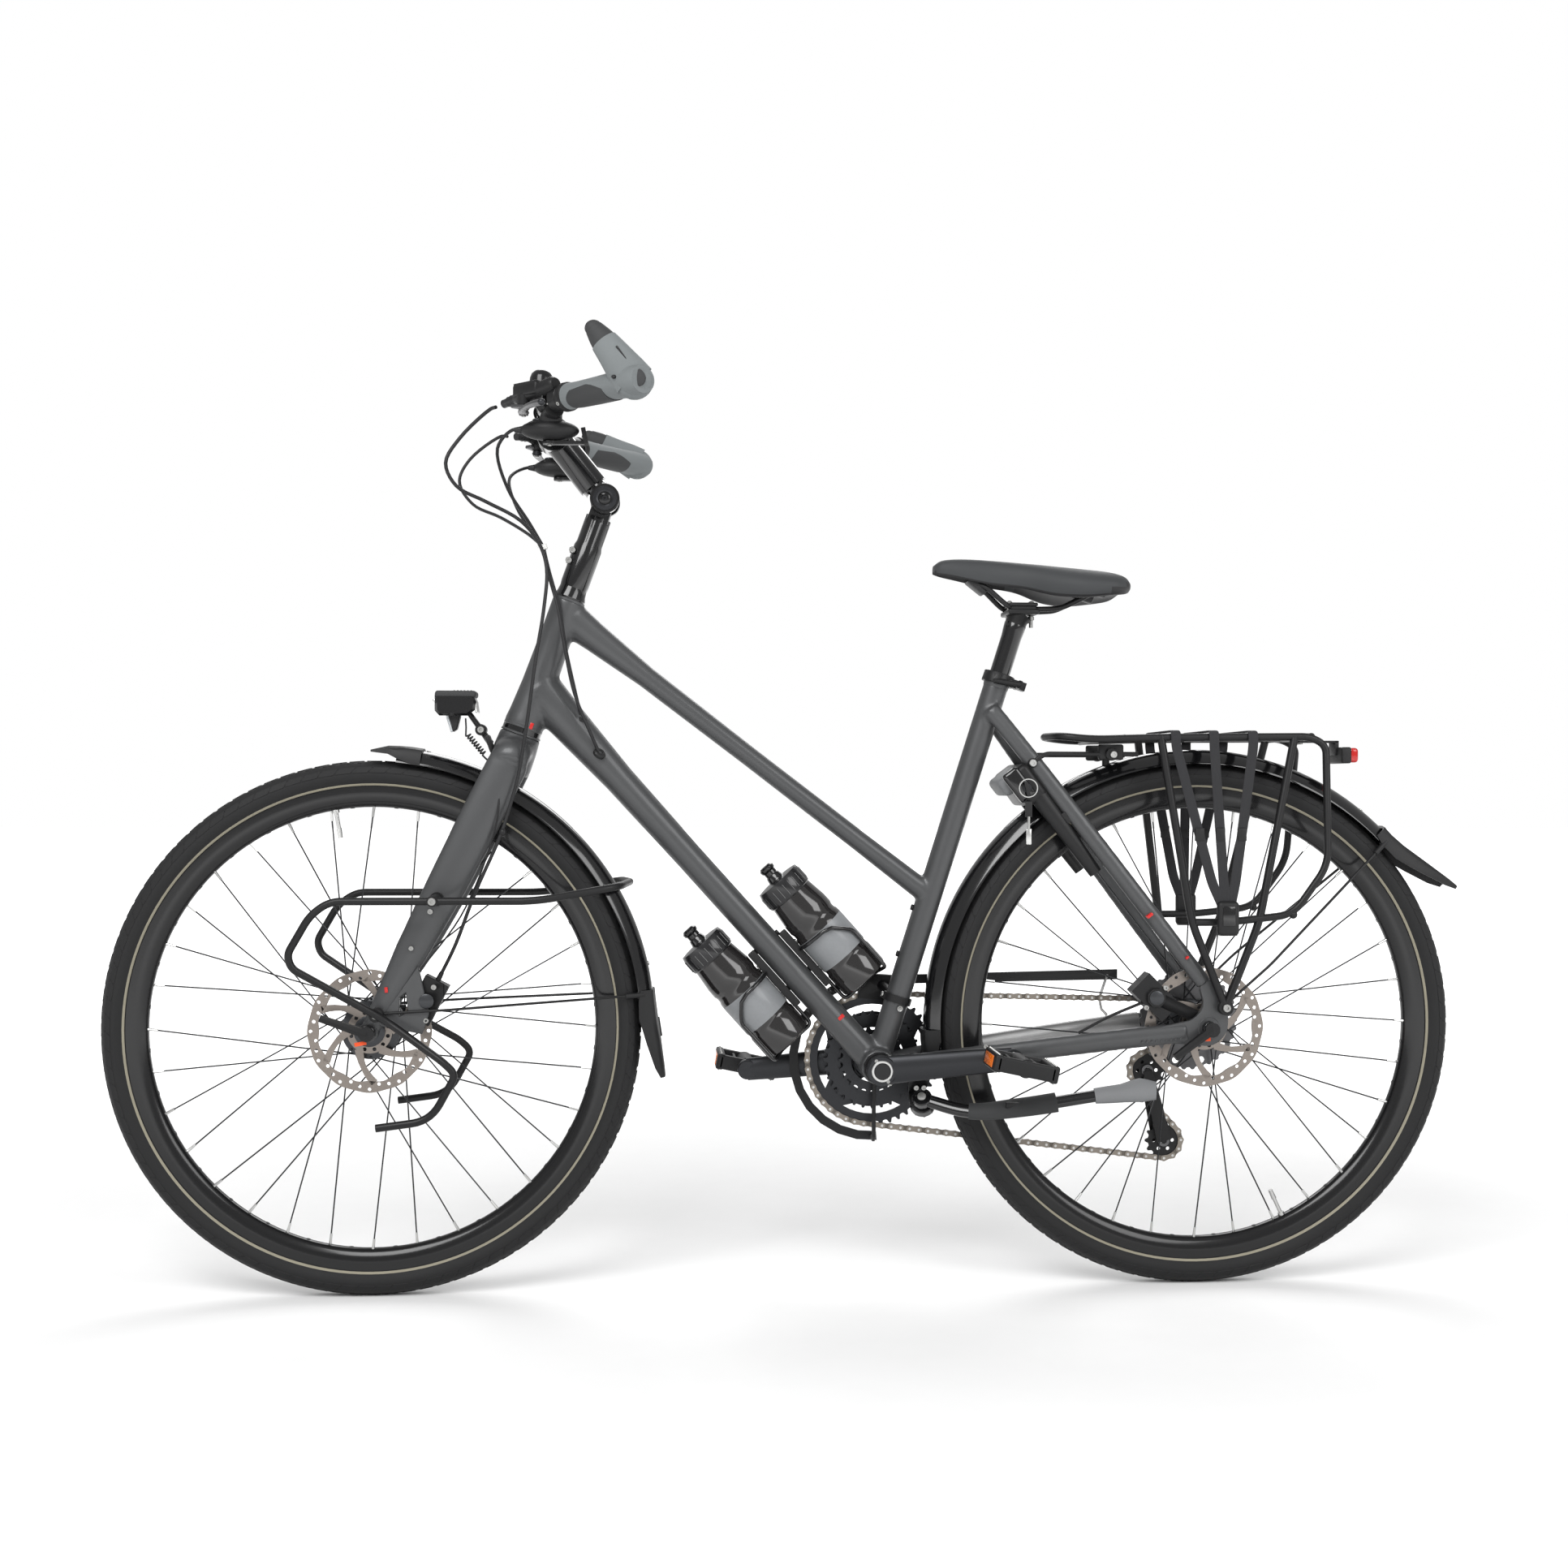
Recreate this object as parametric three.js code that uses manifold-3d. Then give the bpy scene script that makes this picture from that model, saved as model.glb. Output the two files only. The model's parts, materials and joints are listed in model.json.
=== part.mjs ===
// Touring bicycle with mudguards, rear rack, lowrider rack, two bottles and a side stand.
// Lengths are millimetres and angles degrees. X runs to the back, Y to the rider's right, Z up.
// Places are first measured from the floor point below the front axle; the whole bicycle is
// then moved so that the origin lies on the floor under the middle of its box.
import * as THREE from "three";
import { mergeVertices } from "three/addons/utils/BufferGeometryUtils.js";
import Module from "manifold-3d";

const wasm = await Module();
wasm.setup();

// Driving dimensions of the whole bicycle
const fit = 0.3; // running clearance between neighbouring pieces
const overrun = 6; // how far a cutting shape runs past what it cuts
const wheelbase = 1098;
const bottomBracketDrop = 54;
const chainstayLength = 436;
const headAngle = 70.4;
const seatAngle = 72.4;
const forkOffset = 50;
const crankLength = 170;
const crankRestAngle = 5.8;
const facets = 30; // sides of a large wheel part

// Wheels
const rim = { radius: 317, depth: 27, halfWidth: 12.3, innerHalf: 7 };
const tyre = { height: 34, halfWidth: 21, crownHalf: 16.5, shoulder: 6, sidewall: 21 };
const tyreRadius = rim.radius + tyre.height;
const rimInner = rim.radius - rim.depth;
const spoke = { radius: 1, count: 16, crossAngle: 67.5, headStagger: 1.5, rimStagger: 1.2, rimOffset: 2.6 };
const frontHub = {
  halfLength: 50, capRadius: 9, capInner: 44, mountRadius: 18, flangeRadius: 38,
  flangeLeft: 27, flangeRight: 27, shellRadius: 33, flangeHalf: 2.5, rightRadius: 12,
};
const rearHub = {
  halfLength: 67.5, capRadius: 10, capInner: 57, mountRadius: 20, flangeRadius: 29,
  flangeLeft: 34, flangeRight: 19, shellRadius: 19, flangeHalf: 2.5, rightRadius: 16,
};
const axle = {
  radius: 6, leverLength: 62, leverRadius: 6.5, leverTip: 5, headRadius: 10, headWidth: 9, nutWidth: 7,
};
const rotor = {
  radius: 80, bandWidth: 15, thickness: 2, boreRim: 11, arms: 6, armWidth: 10, frontInset: 10,
  rearInset: 16.5,
};

// Frame
const headTube = { bottom: 437, top: 618, bottomRadius: 26, topRadius: 20.5, boreRadius: 17 };
const steerer = { radius: 14.3, top: 690 };
const downTube = { joint: 493, halfWidth: 21.5, halfHeight: 18.8, headHeight: 31 };
const topTube = { headJoint: 598, seatJoint: 237, halfWidth: 14.5, halfHeight: 12.8, headHeight: 21 };
const seatTube = { length: 536, radius: 16.8, boreDepth: 250 };
const shell = { radius: 23.5, halfWidth: 34 };
const stay = {
  halfWidth: 8, seatHeight: 10.5, chainHeight: 12, seatJoint: 500, clearHalf: 38.5, bridgeRadius: 6.5,
};
const dropout = { size: 95, thickness: 7, bossRadius: 15 };

// Fork
const crown = { top: 428, bottom: 378, halfWidth: 47, halfDepth: 27, topRadius: 27 };
const forkLeg = {
  topHalf: 40, topDepth: 29, midDepth: 23.5, endDepth: 14, halfWidth: 10.5, tabRadius: 13, tabThickness: 8,
};

// Mudguards
const mudguard = {
  clearance: 20, halfWidth: 26, thickness: 1.8, drop: 21, stayRadius: 1.8, bow: 3.4, eyeRadius: 6,
  flapLength: 92, flapHalf: 31, flapFlare: 10, crownShare: 0.16,
};
const frontGuard = { start: 90, end: 4, stayAngle: 7 };
const rearGuard = { start: 186, end: 42, stayAngle: 44 };

// Steering column and handlebar
const stem = {
  pivot: 758, armLength: 108, armAngle: 128.6, armRadius: 17, lowerRadius: 16, cheekRadius: 19.5,
  cheekHalf: 24,
};
const stemKnuckle = {
  radius: 17, halfWidth: 12, pinRadius: 5, neckGap: 25, clampRadius: 22.5, clampHalf: 23,
};
const bar = {
  radius: 11.1, clampRadius: 15.9, clampHalf: 32, straightHalf: 45, halfWidth: 300, sweep: 115, rise: 13.5,
  kneeRise: 16, kneeBack: 10.3, kneeHalf: 140.7, bend: 32,
};
const grip = {
  length: 150, radius: 15.5, palmRadius: 19, collarRadius: 18, endRadius: 21, hornLength: 80,
  hornRadius: 13, hornTip: 9,
};
const control = { clampHalf: 10, clampRadius: 17, clampInset: 35, brakeInset: 10, shiftInset: 23 };
const master = { radius: 10.5, bootRadius: 5.5, tankLength: 45, tankWidth: 23, tankHeight: 18 };
const pod = {
  halfLength: 37, halfWidth: 21, halfHeight: 13, drop: 34, lead: 7, inset: 22, leverThickness: 4,
  leverWidth: 18, leverReach: 44,
};
const blade = {
  thickness: 7, width: 10, length: 101, swing: 74, ahead: 31, out: 146, rise: 2.5, pivotRadius: 6,
  pinRadius: 2.5,
};
const bellSize = {
  clampRadius: 14.5, clampHalf: 6, domeRadius: 15.5, domeHeight: 33, postHeight: 20, postRadius: 6,
  strikerLength: 30, strikerRadius: 3,
};

// Seat
const post = { radius: 13.6, insertion: 130, extension: 105, headRadius: 12, headHalf: 20 };
const saddle = {
  length: 260, halfWidth: 78, depth: 58, topRise: 67, noseReach: 118, railRadius: 3.5, railHalf: 22,
};
const clampRing = {
  height: 14, radius: 21, earLength: 13, earHalf: 8, leverLength: 38, leverRadius: 4.5, pinRadius: 3,
};

// Drive
const tooth = { pitch: 12.7, plate: 3 };
const chainSize = { plane: 53, halfHeight: 4, halfWidth: 3.4, arcStep: 20 };
const rings = { outer: 44, middle: 32, inner: 22, spacing: 7, band: 13, boltRadius: 34 };
const sprockets = { first: 12, largest: 34, steps: 3, width: 33, holeRadius: 16.5 };
const pulleys = { teeth: 12, boltRadius: 4, guideX: 50, guideDrop: 73, tensionX: 27, tensionDrop: 170 };
const spider = { radius: 27, thickness: 8, armWidth: 17, arms: 4 };
const crankArm = { bossRadius: 20, eyeRadius: 13.5, thickness: 15, rootOffset: 58, eyeOffset: 81 };
const crankAxle = { radius: 12, bearingRadius: 18, cupRadius: 21.5, cupWidth: 9 };
const pedalSize = { length: 84, width: 78, height: 24, frame: 11, spindleRadius: 7, inset: 12 };
const guard = {
  radius: 113, band: 12, thickness: 3, plane: 61.7, barEnd: 343, barHeight: 14, barRise: 120,
  strapThickness: 3,
};
const cage = { plateThickness: 2, plateGap: 5.2 };
const changer = { height: 92, bandHeight: 10, bandGap: 3, plateLength: 62, plateHeight: 34, armRadius: 7 };

// Stand
const stand = {
  pivotX: 57, pivotDrop: 45, plane: 36, housingRadius: 16.5, halfWidth: 13, legRadius: 9, footRadius: 14,
  sleeveRadius: 13, length: 306,
};

// Bottles
const bottle = {
  radius: 35.5, body: 150, neckRadius: 31, cap: 28, capRadius: 33, spoutRadius: 11, spout: 24, offset: 66,
  place: 505, lowerPlace: 498,
};
const bottleCage = { wireRadius: 2.6, plateWidth: 18, depth: 118 };

// Racks and lamps
const rack = {
  tubeRadius: 5, halfWidth: 60, sideHalf: 84, deckHeight: 386, crossCount: 3, legRadius: 5.5,
  footHalf: 84.8, bend: 22, boltRadius: 5,
};
const strap = { width: 13, thickness: 2.4, clipLength: 46, clipWidth: 24, clipThickness: 9 };
const lowrider = { tubeRadius: 5, halfWidth: 110, footHalf: 74, bend: 24, bracketRadius: 7 };
const headlamp = { length: 54, width: 40, height: 33, chamfer: 6, armRadius: 5, rise: 46, reach: 64 };
const tailLamp = {
  length: 24, width: 62, height: 22, behind: 195, rise: 362, plateThickness: 3, plateWidth: 24,
};
const lock = { halfWidth: 45, section: 15, depth: 26, bodyLength: 52, bodyDepth: 34, armLength: 150 };
const caliper = {
  length: 34, width: 27, height: 58, slot: 5, pistonRadius: 13, pistonDepth: 5, hoseRadius: 2.5,
  adapterThickness: 6,
};
const cable = { hoseRadius: 2.5, wireRadius: 2.2 };

// Finishes: colour, roughness and metalness
const finishes = {
  frame: [0x505254, 0.55, 0.2], gloss: [0x0b0b0c, 0.18, 0.1], black: [0x17181a, 0.45, 0.1],
  rubber: [0x222324, 0.85, 0], rim: [0x0f1011, 0.35, 0.3], steel: [0xa8a39c, 0.35, 0.9],
  chain: [0x8e857a, 0.4, 0.85], grip: [0x83898b, 0.75, 0], saddle: [0x2e3133, 0.8, 0],
  bottle: [0x2a2523, 0.12, 0], red: [0xa01512, 0.25, 0], darkMetal: [0x2b2c2e, 0.4, 0.6],
};

const degrees = Math.PI / 180;
const V = (x, y, z) => new THREE.Vector3(x, y, z);
const acrossAxis = V(0, 1, 0);

// Solids: every piece is a closed solid made from three.js shapes
function solid(geometry) {
  const loose = geometry.index ? geometry.toNonIndexed() : geometry;
  const bare = new THREE.BufferGeometry().setAttribute("position", loose.getAttribute("position"));
  const merged = mergeVertices(bare, 1e-3);
  const index = merged.index.array;
  const kept = [];
  for (let i = 0; i < index.length; i += 3) {
    const [a, b, c] = [index[i], index[i + 1], index[i + 2]];
    if (a !== b && b !== c && a !== c) kept.push(a, b, c);
  }
  const made = (order) =>
    new wasm.Manifold(
      new wasm.Mesh({
        numProp: 3,
        vertProperties: merged.attributes.position.array,
        triVerts: new Uint32Array(order),
      }),
    );
  const first = made(kept);
  if (first.volume() > 0) return first;
  const turned = [];
  for (let i = 0; i < kept.length; i += 3) turned.push(kept[i], kept[i + 2], kept[i + 1]);
  return made(turned);
}

const join = (...parts) => parts.flat().reduce((whole, part) => whole.add(part));
const cut = (whole, ...parts) => parts.flat().reduce((left, part) => left.subtract(part), whole);

// A local frame on a straight line in the bicycle's middle plane: along it, across to the right,
// and square to it (forward of a line that rises to the back)
function lineFrom(origin, angle) {
  const along = V(Math.cos(angle * degrees), 0, Math.sin(angle * degrees));
  const square = V(-along.z, 0, along.x);
  return (a, y = 0, b = 0) =>
    origin.clone().addScaledVector(along, a).addScaledVector(square, b).add(V(0, y, 0));
}

// A regular outline of a given radius
const circle = (radius, sides) =>
  new THREE.Shape(
    Array.from({ length: sides }, (_, i) => {
      const angle = (2 * Math.PI * (i + 0.5)) / sides;
      return new THREE.Vector2(radius * Math.cos(angle), radius * Math.sin(angle));
    }),
  );

// A cylinder or cone between two points
function rod(from, to, radius, { endRadius = radius, sides = 12 } = {}) {
  const way = to.clone().sub(from);
  const shape = new THREE.ExtrudeGeometry(
    circle(radius, sides), { depth: way.length(), bevelEnabled: false },
  );
  const place = shape.getAttribute("position");
  for (let i = 0; i < place.count; i++) {
    const taper = 1 + (endRadius / radius - 1) * (place.getZ(i) / way.length());
    place.setXY(i, place.getX(i) * taper, place.getY(i) * taper);
  }
  const turn = new THREE.Quaternion().setFromUnitVectors(V(0, 0, 1), way.normalize());
  return solid(shape.applyQuaternion(turn).translate(from.x, from.y, from.z));
}

// Radius of a many-sided bore in which a pin of a given radius turns freely
const boreFor = (radius, sides) => (radius + fit) / Math.cos(Math.PI / sides);

// A thin three-sided bar between two points
function prism(from, to, radius) {
  const path = new THREE.LineCurve3(from, to);
  return solid(
    new THREE.ExtrudeGeometry(circle(radius, 3), { steps: 1, extrudePath: path, bevelEnabled: false })
  );
}

// A disc or pin whose axis runs across the bicycle, from one side plane to another
const disc = (centre, radius, fromY, toY, sides = 16) =>
  rod(V(centre.x, fromY, centre.z), V(centre.x, toY, centre.z), radius, { sides });

// A box whose length follows a direction in the middle plane
function block(centre, length, width, height, angle = 0, swing = 0) {
  const shape = new THREE.BoxGeometry(length, width, height);
  shape.rotateY(-angle * degrees).rotateZ(swing * degrees);
  return solid(shape.translate(centre.x, centre.y, centre.z));
}

// A flat plate in a plane parallel to the middle plane: outline points are [x, z]
function plate(outline, thickness, y, holes = []) {
  const points = outline.map(([x, z]) => new THREE.Vector2(x, z));
  if (THREE.ShapeUtils.isClockWise(points)) points.reverse();
  const shape = new THREE.Shape(points);
  for (const hole of holes) shape.holes.push(new THREE.Path(hole.map(([x, z]) => new THREE.Vector2(x, z))));
  const flat = new THREE.ExtrudeGeometry(shape, { depth: thickness, bevelEnabled: false });
  return solid(flat.rotateX(Math.PI / 2).translate(0, y + thickness / 2, 0));
}

// Points of a circular arc in the middle plane, as [x, z]
function arc(centre, radius, from, to, steps) {
  return Array.from({ length: steps + 1 }, (_, i) => {
    const angle = (from + ((to - from) * i) / steps) * degrees;
    return [centre.x + radius * Math.cos(angle), centre.z + radius * Math.sin(angle)];
  });
}

// A ring or wheel part turned about an axis across the bicycle: profile points are [radius, y]
function turned(profile, centre, sides = facets) {
  const points = profile.map(([r, y]) => new THREE.Vector2(r, y));
  const shape = new THREE.LatheGeometry(points, sides);
  return solid(shape.translate(centre.x, centre.y, centre.z));
}
// The same about any axis: profile points are [radius, distance along the axis]
function spun(profile, origin, way, sides) {
  const shape = new THREE.LatheGeometry(profile.map(([r, a]) => new THREE.Vector2(r, a)), sides);
  shape.applyQuaternion(new THREE.Quaternion().setFromUnitVectors(acrossAxis, way.clone().normalize()));
  return solid(shape.translate(origin.x, origin.y, origin.z));
}
const closed = (profile) => [...profile, profile[0]];

// A path with straight runs and round bends, stepped only where it bends
const gentleBend = 38;
class BentPath extends THREE.Curve {
  constructor(points, bend, stepsPerBend = 3) {
    super();
    this.stops = [points[0]];
    for (let i = 1; i < points.length - 1; i++) {
      const before = points[i - 1].clone().sub(points[i]);
      const after = points[i + 1].clone().sub(points[i]);
      if (bend === 0 || 180 - before.angleTo(after) / degrees < gentleBend) {
        this.stops.push(points[i]);
        continue;
      }
      const room = Math.min(bend, before.length() / 2.1, after.length() / 2.1);
      const a = points[i].clone().addScaledVector(before.normalize(), room);
      const c = points[i].clone().addScaledVector(after.normalize(), room);
      const curve = new THREE.QuadraticBezierCurve3(a, points[i], c);
      for (let k = 0; k <= stepsPerBend; k++) this.stops.push(curve.getPoint(k / stepsPerBend));
    }
    this.stops.push(points[points.length - 1]);
    this.steps = this.stops.length - 1;
  }
  getPointAt(u) {
    return this.stops[Math.round(u * this.steps)].clone();
  }
  getTangentAt(u) {
    const i = Math.round(u * this.steps);
    const before = this.stops[Math.max(i - 1, 0)];
    const here = this.stops[i];
    const after = this.stops[Math.min(i + 1, this.steps)];
    const inward = here.clone().sub(before).normalize();
    const outward = after.clone().sub(here).normalize();
    return inward.add(outward).normalize();
  }
}

// A round tube or wire along a bent path
function wire(points, radius, { bend = 4 * radius, sides = 8, bendSteps = 3 } = {}) {
  const path = new BentPath(points, bend, bendSteps);
  const options = { steps: path.steps, extrudePath: path, bevelEnabled: false };
  return solid(new THREE.ExtrudeGeometry(circle(radius, sides), options));
}

// A cable through chosen points on one smooth curve
function cord(points, radius, steps) {
  const path = new THREE.CatmullRomCurve3(points, false, "centripetal");
  const options = { steps, extrudePath: path, bevelEnabled: false };
  return solid(new THREE.ExtrudeGeometry(circle(radius, 4), options));
}

// An oval limb along a curve: its half sizes across and in the plane change along it
function limb(points, steps, sides, wide, tall, across = acrossAxis) {
  const curve = points.length === 2 ? new THREE.LineCurve3(...points) : new THREE.CatmullRomCurve3(points);
  const shape = new THREE.ExtrudeGeometry(circle(1, sides), { depth: 1, steps, bevelEnabled: false });
  const place = shape.getAttribute("position");
  for (let i = 0; i < place.count; i++) {
    const t = Math.round(place.getZ(i) * steps) / steps;
    const tangent = curve.getTangent(t);
    const side = across.clone().addScaledVector(tangent, -across.dot(tangent)).normalize();
    const up = tangent.clone().cross(side);
    const point = curve.getPoint(t);
    point.addScaledVector(side, place.getX(i) * wide(t)).addScaledVector(up, place.getY(i) * tall(t));
    place.setXYZ(i, point.x, point.y, point.z);
  }
  return solid(shape);
}
const steady = (value) => () => value;
const blend = (...stops) => (t) => {
  const place = t * (stops.length - 1);
  const i = Math.min(Math.floor(place), stops.length - 2);
  return stops[i] + (stops[i + 1] - stops[i]) * (place - i);
};


// The group that holds every named piece
const bicycle = new THREE.Group();
function piece(name, whole, finish) {
  const mesh = whole.getMesh();
  const geometry = new THREE.BufferGeometry();
  const place = new Float32Array(mesh.numVert * 3);
  for (let i = 0; i < mesh.numVert; i++)
    place.set(mesh.vertProperties.subarray(i * mesh.numProp, i * mesh.numProp + 3), i * 3);
  geometry.setAttribute("position", new THREE.BufferAttribute(place, 3));
  geometry.setIndex(new THREE.BufferAttribute(mesh.triVerts, 1));
  geometry.computeVertexNormals();
  const [color, roughness, metalness] = finishes[finish];
  const made = new THREE.Mesh(geometry, new THREE.MeshStandardMaterial({ color, roughness, metalness }));
  made.name = name;
  bicycle.add(made);
}

// Main points and lines
const frontAxle = V(0, 0, tyreRadius);
const rearAxle = V(wheelbase, 0, tyreRadius);
const bracket = V(
  wheelbase - Math.sqrt(chainstayLength ** 2 - bottomBracketDrop ** 2), 0, tyreRadius - bottomBracketDrop,
);
const steeringFoot = V(
  forkOffset * Math.sin(headAngle * degrees), 0, tyreRadius - forkOffset * Math.cos(headAngle * degrees),
);
const head = lineFrom(steeringFoot, headAngle);
const seat = lineFrom(bracket, seatAngle);
const downAngle =
  Math.atan2(bracket.z - head(downTube.joint).z, bracket.x - head(downTube.joint).x) / degrees;
const down = lineFrom(head(downTube.joint), downAngle);
const downLength = head(downTube.joint).distanceTo(bracket);
const dropoutFace = rearHub.halfLength;
const forkFace = frontHub.halfLength;

// Wheels
const hubSides = 10;
function wheel(side, centre, hub, rotorInset) {
  const t = tyre;
  piece(
    `${side}_tyre`,
    turned(
      closed([
        [rim.radius + fit, rim.halfWidth],
        [tyreRadius - t.sidewall, t.halfWidth],
        [tyreRadius - t.shoulder, t.crownHalf],
        [tyreRadius, 0],
        [tyreRadius - t.shoulder, -t.crownHalf],
        [tyreRadius - t.sidewall, -t.halfWidth],
        [rim.radius + fit, -rim.halfWidth],
      ]),
      centre,
    ),
    "rubber",
  );
  piece(
    `${side}_rim`,
    turned(
      closed([
        [rim.radius, rim.halfWidth],
        [rim.radius, -rim.halfWidth],
        [rimInner, -rim.innerHalf],
        [rimInner, rim.innerHalf],
      ]),
      centre,
    ),
    "rim",
  );
  const bore = boreFor(axle.radius, hubSides);
  const end = hub.halfLength - 4 * fit;
  const hubShell = turned(
    closed([
      [bore, end],
      [hub.rightRadius, end],
      [hub.rightRadius, hub.flangeRight + hub.flangeHalf],
      [hub.flangeRadius, hub.flangeRight + hub.flangeHalf],
      [hub.flangeRadius, hub.flangeRight - hub.flangeHalf],
      [hub.shellRadius, hub.flangeRight - hub.flangeHalf],
      [hub.shellRadius, hub.flangeHalf - hub.flangeLeft],
      [hub.flangeRadius, hub.flangeHalf - hub.flangeLeft],
      [hub.flangeRadius, -hub.flangeHalf - hub.flangeLeft],
      [hub.mountRadius, -hub.flangeHalf - hub.flangeLeft],
      [hub.mountRadius, -hub.capInner],
      [hub.capRadius, -hub.capInner],
      [hub.capRadius, -end],
      [bore, -end],
    ]),
    centre,
    hubSides,
  );
  // Spokes cross three others on the way to the rim and end just short of it
  const rimReach = rimInner * Math.cos(Math.PI / facets) - fit;
  const hubReach = hub.flangeRadius - 3 * spoke.radius;
  const spokes = [];
  for (const [flange, sign, shift] of [[-hub.flangeLeft, -1, 0], [hub.flangeRight, 1, 0.5]]) {
    for (let i = 0; i < spoke.count; i++) {
      const lean = i % 2 ? -1 : 1;
      const start = ((360 * (i + shift)) / spoke.count) * degrees;
      const finish = start + lean * spoke.crossAngle * degrees;
      const from = V(
        centre.x + hubReach * Math.cos(start), flange + lean * spoke.headStagger,
        centre.z + hubReach * Math.sin(start),
      );
      const to = V(
        centre.x + rimReach * Math.cos(finish), sign * spoke.rimOffset + lean * spoke.rimStagger,
        centre.z + rimReach * Math.sin(finish),
      );
      spokes.push(prism(from, to, spoke.radius));
    }
  }
  piece(`${side}_hub`, join(hubShell, ...spokes), "darkMetal");

  // Brake disc: a band on arms round the hub's mount
  const plane = rotorInset - hub.halfLength;
  const boreRadius = hub.mountRadius + fit;
  const collar = boreRadius + rotor.boreRim;
  const bandInner = rotor.radius - rotor.bandWidth;
  const ring = (outer, inner, sides) =>
    turned(
      closed([
        [outer, rotor.thickness / 2],
        [outer, -rotor.thickness / 2],
        [inner, -rotor.thickness / 2],
        [inner, rotor.thickness / 2],
      ]),
      V(centre.x, plane, centre.z),
      sides,
    );
  const arms = Array.from({ length: rotor.arms }, (_, i) => {
    const angle = ((360 * (i + 0.5)) / rotor.arms) * degrees;
    const reach = (collar + bandInner) / 2;
    const skew = 20 * degrees;
    const middle = V(centre.x + reach * Math.cos(angle), plane, centre.z + reach * Math.sin(angle));
    return block(
      middle, bandInner - collar + rotor.bandWidth, rotor.thickness, rotor.armWidth,
      (angle + skew) / degrees,
    );
  });
  piece(
    `${side}_rotor`, join(ring(rotor.radius, bandInner, 18), ring(collar, boreRadius, 10), ...arms), "steel"
  );
}
wheel("front", frontAxle, frontHub, rotor.frontInset);
wheel("rear", rearAxle, rearHub, rotor.rearInset);

// Axles: a shaft through both dropouts with a lever on the left and a nut on the right
function axlePiece(name, centre, face, angle) {
  const left = -face - axle.headWidth;
  const pivot = V(centre.x, left - axle.headWidth / 2, centre.z);
  const tip = V(
    centre.x + axle.leverLength * Math.cos(angle * degrees), left - axle.headWidth,
    centre.z + axle.leverLength * Math.sin(angle * degrees),
  );
  piece(
    name,
    join(
      disc(centre, axle.radius, left, face + axle.nutWidth, 8),
      disc(centre, axle.headRadius, left - axle.headWidth, left + axle.headWidth - fit, 10),
      disc(centre, axle.headRadius, face + fit, face + axle.nutWidth, 10),
      rod(pivot, tip, axle.leverRadius, { endRadius: axle.leverTip, sides: 6 }),
    ),
    "black",
  );
}
axlePiece("front_axle", frontAxle, forkFace + forkLeg.tabThickness, 160);
axlePiece("rear_axle", rearAxle, dropoutFace + dropout.thickness, 215);

// Frame
const chainstay = (side) => [
  V(bracket.x + shell.radius / 2, side * shell.halfWidth * 0.66, bracket.z),
  V(bracket.x + chainstayLength * 0.18, side * stay.clearHalf * 0.96, bracket.z + bottomBracketDrop * 0.17),
  V(
    bracket.x + chainstayLength * 0.32, side * (stay.clearHalf + stay.halfWidth),
    bracket.z + bottomBracketDrop * 0.32,
  ),
  V(bracket.x + chainstayLength * 0.78, side * dropoutFace, bracket.z + bottomBracketDrop * 0.78),
  V(
    rearAxle.x - dropout.size * 0.3, side * (dropoutFace + dropout.thickness / 2),
    rearAxle.z - bottomBracketDrop * 0.1,
  ),
];
const seatstay = (side) => {
  const top = seat(stay.seatJoint);
  const end = V(rearAxle.x - dropout.size * 0.06, 0, rearAxle.z + dropout.size * 0.62);
  const at = (share, y) => top.clone().lerp(end, share).setY(side * y);
  return [
    at(0, seatTube.radius),
    at(0.13, seatTube.radius + stay.halfWidth * 1.6),
    at(0.3, stay.clearHalf + stay.halfWidth * 0.5),
    at(0.7, dropoutFace - dropout.thickness),
    at(1, dropoutFace + dropout.thickness / 2),
  ];
};
const bridgeShare = 0.235;
const seatBridge = seatstay(1)[0].clone().lerp(seatstay(1)[4], bridgeShare).setY(0);
const chainBridge = V(bracket.x + chainstayLength * 0.125, 0, bracket.z + bottomBracketDrop * 0.1);
const dropoutShares = [
  [-0.72, -0.19], [0.07, -0.25], [0.27, -0.06], [0.27, 0.36], [0.06, 0.71],
  [-0.15, 0.62], [-0.06, 0.31], [-0.21, 0.12], [-0.72, 0.02],
];
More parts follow.
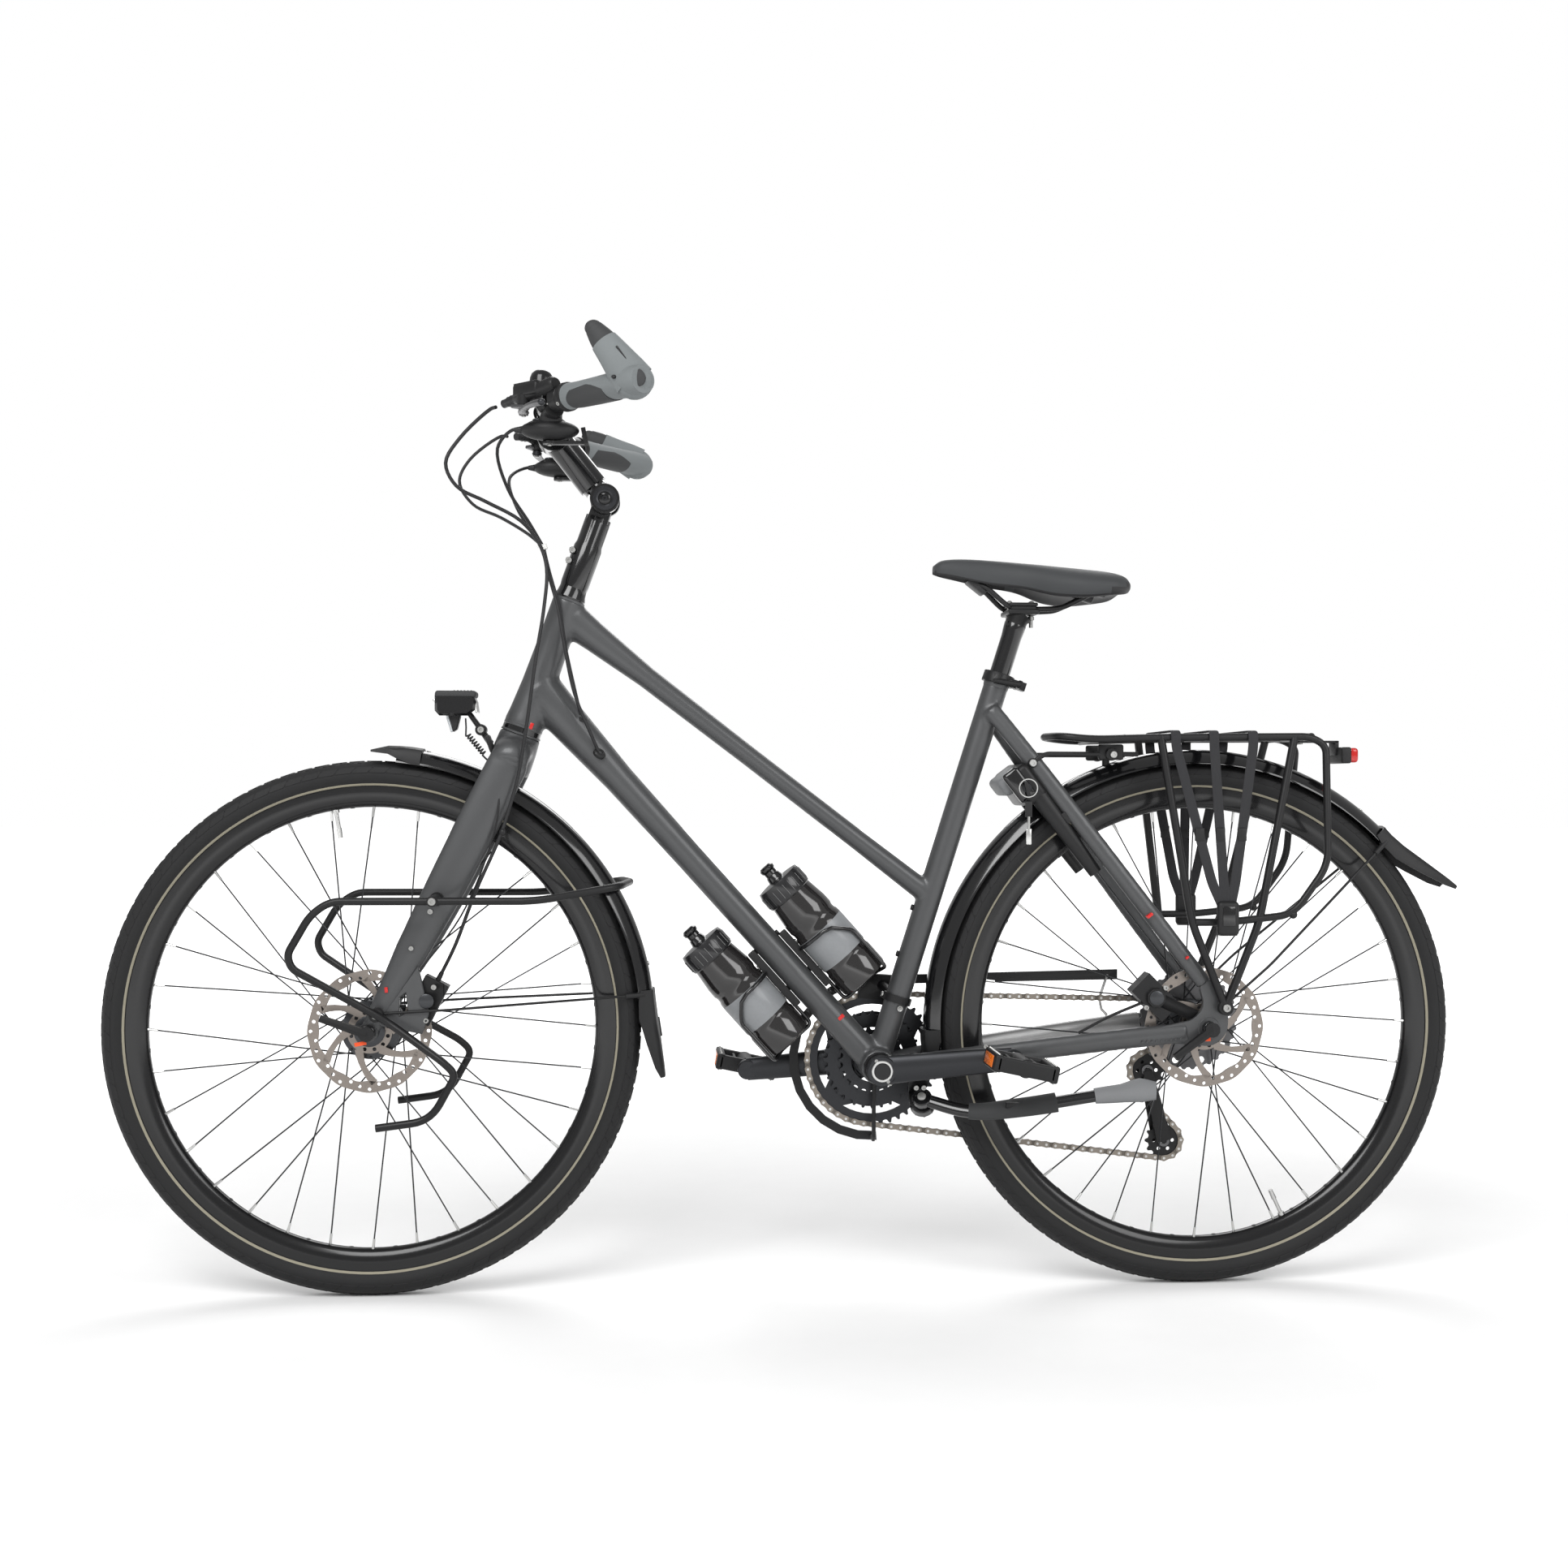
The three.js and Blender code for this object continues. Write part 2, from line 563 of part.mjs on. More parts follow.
function makeFrame() {
  const parts = [
    rod(
      head(headTube.bottom), head(headTube.top), headTube.bottomRadius,
      { endRadius: headTube.topRadius, sides: 14 },
    ),
    limb(
      [down(0), down(downLength)], 3, 10,
      blend(headTube.bottomRadius, downTube.halfWidth, downTube.halfWidth, downTube.halfWidth),
      blend(downTube.headHeight, downTube.halfHeight, downTube.halfHeight, downTube.halfHeight),
    ),
    limb(
      [head(topTube.headJoint), seat(topTube.seatJoint)], 3, 10,
      steady(topTube.halfWidth),
      blend(topTube.headHeight, topTube.halfHeight, topTube.halfHeight, topTube.halfHeight * 1.15),
    ),
    rod(bracket, seat(seatTube.length), seatTube.radius, { sides: 12 }),
    disc(bracket, shell.radius, -shell.halfWidth, shell.halfWidth, 14),
    rod(
      seatBridge.clone().setY(-stay.clearHalf), seatBridge.clone().setY(stay.clearHalf), stay.bridgeRadius,
      { sides: 4 },
    ),
    rod(
      chainBridge.clone().setY(-stay.clearHalf * 0.8), chainBridge.clone().setY(stay.clearHalf * 0.8),
      stay.bridgeRadius, { sides: 4 },
    ),
  ];
  for (const side of [-1, 1]) {
    parts.push(limb(chainstay(side), 5, 8, steady(stay.halfWidth), steady(stay.chainHeight)));
    parts.push(limb(seatstay(side), 5, 8, steady(stay.halfWidth), steady(stay.seatHeight)));
    const outline = dropoutShares.map(
      ([x, z]) => [rearAxle.x + dropout.size * x, rearAxle.z + dropout.size * z]
    );
    parts.push(plate(outline, dropout.thickness, side * (dropoutFace + dropout.thickness / 2)));
    const inner = side * dropoutFace;
    parts.push(disc(rearAxle, dropout.bossRadius, inner, inner + side * dropout.thickness, 10));
  }
  // Hanger that carries the rear changer below the right dropout
  parts.push(
    block(
      changerFoot.clone().lerp(rearAxle, 0.3).setY(hangerPlane), dropout.size * 0.5, dropout.thickness,
      changer.armRadius * 2.4, 99,
    )
  );
  const bores = [
    rod(head(headTube.bottom - overrun), head(headTube.top + overrun), headTube.boreRadius, { sides: 12 }),
    rod(
      seat(seatTube.length - seatTube.boreDepth), seat(seatTube.length + overrun), post.radius + fit,
      { sides: 12 },
    ),
    disc(bracket, crankAxle.bearingRadius + fit, -shell.halfWidth - overrun, shell.halfWidth + overrun, 12),
    disc(rearAxle, axle.radius + fit, -dropoutFace - dropout.size, dropoutFace + dropout.size, 8),
  ];
  return cut(join(parts), bores);
}
const rackBolt = V(rearAxle.x + dropout.size * 0.2, 0, rearAxle.z + dropout.size * 0.3);
const hangerPlane = dropoutFace + dropout.thickness / 2;
const guidePulley = V(rearAxle.x - pulleys.guideX, 0, rearAxle.z - pulleys.guideDrop);
const tensionPulley = V(rearAxle.x - pulleys.tensionX, 0, rearAxle.z - pulleys.tensionDrop);
const changerFoot = V(rearAxle.x + dropout.size * 0.06, 0, rearAxle.z - dropout.size * 0.38);
piece("frame", makeFrame(), "frame");

// Bottom bracket: a bearing sleeve through the shell with a cup outside each end
const cupFace = shell.halfWidth + crankAxle.cupWidth;
piece(
  "bottom_bracket",
  cut(
    join(
      disc(bracket, crankAxle.bearingRadius, -cupFace, cupFace, 12),
      disc(bracket, crankAxle.cupRadius, -cupFace, -shell.halfWidth - fit, 12),
      disc(bracket, crankAxle.cupRadius, shell.halfWidth + fit, cupFace, 12),
    ),
    disc(bracket, boreFor(crankAxle.radius, 12), -cupFace - overrun, cupFace + overrun, 12),
  ),
  "black",
);

// Headset: the bearing ring between crown and head tube
piece(
  "headset",
  cut(
    rod(head(crown.top + fit), head(headTube.bottom - fit), headTube.bottomRadius, { sides: 14 }),
    rod(
      head(crown.top - overrun), head(headTube.bottom + overrun), boreFor(steerer.radius, 12), { sides: 12 }
    ),
  ),
  "gloss",
);

// Seat post, its clamp head and the saddle
const postTop = seat(seatTube.length + post.extension);
const railHeight = postTop.z;
const clampBlock = V(postTop.x, 0, railHeight);
piece(
  "seatpost",
  cut(
    join(
      rod(seat(seatTube.length - post.insertion), postTop, post.radius, { sides: 12 }),
      rod(
        V(postTop.x, -saddle.railHalf - post.headRadius, railHeight),
        V(postTop.x, saddle.railHalf + post.headRadius, railHeight), post.headRadius, { sides: 12 },
      ),
      block(clampBlock, 2 * post.headHalf, 2 * saddle.railHalf + post.headRadius, post.headRadius),
    ),
    [-1, 1].map((side) =>
      rod(
        V(postTop.x - saddle.length / 4, side * saddle.railHalf, railHeight),
        V(postTop.x + saddle.length / 4, side * saddle.railHalf, railHeight),
        saddle.railRadius + fit, { sides: 8 },
      ),
    ),
  ),
  "black",
);
// Cushion stations from nose to tail: along, half width, drop of the top, drop of the side's edge
const saddleShares = [
  [0, 0.12, 0.155, 0.345], [0.04, 0.22, 0.035, 0.4], [0.12, 0.27, 0, 0.475], [0.28, 0.31, 0.025, 0.64],
  [0.44, 0.44, 0.085, 0.73], [0.6, 0.76, 0.165, 0.95], [0.74, 0.97, 0.24, 1], [0.87, 0.96, 0.3, 0.94],
  [0.96, 0.78, 0.38, 0.88], [1, 0.5, 0.5, 0.74],
];
// Half of one section from the channel on top, over the crown, round the drawn-in side to below
const sectionShares = [
  [0, 0.93], [0.2, 1], [0.5, 0.99], [0.8, 0.86], [0.97, 0.58], [1, 0.34], [0.94, 0.1], [0.84, 0], [0.7, 0.2], [0, 0.38],
];
function makeSaddle() {
  const s = saddle;
  const topHeight = railHeight + s.topRise;
  const noseX = postTop.x - s.noseReach;
  const heights = ([, , topDrop, edgeDrop]) => [
    topHeight - s.depth * edgeDrop, topHeight - s.depth * topDrop,
  ];
  const otherHalf = sectionShares.slice(1, -1).reverse().map(([y, z]) => [-y, z]);
  const section = new THREE.Shape(
    [...sectionShares, ...otherHalf].map(([y, z]) => new THREE.Vector2(y, z))
  );
  const steps = saddleShares.length - 1;
  const shape = new THREE.ExtrudeGeometry(section, { depth: 1, steps, bevelEnabled: false });
  const place = shape.getAttribute("position");
  for (let i = 0; i < place.count; i++) {
    const station = saddleShares[Math.round(place.getZ(i) * steps)];
    const [low, high] = heights(station);
    place.setXYZ(
      i, noseX + s.length * station[0], s.halfWidth * station[1] * place.getX(i), low + (high - low) * place.getY(i),
    );
  }
  const inside = (station) => {
    const [low, high] = heights(saddleShares[station]);
    return [noseX + s.length * saddleShares[station][0], (low + high) / 2];
  };
  const [frontX, frontZ] = inside(3);
  const [backX, backZ] = inside(6);
  const rails = [-1, 1].map((side) =>
    wire(
      [
        V(frontX, side * s.railHalf * 0.5, frontZ),
        V(postTop.x - post.headHalf * 1.6, side * s.railHalf, railHeight),
        V(postTop.x + post.headHalf * 2, side * s.railHalf, railHeight),
        V(backX, side * s.railHalf * 1.6, backZ),
      ],
      s.railRadius, { bend: 2 * s.railRadius, sides: 5, bendSteps: 1 },
    ),
  );
  return join(solid(shape), rails);
}
piece("saddle", makeSaddle(), "saddle");

// Seat clamp with its lever
const clampLine = lineFrom(seat(seatTube.length), seatAngle);
const clampPin = clampLine(clampRing.height / 2, 0, -clampRing.radius - clampRing.earLength / 2);
piece(
  "seat_clamp",
  cut(
    join(
      rod(clampLine(fit), clampLine(clampRing.height), clampRing.radius, { sides: 14 }),
      block(
        clampPin, clampRing.earLength * 1.6, 2 * clampRing.earHalf, clampRing.height * 0.8, seatAngle - 90,
      ),
    ),
    rod(clampLine(-overrun), clampLine(clampRing.height + overrun), post.radius + fit, { sides: 12 }),
    disc(clampPin, clampRing.pinRadius + fit, -clampRing.radius, clampRing.radius, 10),
  ),
  "gloss",
);
piece(
  "seat_clamp_lever",
  join(
    disc(
      clampPin, clampRing.pinRadius, -clampRing.earHalf - clampRing.leverRadius * 2.4,
      clampRing.earHalf + clampRing.leverRadius, 10,
    ),
    disc(
      clampPin, clampRing.leverRadius * 1.3, clampRing.earHalf + fit,
      clampRing.earHalf + clampRing.leverRadius, 10,
    ),
    disc(
      clampPin, clampRing.leverRadius * 1.3, -clampRing.earHalf - clampRing.leverRadius * 2.4,
      -clampRing.earHalf - fit, 10,
    ),
    rod(
      V(clampPin.x, -clampRing.earHalf - clampRing.leverRadius * 2.2, clampPin.z),
      V(
        clampPin.x - clampRing.leverLength, -clampRing.radius - clampRing.leverRadius * 3.1,
        clampPin.z + clampRing.leverRadius,
      ),
      clampRing.leverRadius, { endRadius: clampRing.leverRadius * 0.8, sides: 8 },
    ),
  ),
  "gloss",
);

// Cranks, rings and pedals
const crankDirection = (side) => (side < 0 ? crankRestAngle : crankRestAngle + 180);
const crankEye = (side) => lineFrom(bracket, crankDirection(side))(crankLength, 0, 0);
const pitchRadius = (teeth) => tooth.pitch / (2 * Math.sin(Math.PI / teeth));
function crankArmSolid(side) {
  const eye = crankEye(side);
  const a = V(bracket.x, side * crankArm.rootOffset, bracket.z);
  const b = V(eye.x, side * crankArm.eyeOffset, eye.z);
  return join(
    limb(
      [a, b], 2, 8, steady(crankArm.thickness / 2),
      blend(crankArm.bossRadius, crankArm.eyeRadius * 1.2, crankArm.eyeRadius),
    ),
    disc(bracket, crankArm.bossRadius, a.y - crankArm.thickness * 0.6, a.y + crankArm.thickness * 0.6, 12),
    disc(eye, crankArm.eyeRadius, b.y - crankArm.thickness / 2, b.y + crankArm.thickness / 2, 10),
  );
}
const leftEnd = crankArm.rootOffset + crankArm.thickness * 0.75;
const pedalHole = (side) =>
  disc(
    crankEye(side), boreFor(pedalSize.spindleRadius, 8), side * (crankArm.eyeOffset - crankArm.thickness),
    side * (crankArm.eyeOffset + crankArm.thickness), 8,
  );
piece(
  "left_crank_arm",
  cut(crankArmSolid(-1), disc(bracket, crankAxle.radius + fit, -leftEnd, 0, 12), pedalHole(-1)),
  "darkMetal",
);
function chainring(teeth, plane, band) {
  const outer = teeth === rings.outer ? pitchRadius(teeth) - chainSize.halfHeight - 4 * fit : pitchRadius(teeth);
  const annulus = turned(
    closed([
      [outer, tooth.plate / 2],
      [outer, -tooth.plate / 2],
      [outer - band, -tooth.plate / 2],
      [outer - band, tooth.plate / 2],
    ]),
    V(bracket.x, plane, bracket.z),
    teeth === rings.outer ? 22 : 12,
  );
  return annulus;
}
function makeCrankset() {
  const outerPlane = chainSize.plane;
  const armReach = pitchRadius(rings.outer) - rings.band;
  const arms = Array.from({ length: spider.arms }, (_, i) => {
    const angle = (360 * (i + 0.5)) / spider.arms;
    const middle = lineFrom(bracket, angle)(armReach / 2);
    return block(
      V(middle.x, outerPlane - spider.thickness / 2, middle.z), armReach, spider.thickness, spider.armWidth,
      angle,
    );
  });
  const bosses = Array.from({ length: spider.arms }, (_, i) => {
    const middle = lineFrom(bracket, (360 * (i + 0.5)) / spider.arms)(rings.boltRadius);
    return disc(middle, tooth.plate * 1.6, outerPlane - 2 * rings.spacing, outerPlane, 4);
  });
  return cut(
    join(
      crankArmSolid(1),
      disc(bracket, crankAxle.radius, -leftEnd + crankArm.thickness * 0.3, crankArm.rootOffset, 12),
      disc(bracket, spider.radius, cupFace + fit, crankArm.rootOffset, 10),
      arms,
      bosses,
      chainring(rings.outer, outerPlane, rings.band * 1.3),
      chainring(rings.middle, outerPlane - rings.spacing, rings.band),
      chainring(rings.inner, outerPlane - 2 * rings.spacing + tooth.plate / 2, rings.band),
    ),
    pedalHole(1),
  );
}
piece("crankset", makeCrankset(), "darkMetal");
function makePedal(side) {
  const p = pedalSize;
  const eye = crankEye(side);
  const inner = crankArm.eyeOffset + crankArm.thickness / 2 + fit;
  const centre = V(eye.x, side * (inner + p.inset + p.width / 2), eye.z);
  const body = cut(
    block(centre, p.length, p.width, p.height),
    block(
      V(centre.x - p.length / 4, centre.y, centre.z), p.length / 2 - 1.5 * p.frame, p.width - 2 * p.frame,
      p.height + overrun,
    ),
    block(
      V(centre.x + p.length / 4, centre.y, centre.z), p.length / 2 - 1.5 * p.frame, p.width - 2 * p.frame,
      p.height + overrun,
    ),
  );
  return join(
    body,
    disc(
      eye, p.spindleRadius, side * (inner - crankArm.thickness * 0.8),
      side * (inner + p.inset + p.width * 0.4), 8,
    ),
    disc(eye, p.spindleRadius * 1.5, side * inner, side * (inner + p.inset + p.frame), 8),
  );
}
piece("left_pedal", makePedal(-1), "black");
piece("right_pedal", makePedal(1), "black");

// Cassette: stepped sprockets, smallest outside in the chain's plane
function makeCassette() {
  const small = pitchRadius(sprockets.first) - chainSize.halfHeight - 4 * fit;
  const large = pitchRadius(sprockets.largest);
  const outside = chainSize.plane + chainSize.halfWidth;
  const profile = [[sprockets.holeRadius, outside], [small, outside]];
  const stepWidth = (sprockets.width - 2 * chainSize.halfWidth - fit) / sprockets.steps;
  let y = outside - 2 * chainSize.halfWidth - fit;
  profile.push([small, y]);
  for (let i = 1; i <= sprockets.steps; i++) {
    const radius = small + ((large - small) * i) / sprockets.steps;
    profile.push([radius, y], [radius, y - stepWidth * 0.5]);
    if (i < sprockets.steps) profile.push(
      [radius * 0.85, y - stepWidth * 0.5], [radius * 0.85, y - stepWidth],
    );
    y -= stepWidth;
  }
  profile.push([sprockets.holeRadius, y + stepWidth * 0.5]);
  return turned(closed(profile), rearAxle, 14);
}
piece("cassette", makeCassette(), "darkMetal");

// Chain: one closed belt round ring, smallest sprocket and both pulleys
const chainWheels = [
  { centre: bracket, radius: pitchRadius(rings.outer), turn: 1 },
  { centre: rearAxle, radius: pitchRadius(sprockets.first), turn: 1 },
  { centre: guidePulley, radius: pitchRadius(pulleys.teeth), turn: -1 },
  { centre: tensionPulley, radius: pitchRadius(pulleys.teeth), turn: 1 },
];
function beltLoop(offset) {
  const wheels = chainWheels.map((w) => ({ ...w, radius: w.radius + w.turn * offset }));
  // The direction in which the chain leaves each wheel, from the common tangent to the next one
  const leaving = wheels.map((w, i) => {
    const next = wheels[(i + 1) % wheels.length];
    const dx = next.centre.x - w.centre.x;
    const dz = next.centre.z - w.centre.z;
    const gap = Math.hypot(dx, dz);
    return Math.atan2(dz, dx) + Math.asin((w.turn * w.radius - next.turn * next.radius) / -gap);
  });
  const points = [];
  wheels.forEach((w, i) => {
    const arrive = leaving[(i + wheels.length - 1) % wheels.length];
    const leave = leaving[i];
    const start = arrive + (w.turn * Math.PI) / 2;
    let sweep = leave - arrive;
    while (w.turn * sweep > 0) sweep -= w.turn * 2 * Math.PI;
    while (w.turn * sweep <= -2 * Math.PI) sweep += w.turn * 2 * Math.PI;
    const steps = Math.max(2, Math.ceil(Math.abs(sweep) / (chainSize.arcStep * degrees)));
    for (let k = 0; k <= steps; k++) {
      const angle = start + (sweep * k) / steps;
      points.push([w.centre.x + w.radius * Math.cos(angle), w.centre.z + w.radius * Math.sin(angle)]);
    }
  });
  return points;
}
piece(
  "chain",
  plate(
    beltLoop(chainSize.halfHeight), 2 * chainSize.halfWidth, chainSize.plane,
    [beltLoop(-chainSize.halfHeight)],
  ),
  "chain",
);

// Rear changer: hanger knuckle, arm and a two-plate cage that carries the pulleys
const cageFace = chainSize.plane + cage.plateGap;
function makeRearChanger() {
  const foot = V(changerFoot.x, 0, changerFoot.z - changer.armRadius * 0.6);
  const hangerFace = hangerPlane + dropout.thickness / 2 + fit;
  const knuckle = V(foot.x, hangerFace + changer.armRadius, foot.z);
  const elbow = V(
    guidePulley.x - changer.armRadius, cageFace + changer.armRadius * 1.5, guidePulley.z + changer.armRadius
  );
  const half = knuckle.clone().lerp(elbow, 0.5).setY(knuckle.y - fit);
  const outerCage = [guidePulley, tensionPulley].map(
    (p) => p.clone().setY(cageFace + cage.plateThickness / 2)
  );
  const innerCage = outerCage.map(
    (p) => p.clone().setY(2 * chainSize.plane - cageFace - cage.plateThickness / 2)
  );
  const flat = steady(cage.plateThickness / 2);
  const bolts = [guidePulley, tensionPulley].map((p) =>
    disc(p, pulleys.boltRadius, innerCage[0].y, cageFace + cage.plateThickness / 2, 6),
  );
  return join(
    disc(foot, changer.armRadius * 1.3, hangerFace, hangerFace + changer.armRadius * 2.2, 8),
    wire([knuckle, half, elbow], changer.armRadius, { sides: 6, bendSteps: 1 }),
    disc(elbow, changer.armRadius * 1.6, cageFace, elbow.y + changer.armRadius, 8),
    limb(outerCage, 1, 8, flat, blend(changer.armRadius * 1.4, changer.armRadius * 2.2)),
    limb(innerCage, 1, 8, flat, blend(changer.armRadius, changer.armRadius * 1.6)),
    bolts,
  );
}
piece("rear_derailleur", makeRearChanger(), "black");
function makePulley(centre) {
  const radius = pitchRadius(pulleys.teeth) - chainSize.halfHeight - 4 * fit;
  const half = cage.plateGap - fit;
  return cut(
    disc(centre, radius, chainSize.plane - half, chainSize.plane + half, 12),
    disc(
      centre, pulleys.boltRadius + fit, chainSize.plane - half - overrun, chainSize.plane + half + overrun,
      10,
    ),
  );
}
piece("guide_pulley", makePulley(guidePulley), "black");
piece("tension_pulley", makePulley(tensionPulley), "black");

// Front changer: a band on the seat tube and a cage over the chain
function makeFrontChanger() {
  const band = lineFrom(seat(changer.height), seatAngle);
  const topRadius = pitchRadius(rings.outer) + chainSize.halfHeight;
  const cageX = bracket.x + changer.plateLength * 0.2;
  const cageZ = bracket.z + topRadius + changer.plateHeight * 0.16;
  const cageAt = (y) => block(
    V(cageX, y, cageZ), changer.plateLength, cage.plateThickness, changer.plateHeight, -4,
  );
  const inner = 2 * chainSize.plane - cageFace;
  const outer = cageFace;
  const bridge = V(cageX, chainSize.plane, cageZ + changer.plateHeight / 2 - cage.plateThickness / 2);
  return cut(
    join(
      rod(
        band(-changer.bandHeight / 2), band(changer.bandHeight / 2), seatTube.radius + changer.bandGap,
        { sides: 12 },
      ),
      rod(
        band(0, seatTube.radius), V(cageX, inner, cageZ + changer.armRadius / 2), changer.armRadius,
        { sides: 8 },
      ),
      cageAt(inner),
      cageAt(outer),
      block(bridge, changer.plateLength * 0.5, outer - inner, cage.plateThickness, -4),
    ),
    rod(band(-4 * changer.bandHeight), band(4 * changer.bandHeight), seatTube.radius + fit, { sides: 12 }),
  );
}
piece("front_derailleur", makeFrontChanger(), "black");

// Chain guard: a crescent round the front of the rings, a bar over the chain, a strap below the shell
function makeChainGuard() {
  const g = guard;
  const outline = [
    ...arc(bracket, g.radius, 274, 92, 13),
    [bracket.x + g.barEnd, bracket.z + g.barRise],
    [bracket.x + g.barEnd, bracket.z + g.barRise - g.barHeight],
    ...arc(bracket, g.radius - g.band, 92, 274, 13),
  ];
  const crescent = plate(outline, g.thickness, g.plane);
  const low = bracket.z - g.radius + g.band / 2;
  const strapDrop = wire(
    [
      V(bracket.x, 0, bracket.z - shell.radius - g.strapThickness - fit),
      V(bracket.x, chainSize.plane / 2, bracket.z - shell.radius - g.strapThickness - fit),
      V(bracket.x, chainSize.plane / 2, low),
      V(bracket.x, g.plane, low),
    ],
    g.strapThickness, { bend: g.strapThickness * 2, sides: 5, bendSteps: 1 },
  );
  const endBolt = V(bracket.x + g.barEnd * 0.96, 0, bracket.z + g.barRise - g.barHeight / 2);
  const stayFoot = V(
    endBolt.x, stay.clearHalf + stay.halfWidth * 3.2,
    bracket.z + bottomBracketDrop * 0.78 + stay.chainHeight + cable.wireRadius,
  );
  const wireStay = wire(
    [
      V(endBolt.x, g.plane, endBolt.z), V(endBolt.x - g.barHeight, g.plane, endBolt.z - g.barHeight * 3),
      stayFoot,
    ],
    cable.wireRadius, { sides: 5, bendSteps: 1 },
  );
  return join(crescent, strapDrop, wireStay);
}
piece("chain_guard", makeChainGuard(), "black");

// Side stand: a clamp under the left chainstay and a folding leg
const standPivot = V(bracket.x + stand.pivotX, -stand.plane, bracket.z - stand.pivotDrop);
// The leg turns about a slanted pin, so that it lies back when folded and leans out when down
const standAxisShares = [0.1614, 0.768, -0.6198];
const standLegShares = [0.984, -0.172, 0.043];
const onStand = (distance) => standPivot.clone().addScaledVector(
  V(...standAxisShares).normalize(), distance,
);
piece(
  "kickstand_bracket",
  cut(
    join(
      rod(onStand(fit), onStand(stand.halfWidth), stand.housingRadius, { sides: 8 }),
      block(
        V(
          standPivot.x - stand.legRadius / 2, -stand.plane + stand.halfWidth / 2,
          standPivot.z + stand.pivotDrop / 2,
        ),
        stand.housingRadius * 1.4, 1.6 * stand.halfWidth, stand.pivotDrop * 1.15,
      ),
    ),
    limb(chainstay(-1), 5, 8, steady(stay.halfWidth + fit), steady(stay.chainHeight + fit)),
    rod(onStand(-3 * stand.legRadius), onStand(fit), stand.housingRadius + overrun, { sides: 8 }),
    rod(
      chainBridge.clone().setY(-stay.clearHalf), chainBridge.clone().setY(0), stay.bridgeRadius + 2 * fit,
      { sides: 4 },
    ),
    rod(
      onStand(-overrun), onStand(stand.halfWidth + overrun), boreFor(stand.legRadius / 2, 8), { sides: 8 },
    ),
  ),
  "black",
);
function makeStandLeg() {
  const r = stand.legRadius;
  const way = V(...standLegShares).normalize();
  const rise = V(...standAxisShares).normalize().cross(way);
  const at = (along, up) => onStand(-fit - 0.75 * r).addScaledVector(way, along).addScaledVector(rise, up);
  const points = [
    at(0, 0), at(stand.length * 0.2, -r * 1.6), at(stand.length * 0.42, -r),
    at(stand.length * 0.74, r * 0.8),
  ];
  const foot = at(stand.length, r * 1.2);
  const across = V(...standAxisShares).normalize();
  return join(
    rod(onStand(-fit), onStand(-fit - 1.5 * r), stand.housingRadius * 0.8, { sides: 8 }),
    rod(onStand(-fit - r / 2), onStand(stand.halfWidth), r / 2, { sides: 8 }),
    limb(
      points, 4, 6, blend(r * 0.7, r * 0.75, stand.sleeveRadius * 0.6, stand.sleeveRadius * 0.7),
      blend(r, r, stand.sleeveRadius * 0.85, stand.sleeveRadius), across,
    ),
    limb(
      [points[3], foot], 3, 6,
      blend(r * 0.8, stand.sleeveRadius * 0.7, stand.footRadius * 0.7, stand.footRadius * 0.5),
      blend(r * 0.8, stand.sleeveRadius * 0.8, stand.footRadius, stand.footRadius * 0.7), across,
    ),
  );
}
piece("kickstand_leg", makeStandLeg(), "darkMetal");

// Bottles and their cages on both sides of the down tube
function makeBottle(place, side) {
  const b = bottle;
  const bottom = b.body / 2;
  const profile = [
    [0, 0], [b.radius, 0], [b.radius, b.body * 0.65], [b.neckRadius, b.body], [b.capRadius, b.body],
    [b.capRadius, b.body + b.cap], [b.spoutRadius, b.body + b.cap], [
      b.spoutRadius, b.body + b.cap + b.spout,
    ],
    [0, b.body + b.cap + b.spout],
  ];
  return spun(profile, down(place + bottom, 0, side * b.offset), down(0).sub(down(1)), 12);
}
function makeCage(place, side) {
  const b = bottle;
  const c = bottleCage;
  const inner = b.radius + fit + c.wireRadius;
  const end = place + b.body / 2;
  const tubeFace = downTube.halfHeight + fit;
  const backLift = b.offset - b.radius - fit - c.wireRadius;
  const at = (a, y, lift) => down(a, y, side * lift);
  const plateMiddle = (tubeFace + backLift + c.wireRadius) / 2;
  const plateHeight = backLift + c.wireRadius - tubeFace;
  const back = block(at(place, 0, plateMiddle), c.depth * 0.8, c.plateWidth, plateHeight, downAngle);
  const floorLine = end + 2 * fit + c.wireRadius;
  const hoop = wire(
    [
      at(end - c.depth * 0.3, 0, backLift - fit), at(floorLine, 0, backLift - fit),
      at(floorLine, 0, b.offset + inner * 0.5),
    ],
    c.wireRadius, { bend: c.wireRadius, sides: 4, bendSteps: 1 },
  );
  // Each arm goes round the bottle and then runs down outside it to the hoop
  const round = (degreesRound, a, hand) =>
    at(
      a, hand * inner * 1.16 * Math.sin(degreesRound * degrees),
      b.offset - inner * 1.16 * Math.cos(degreesRound * degrees),
    );
  const arms = [-1, 1].map((hand) =>
    wire(
      [
        at(place - c.depth * 0.1, 0, backLift - fit),
        round(40, place - c.depth * 0.12, hand),
        round(90, place - c.depth * 0.12, hand),
        round(140, place + c.depth * 0.1, hand),
        round(140, floorLine, hand),
        at(floorLine, 0, b.offset + inner * 0.4),
      ],
      c.wireRadius, { bend: c.wireRadius * 2, sides: 4, bendSteps: 1 },
    ),
  );
  return join(back, hoop, arms);
}
piece("upper_bottle", makeBottle(bottle.place, 1), "bottle");
piece("lower_bottle", makeBottle(bottle.lowerPlace, -1), "bottle");
piece("upper_bottle_cage", makeCage(bottle.place, 1), "gloss");
piece("lower_bottle_cage", makeCage(bottle.lowerPlace, -1), "gloss");

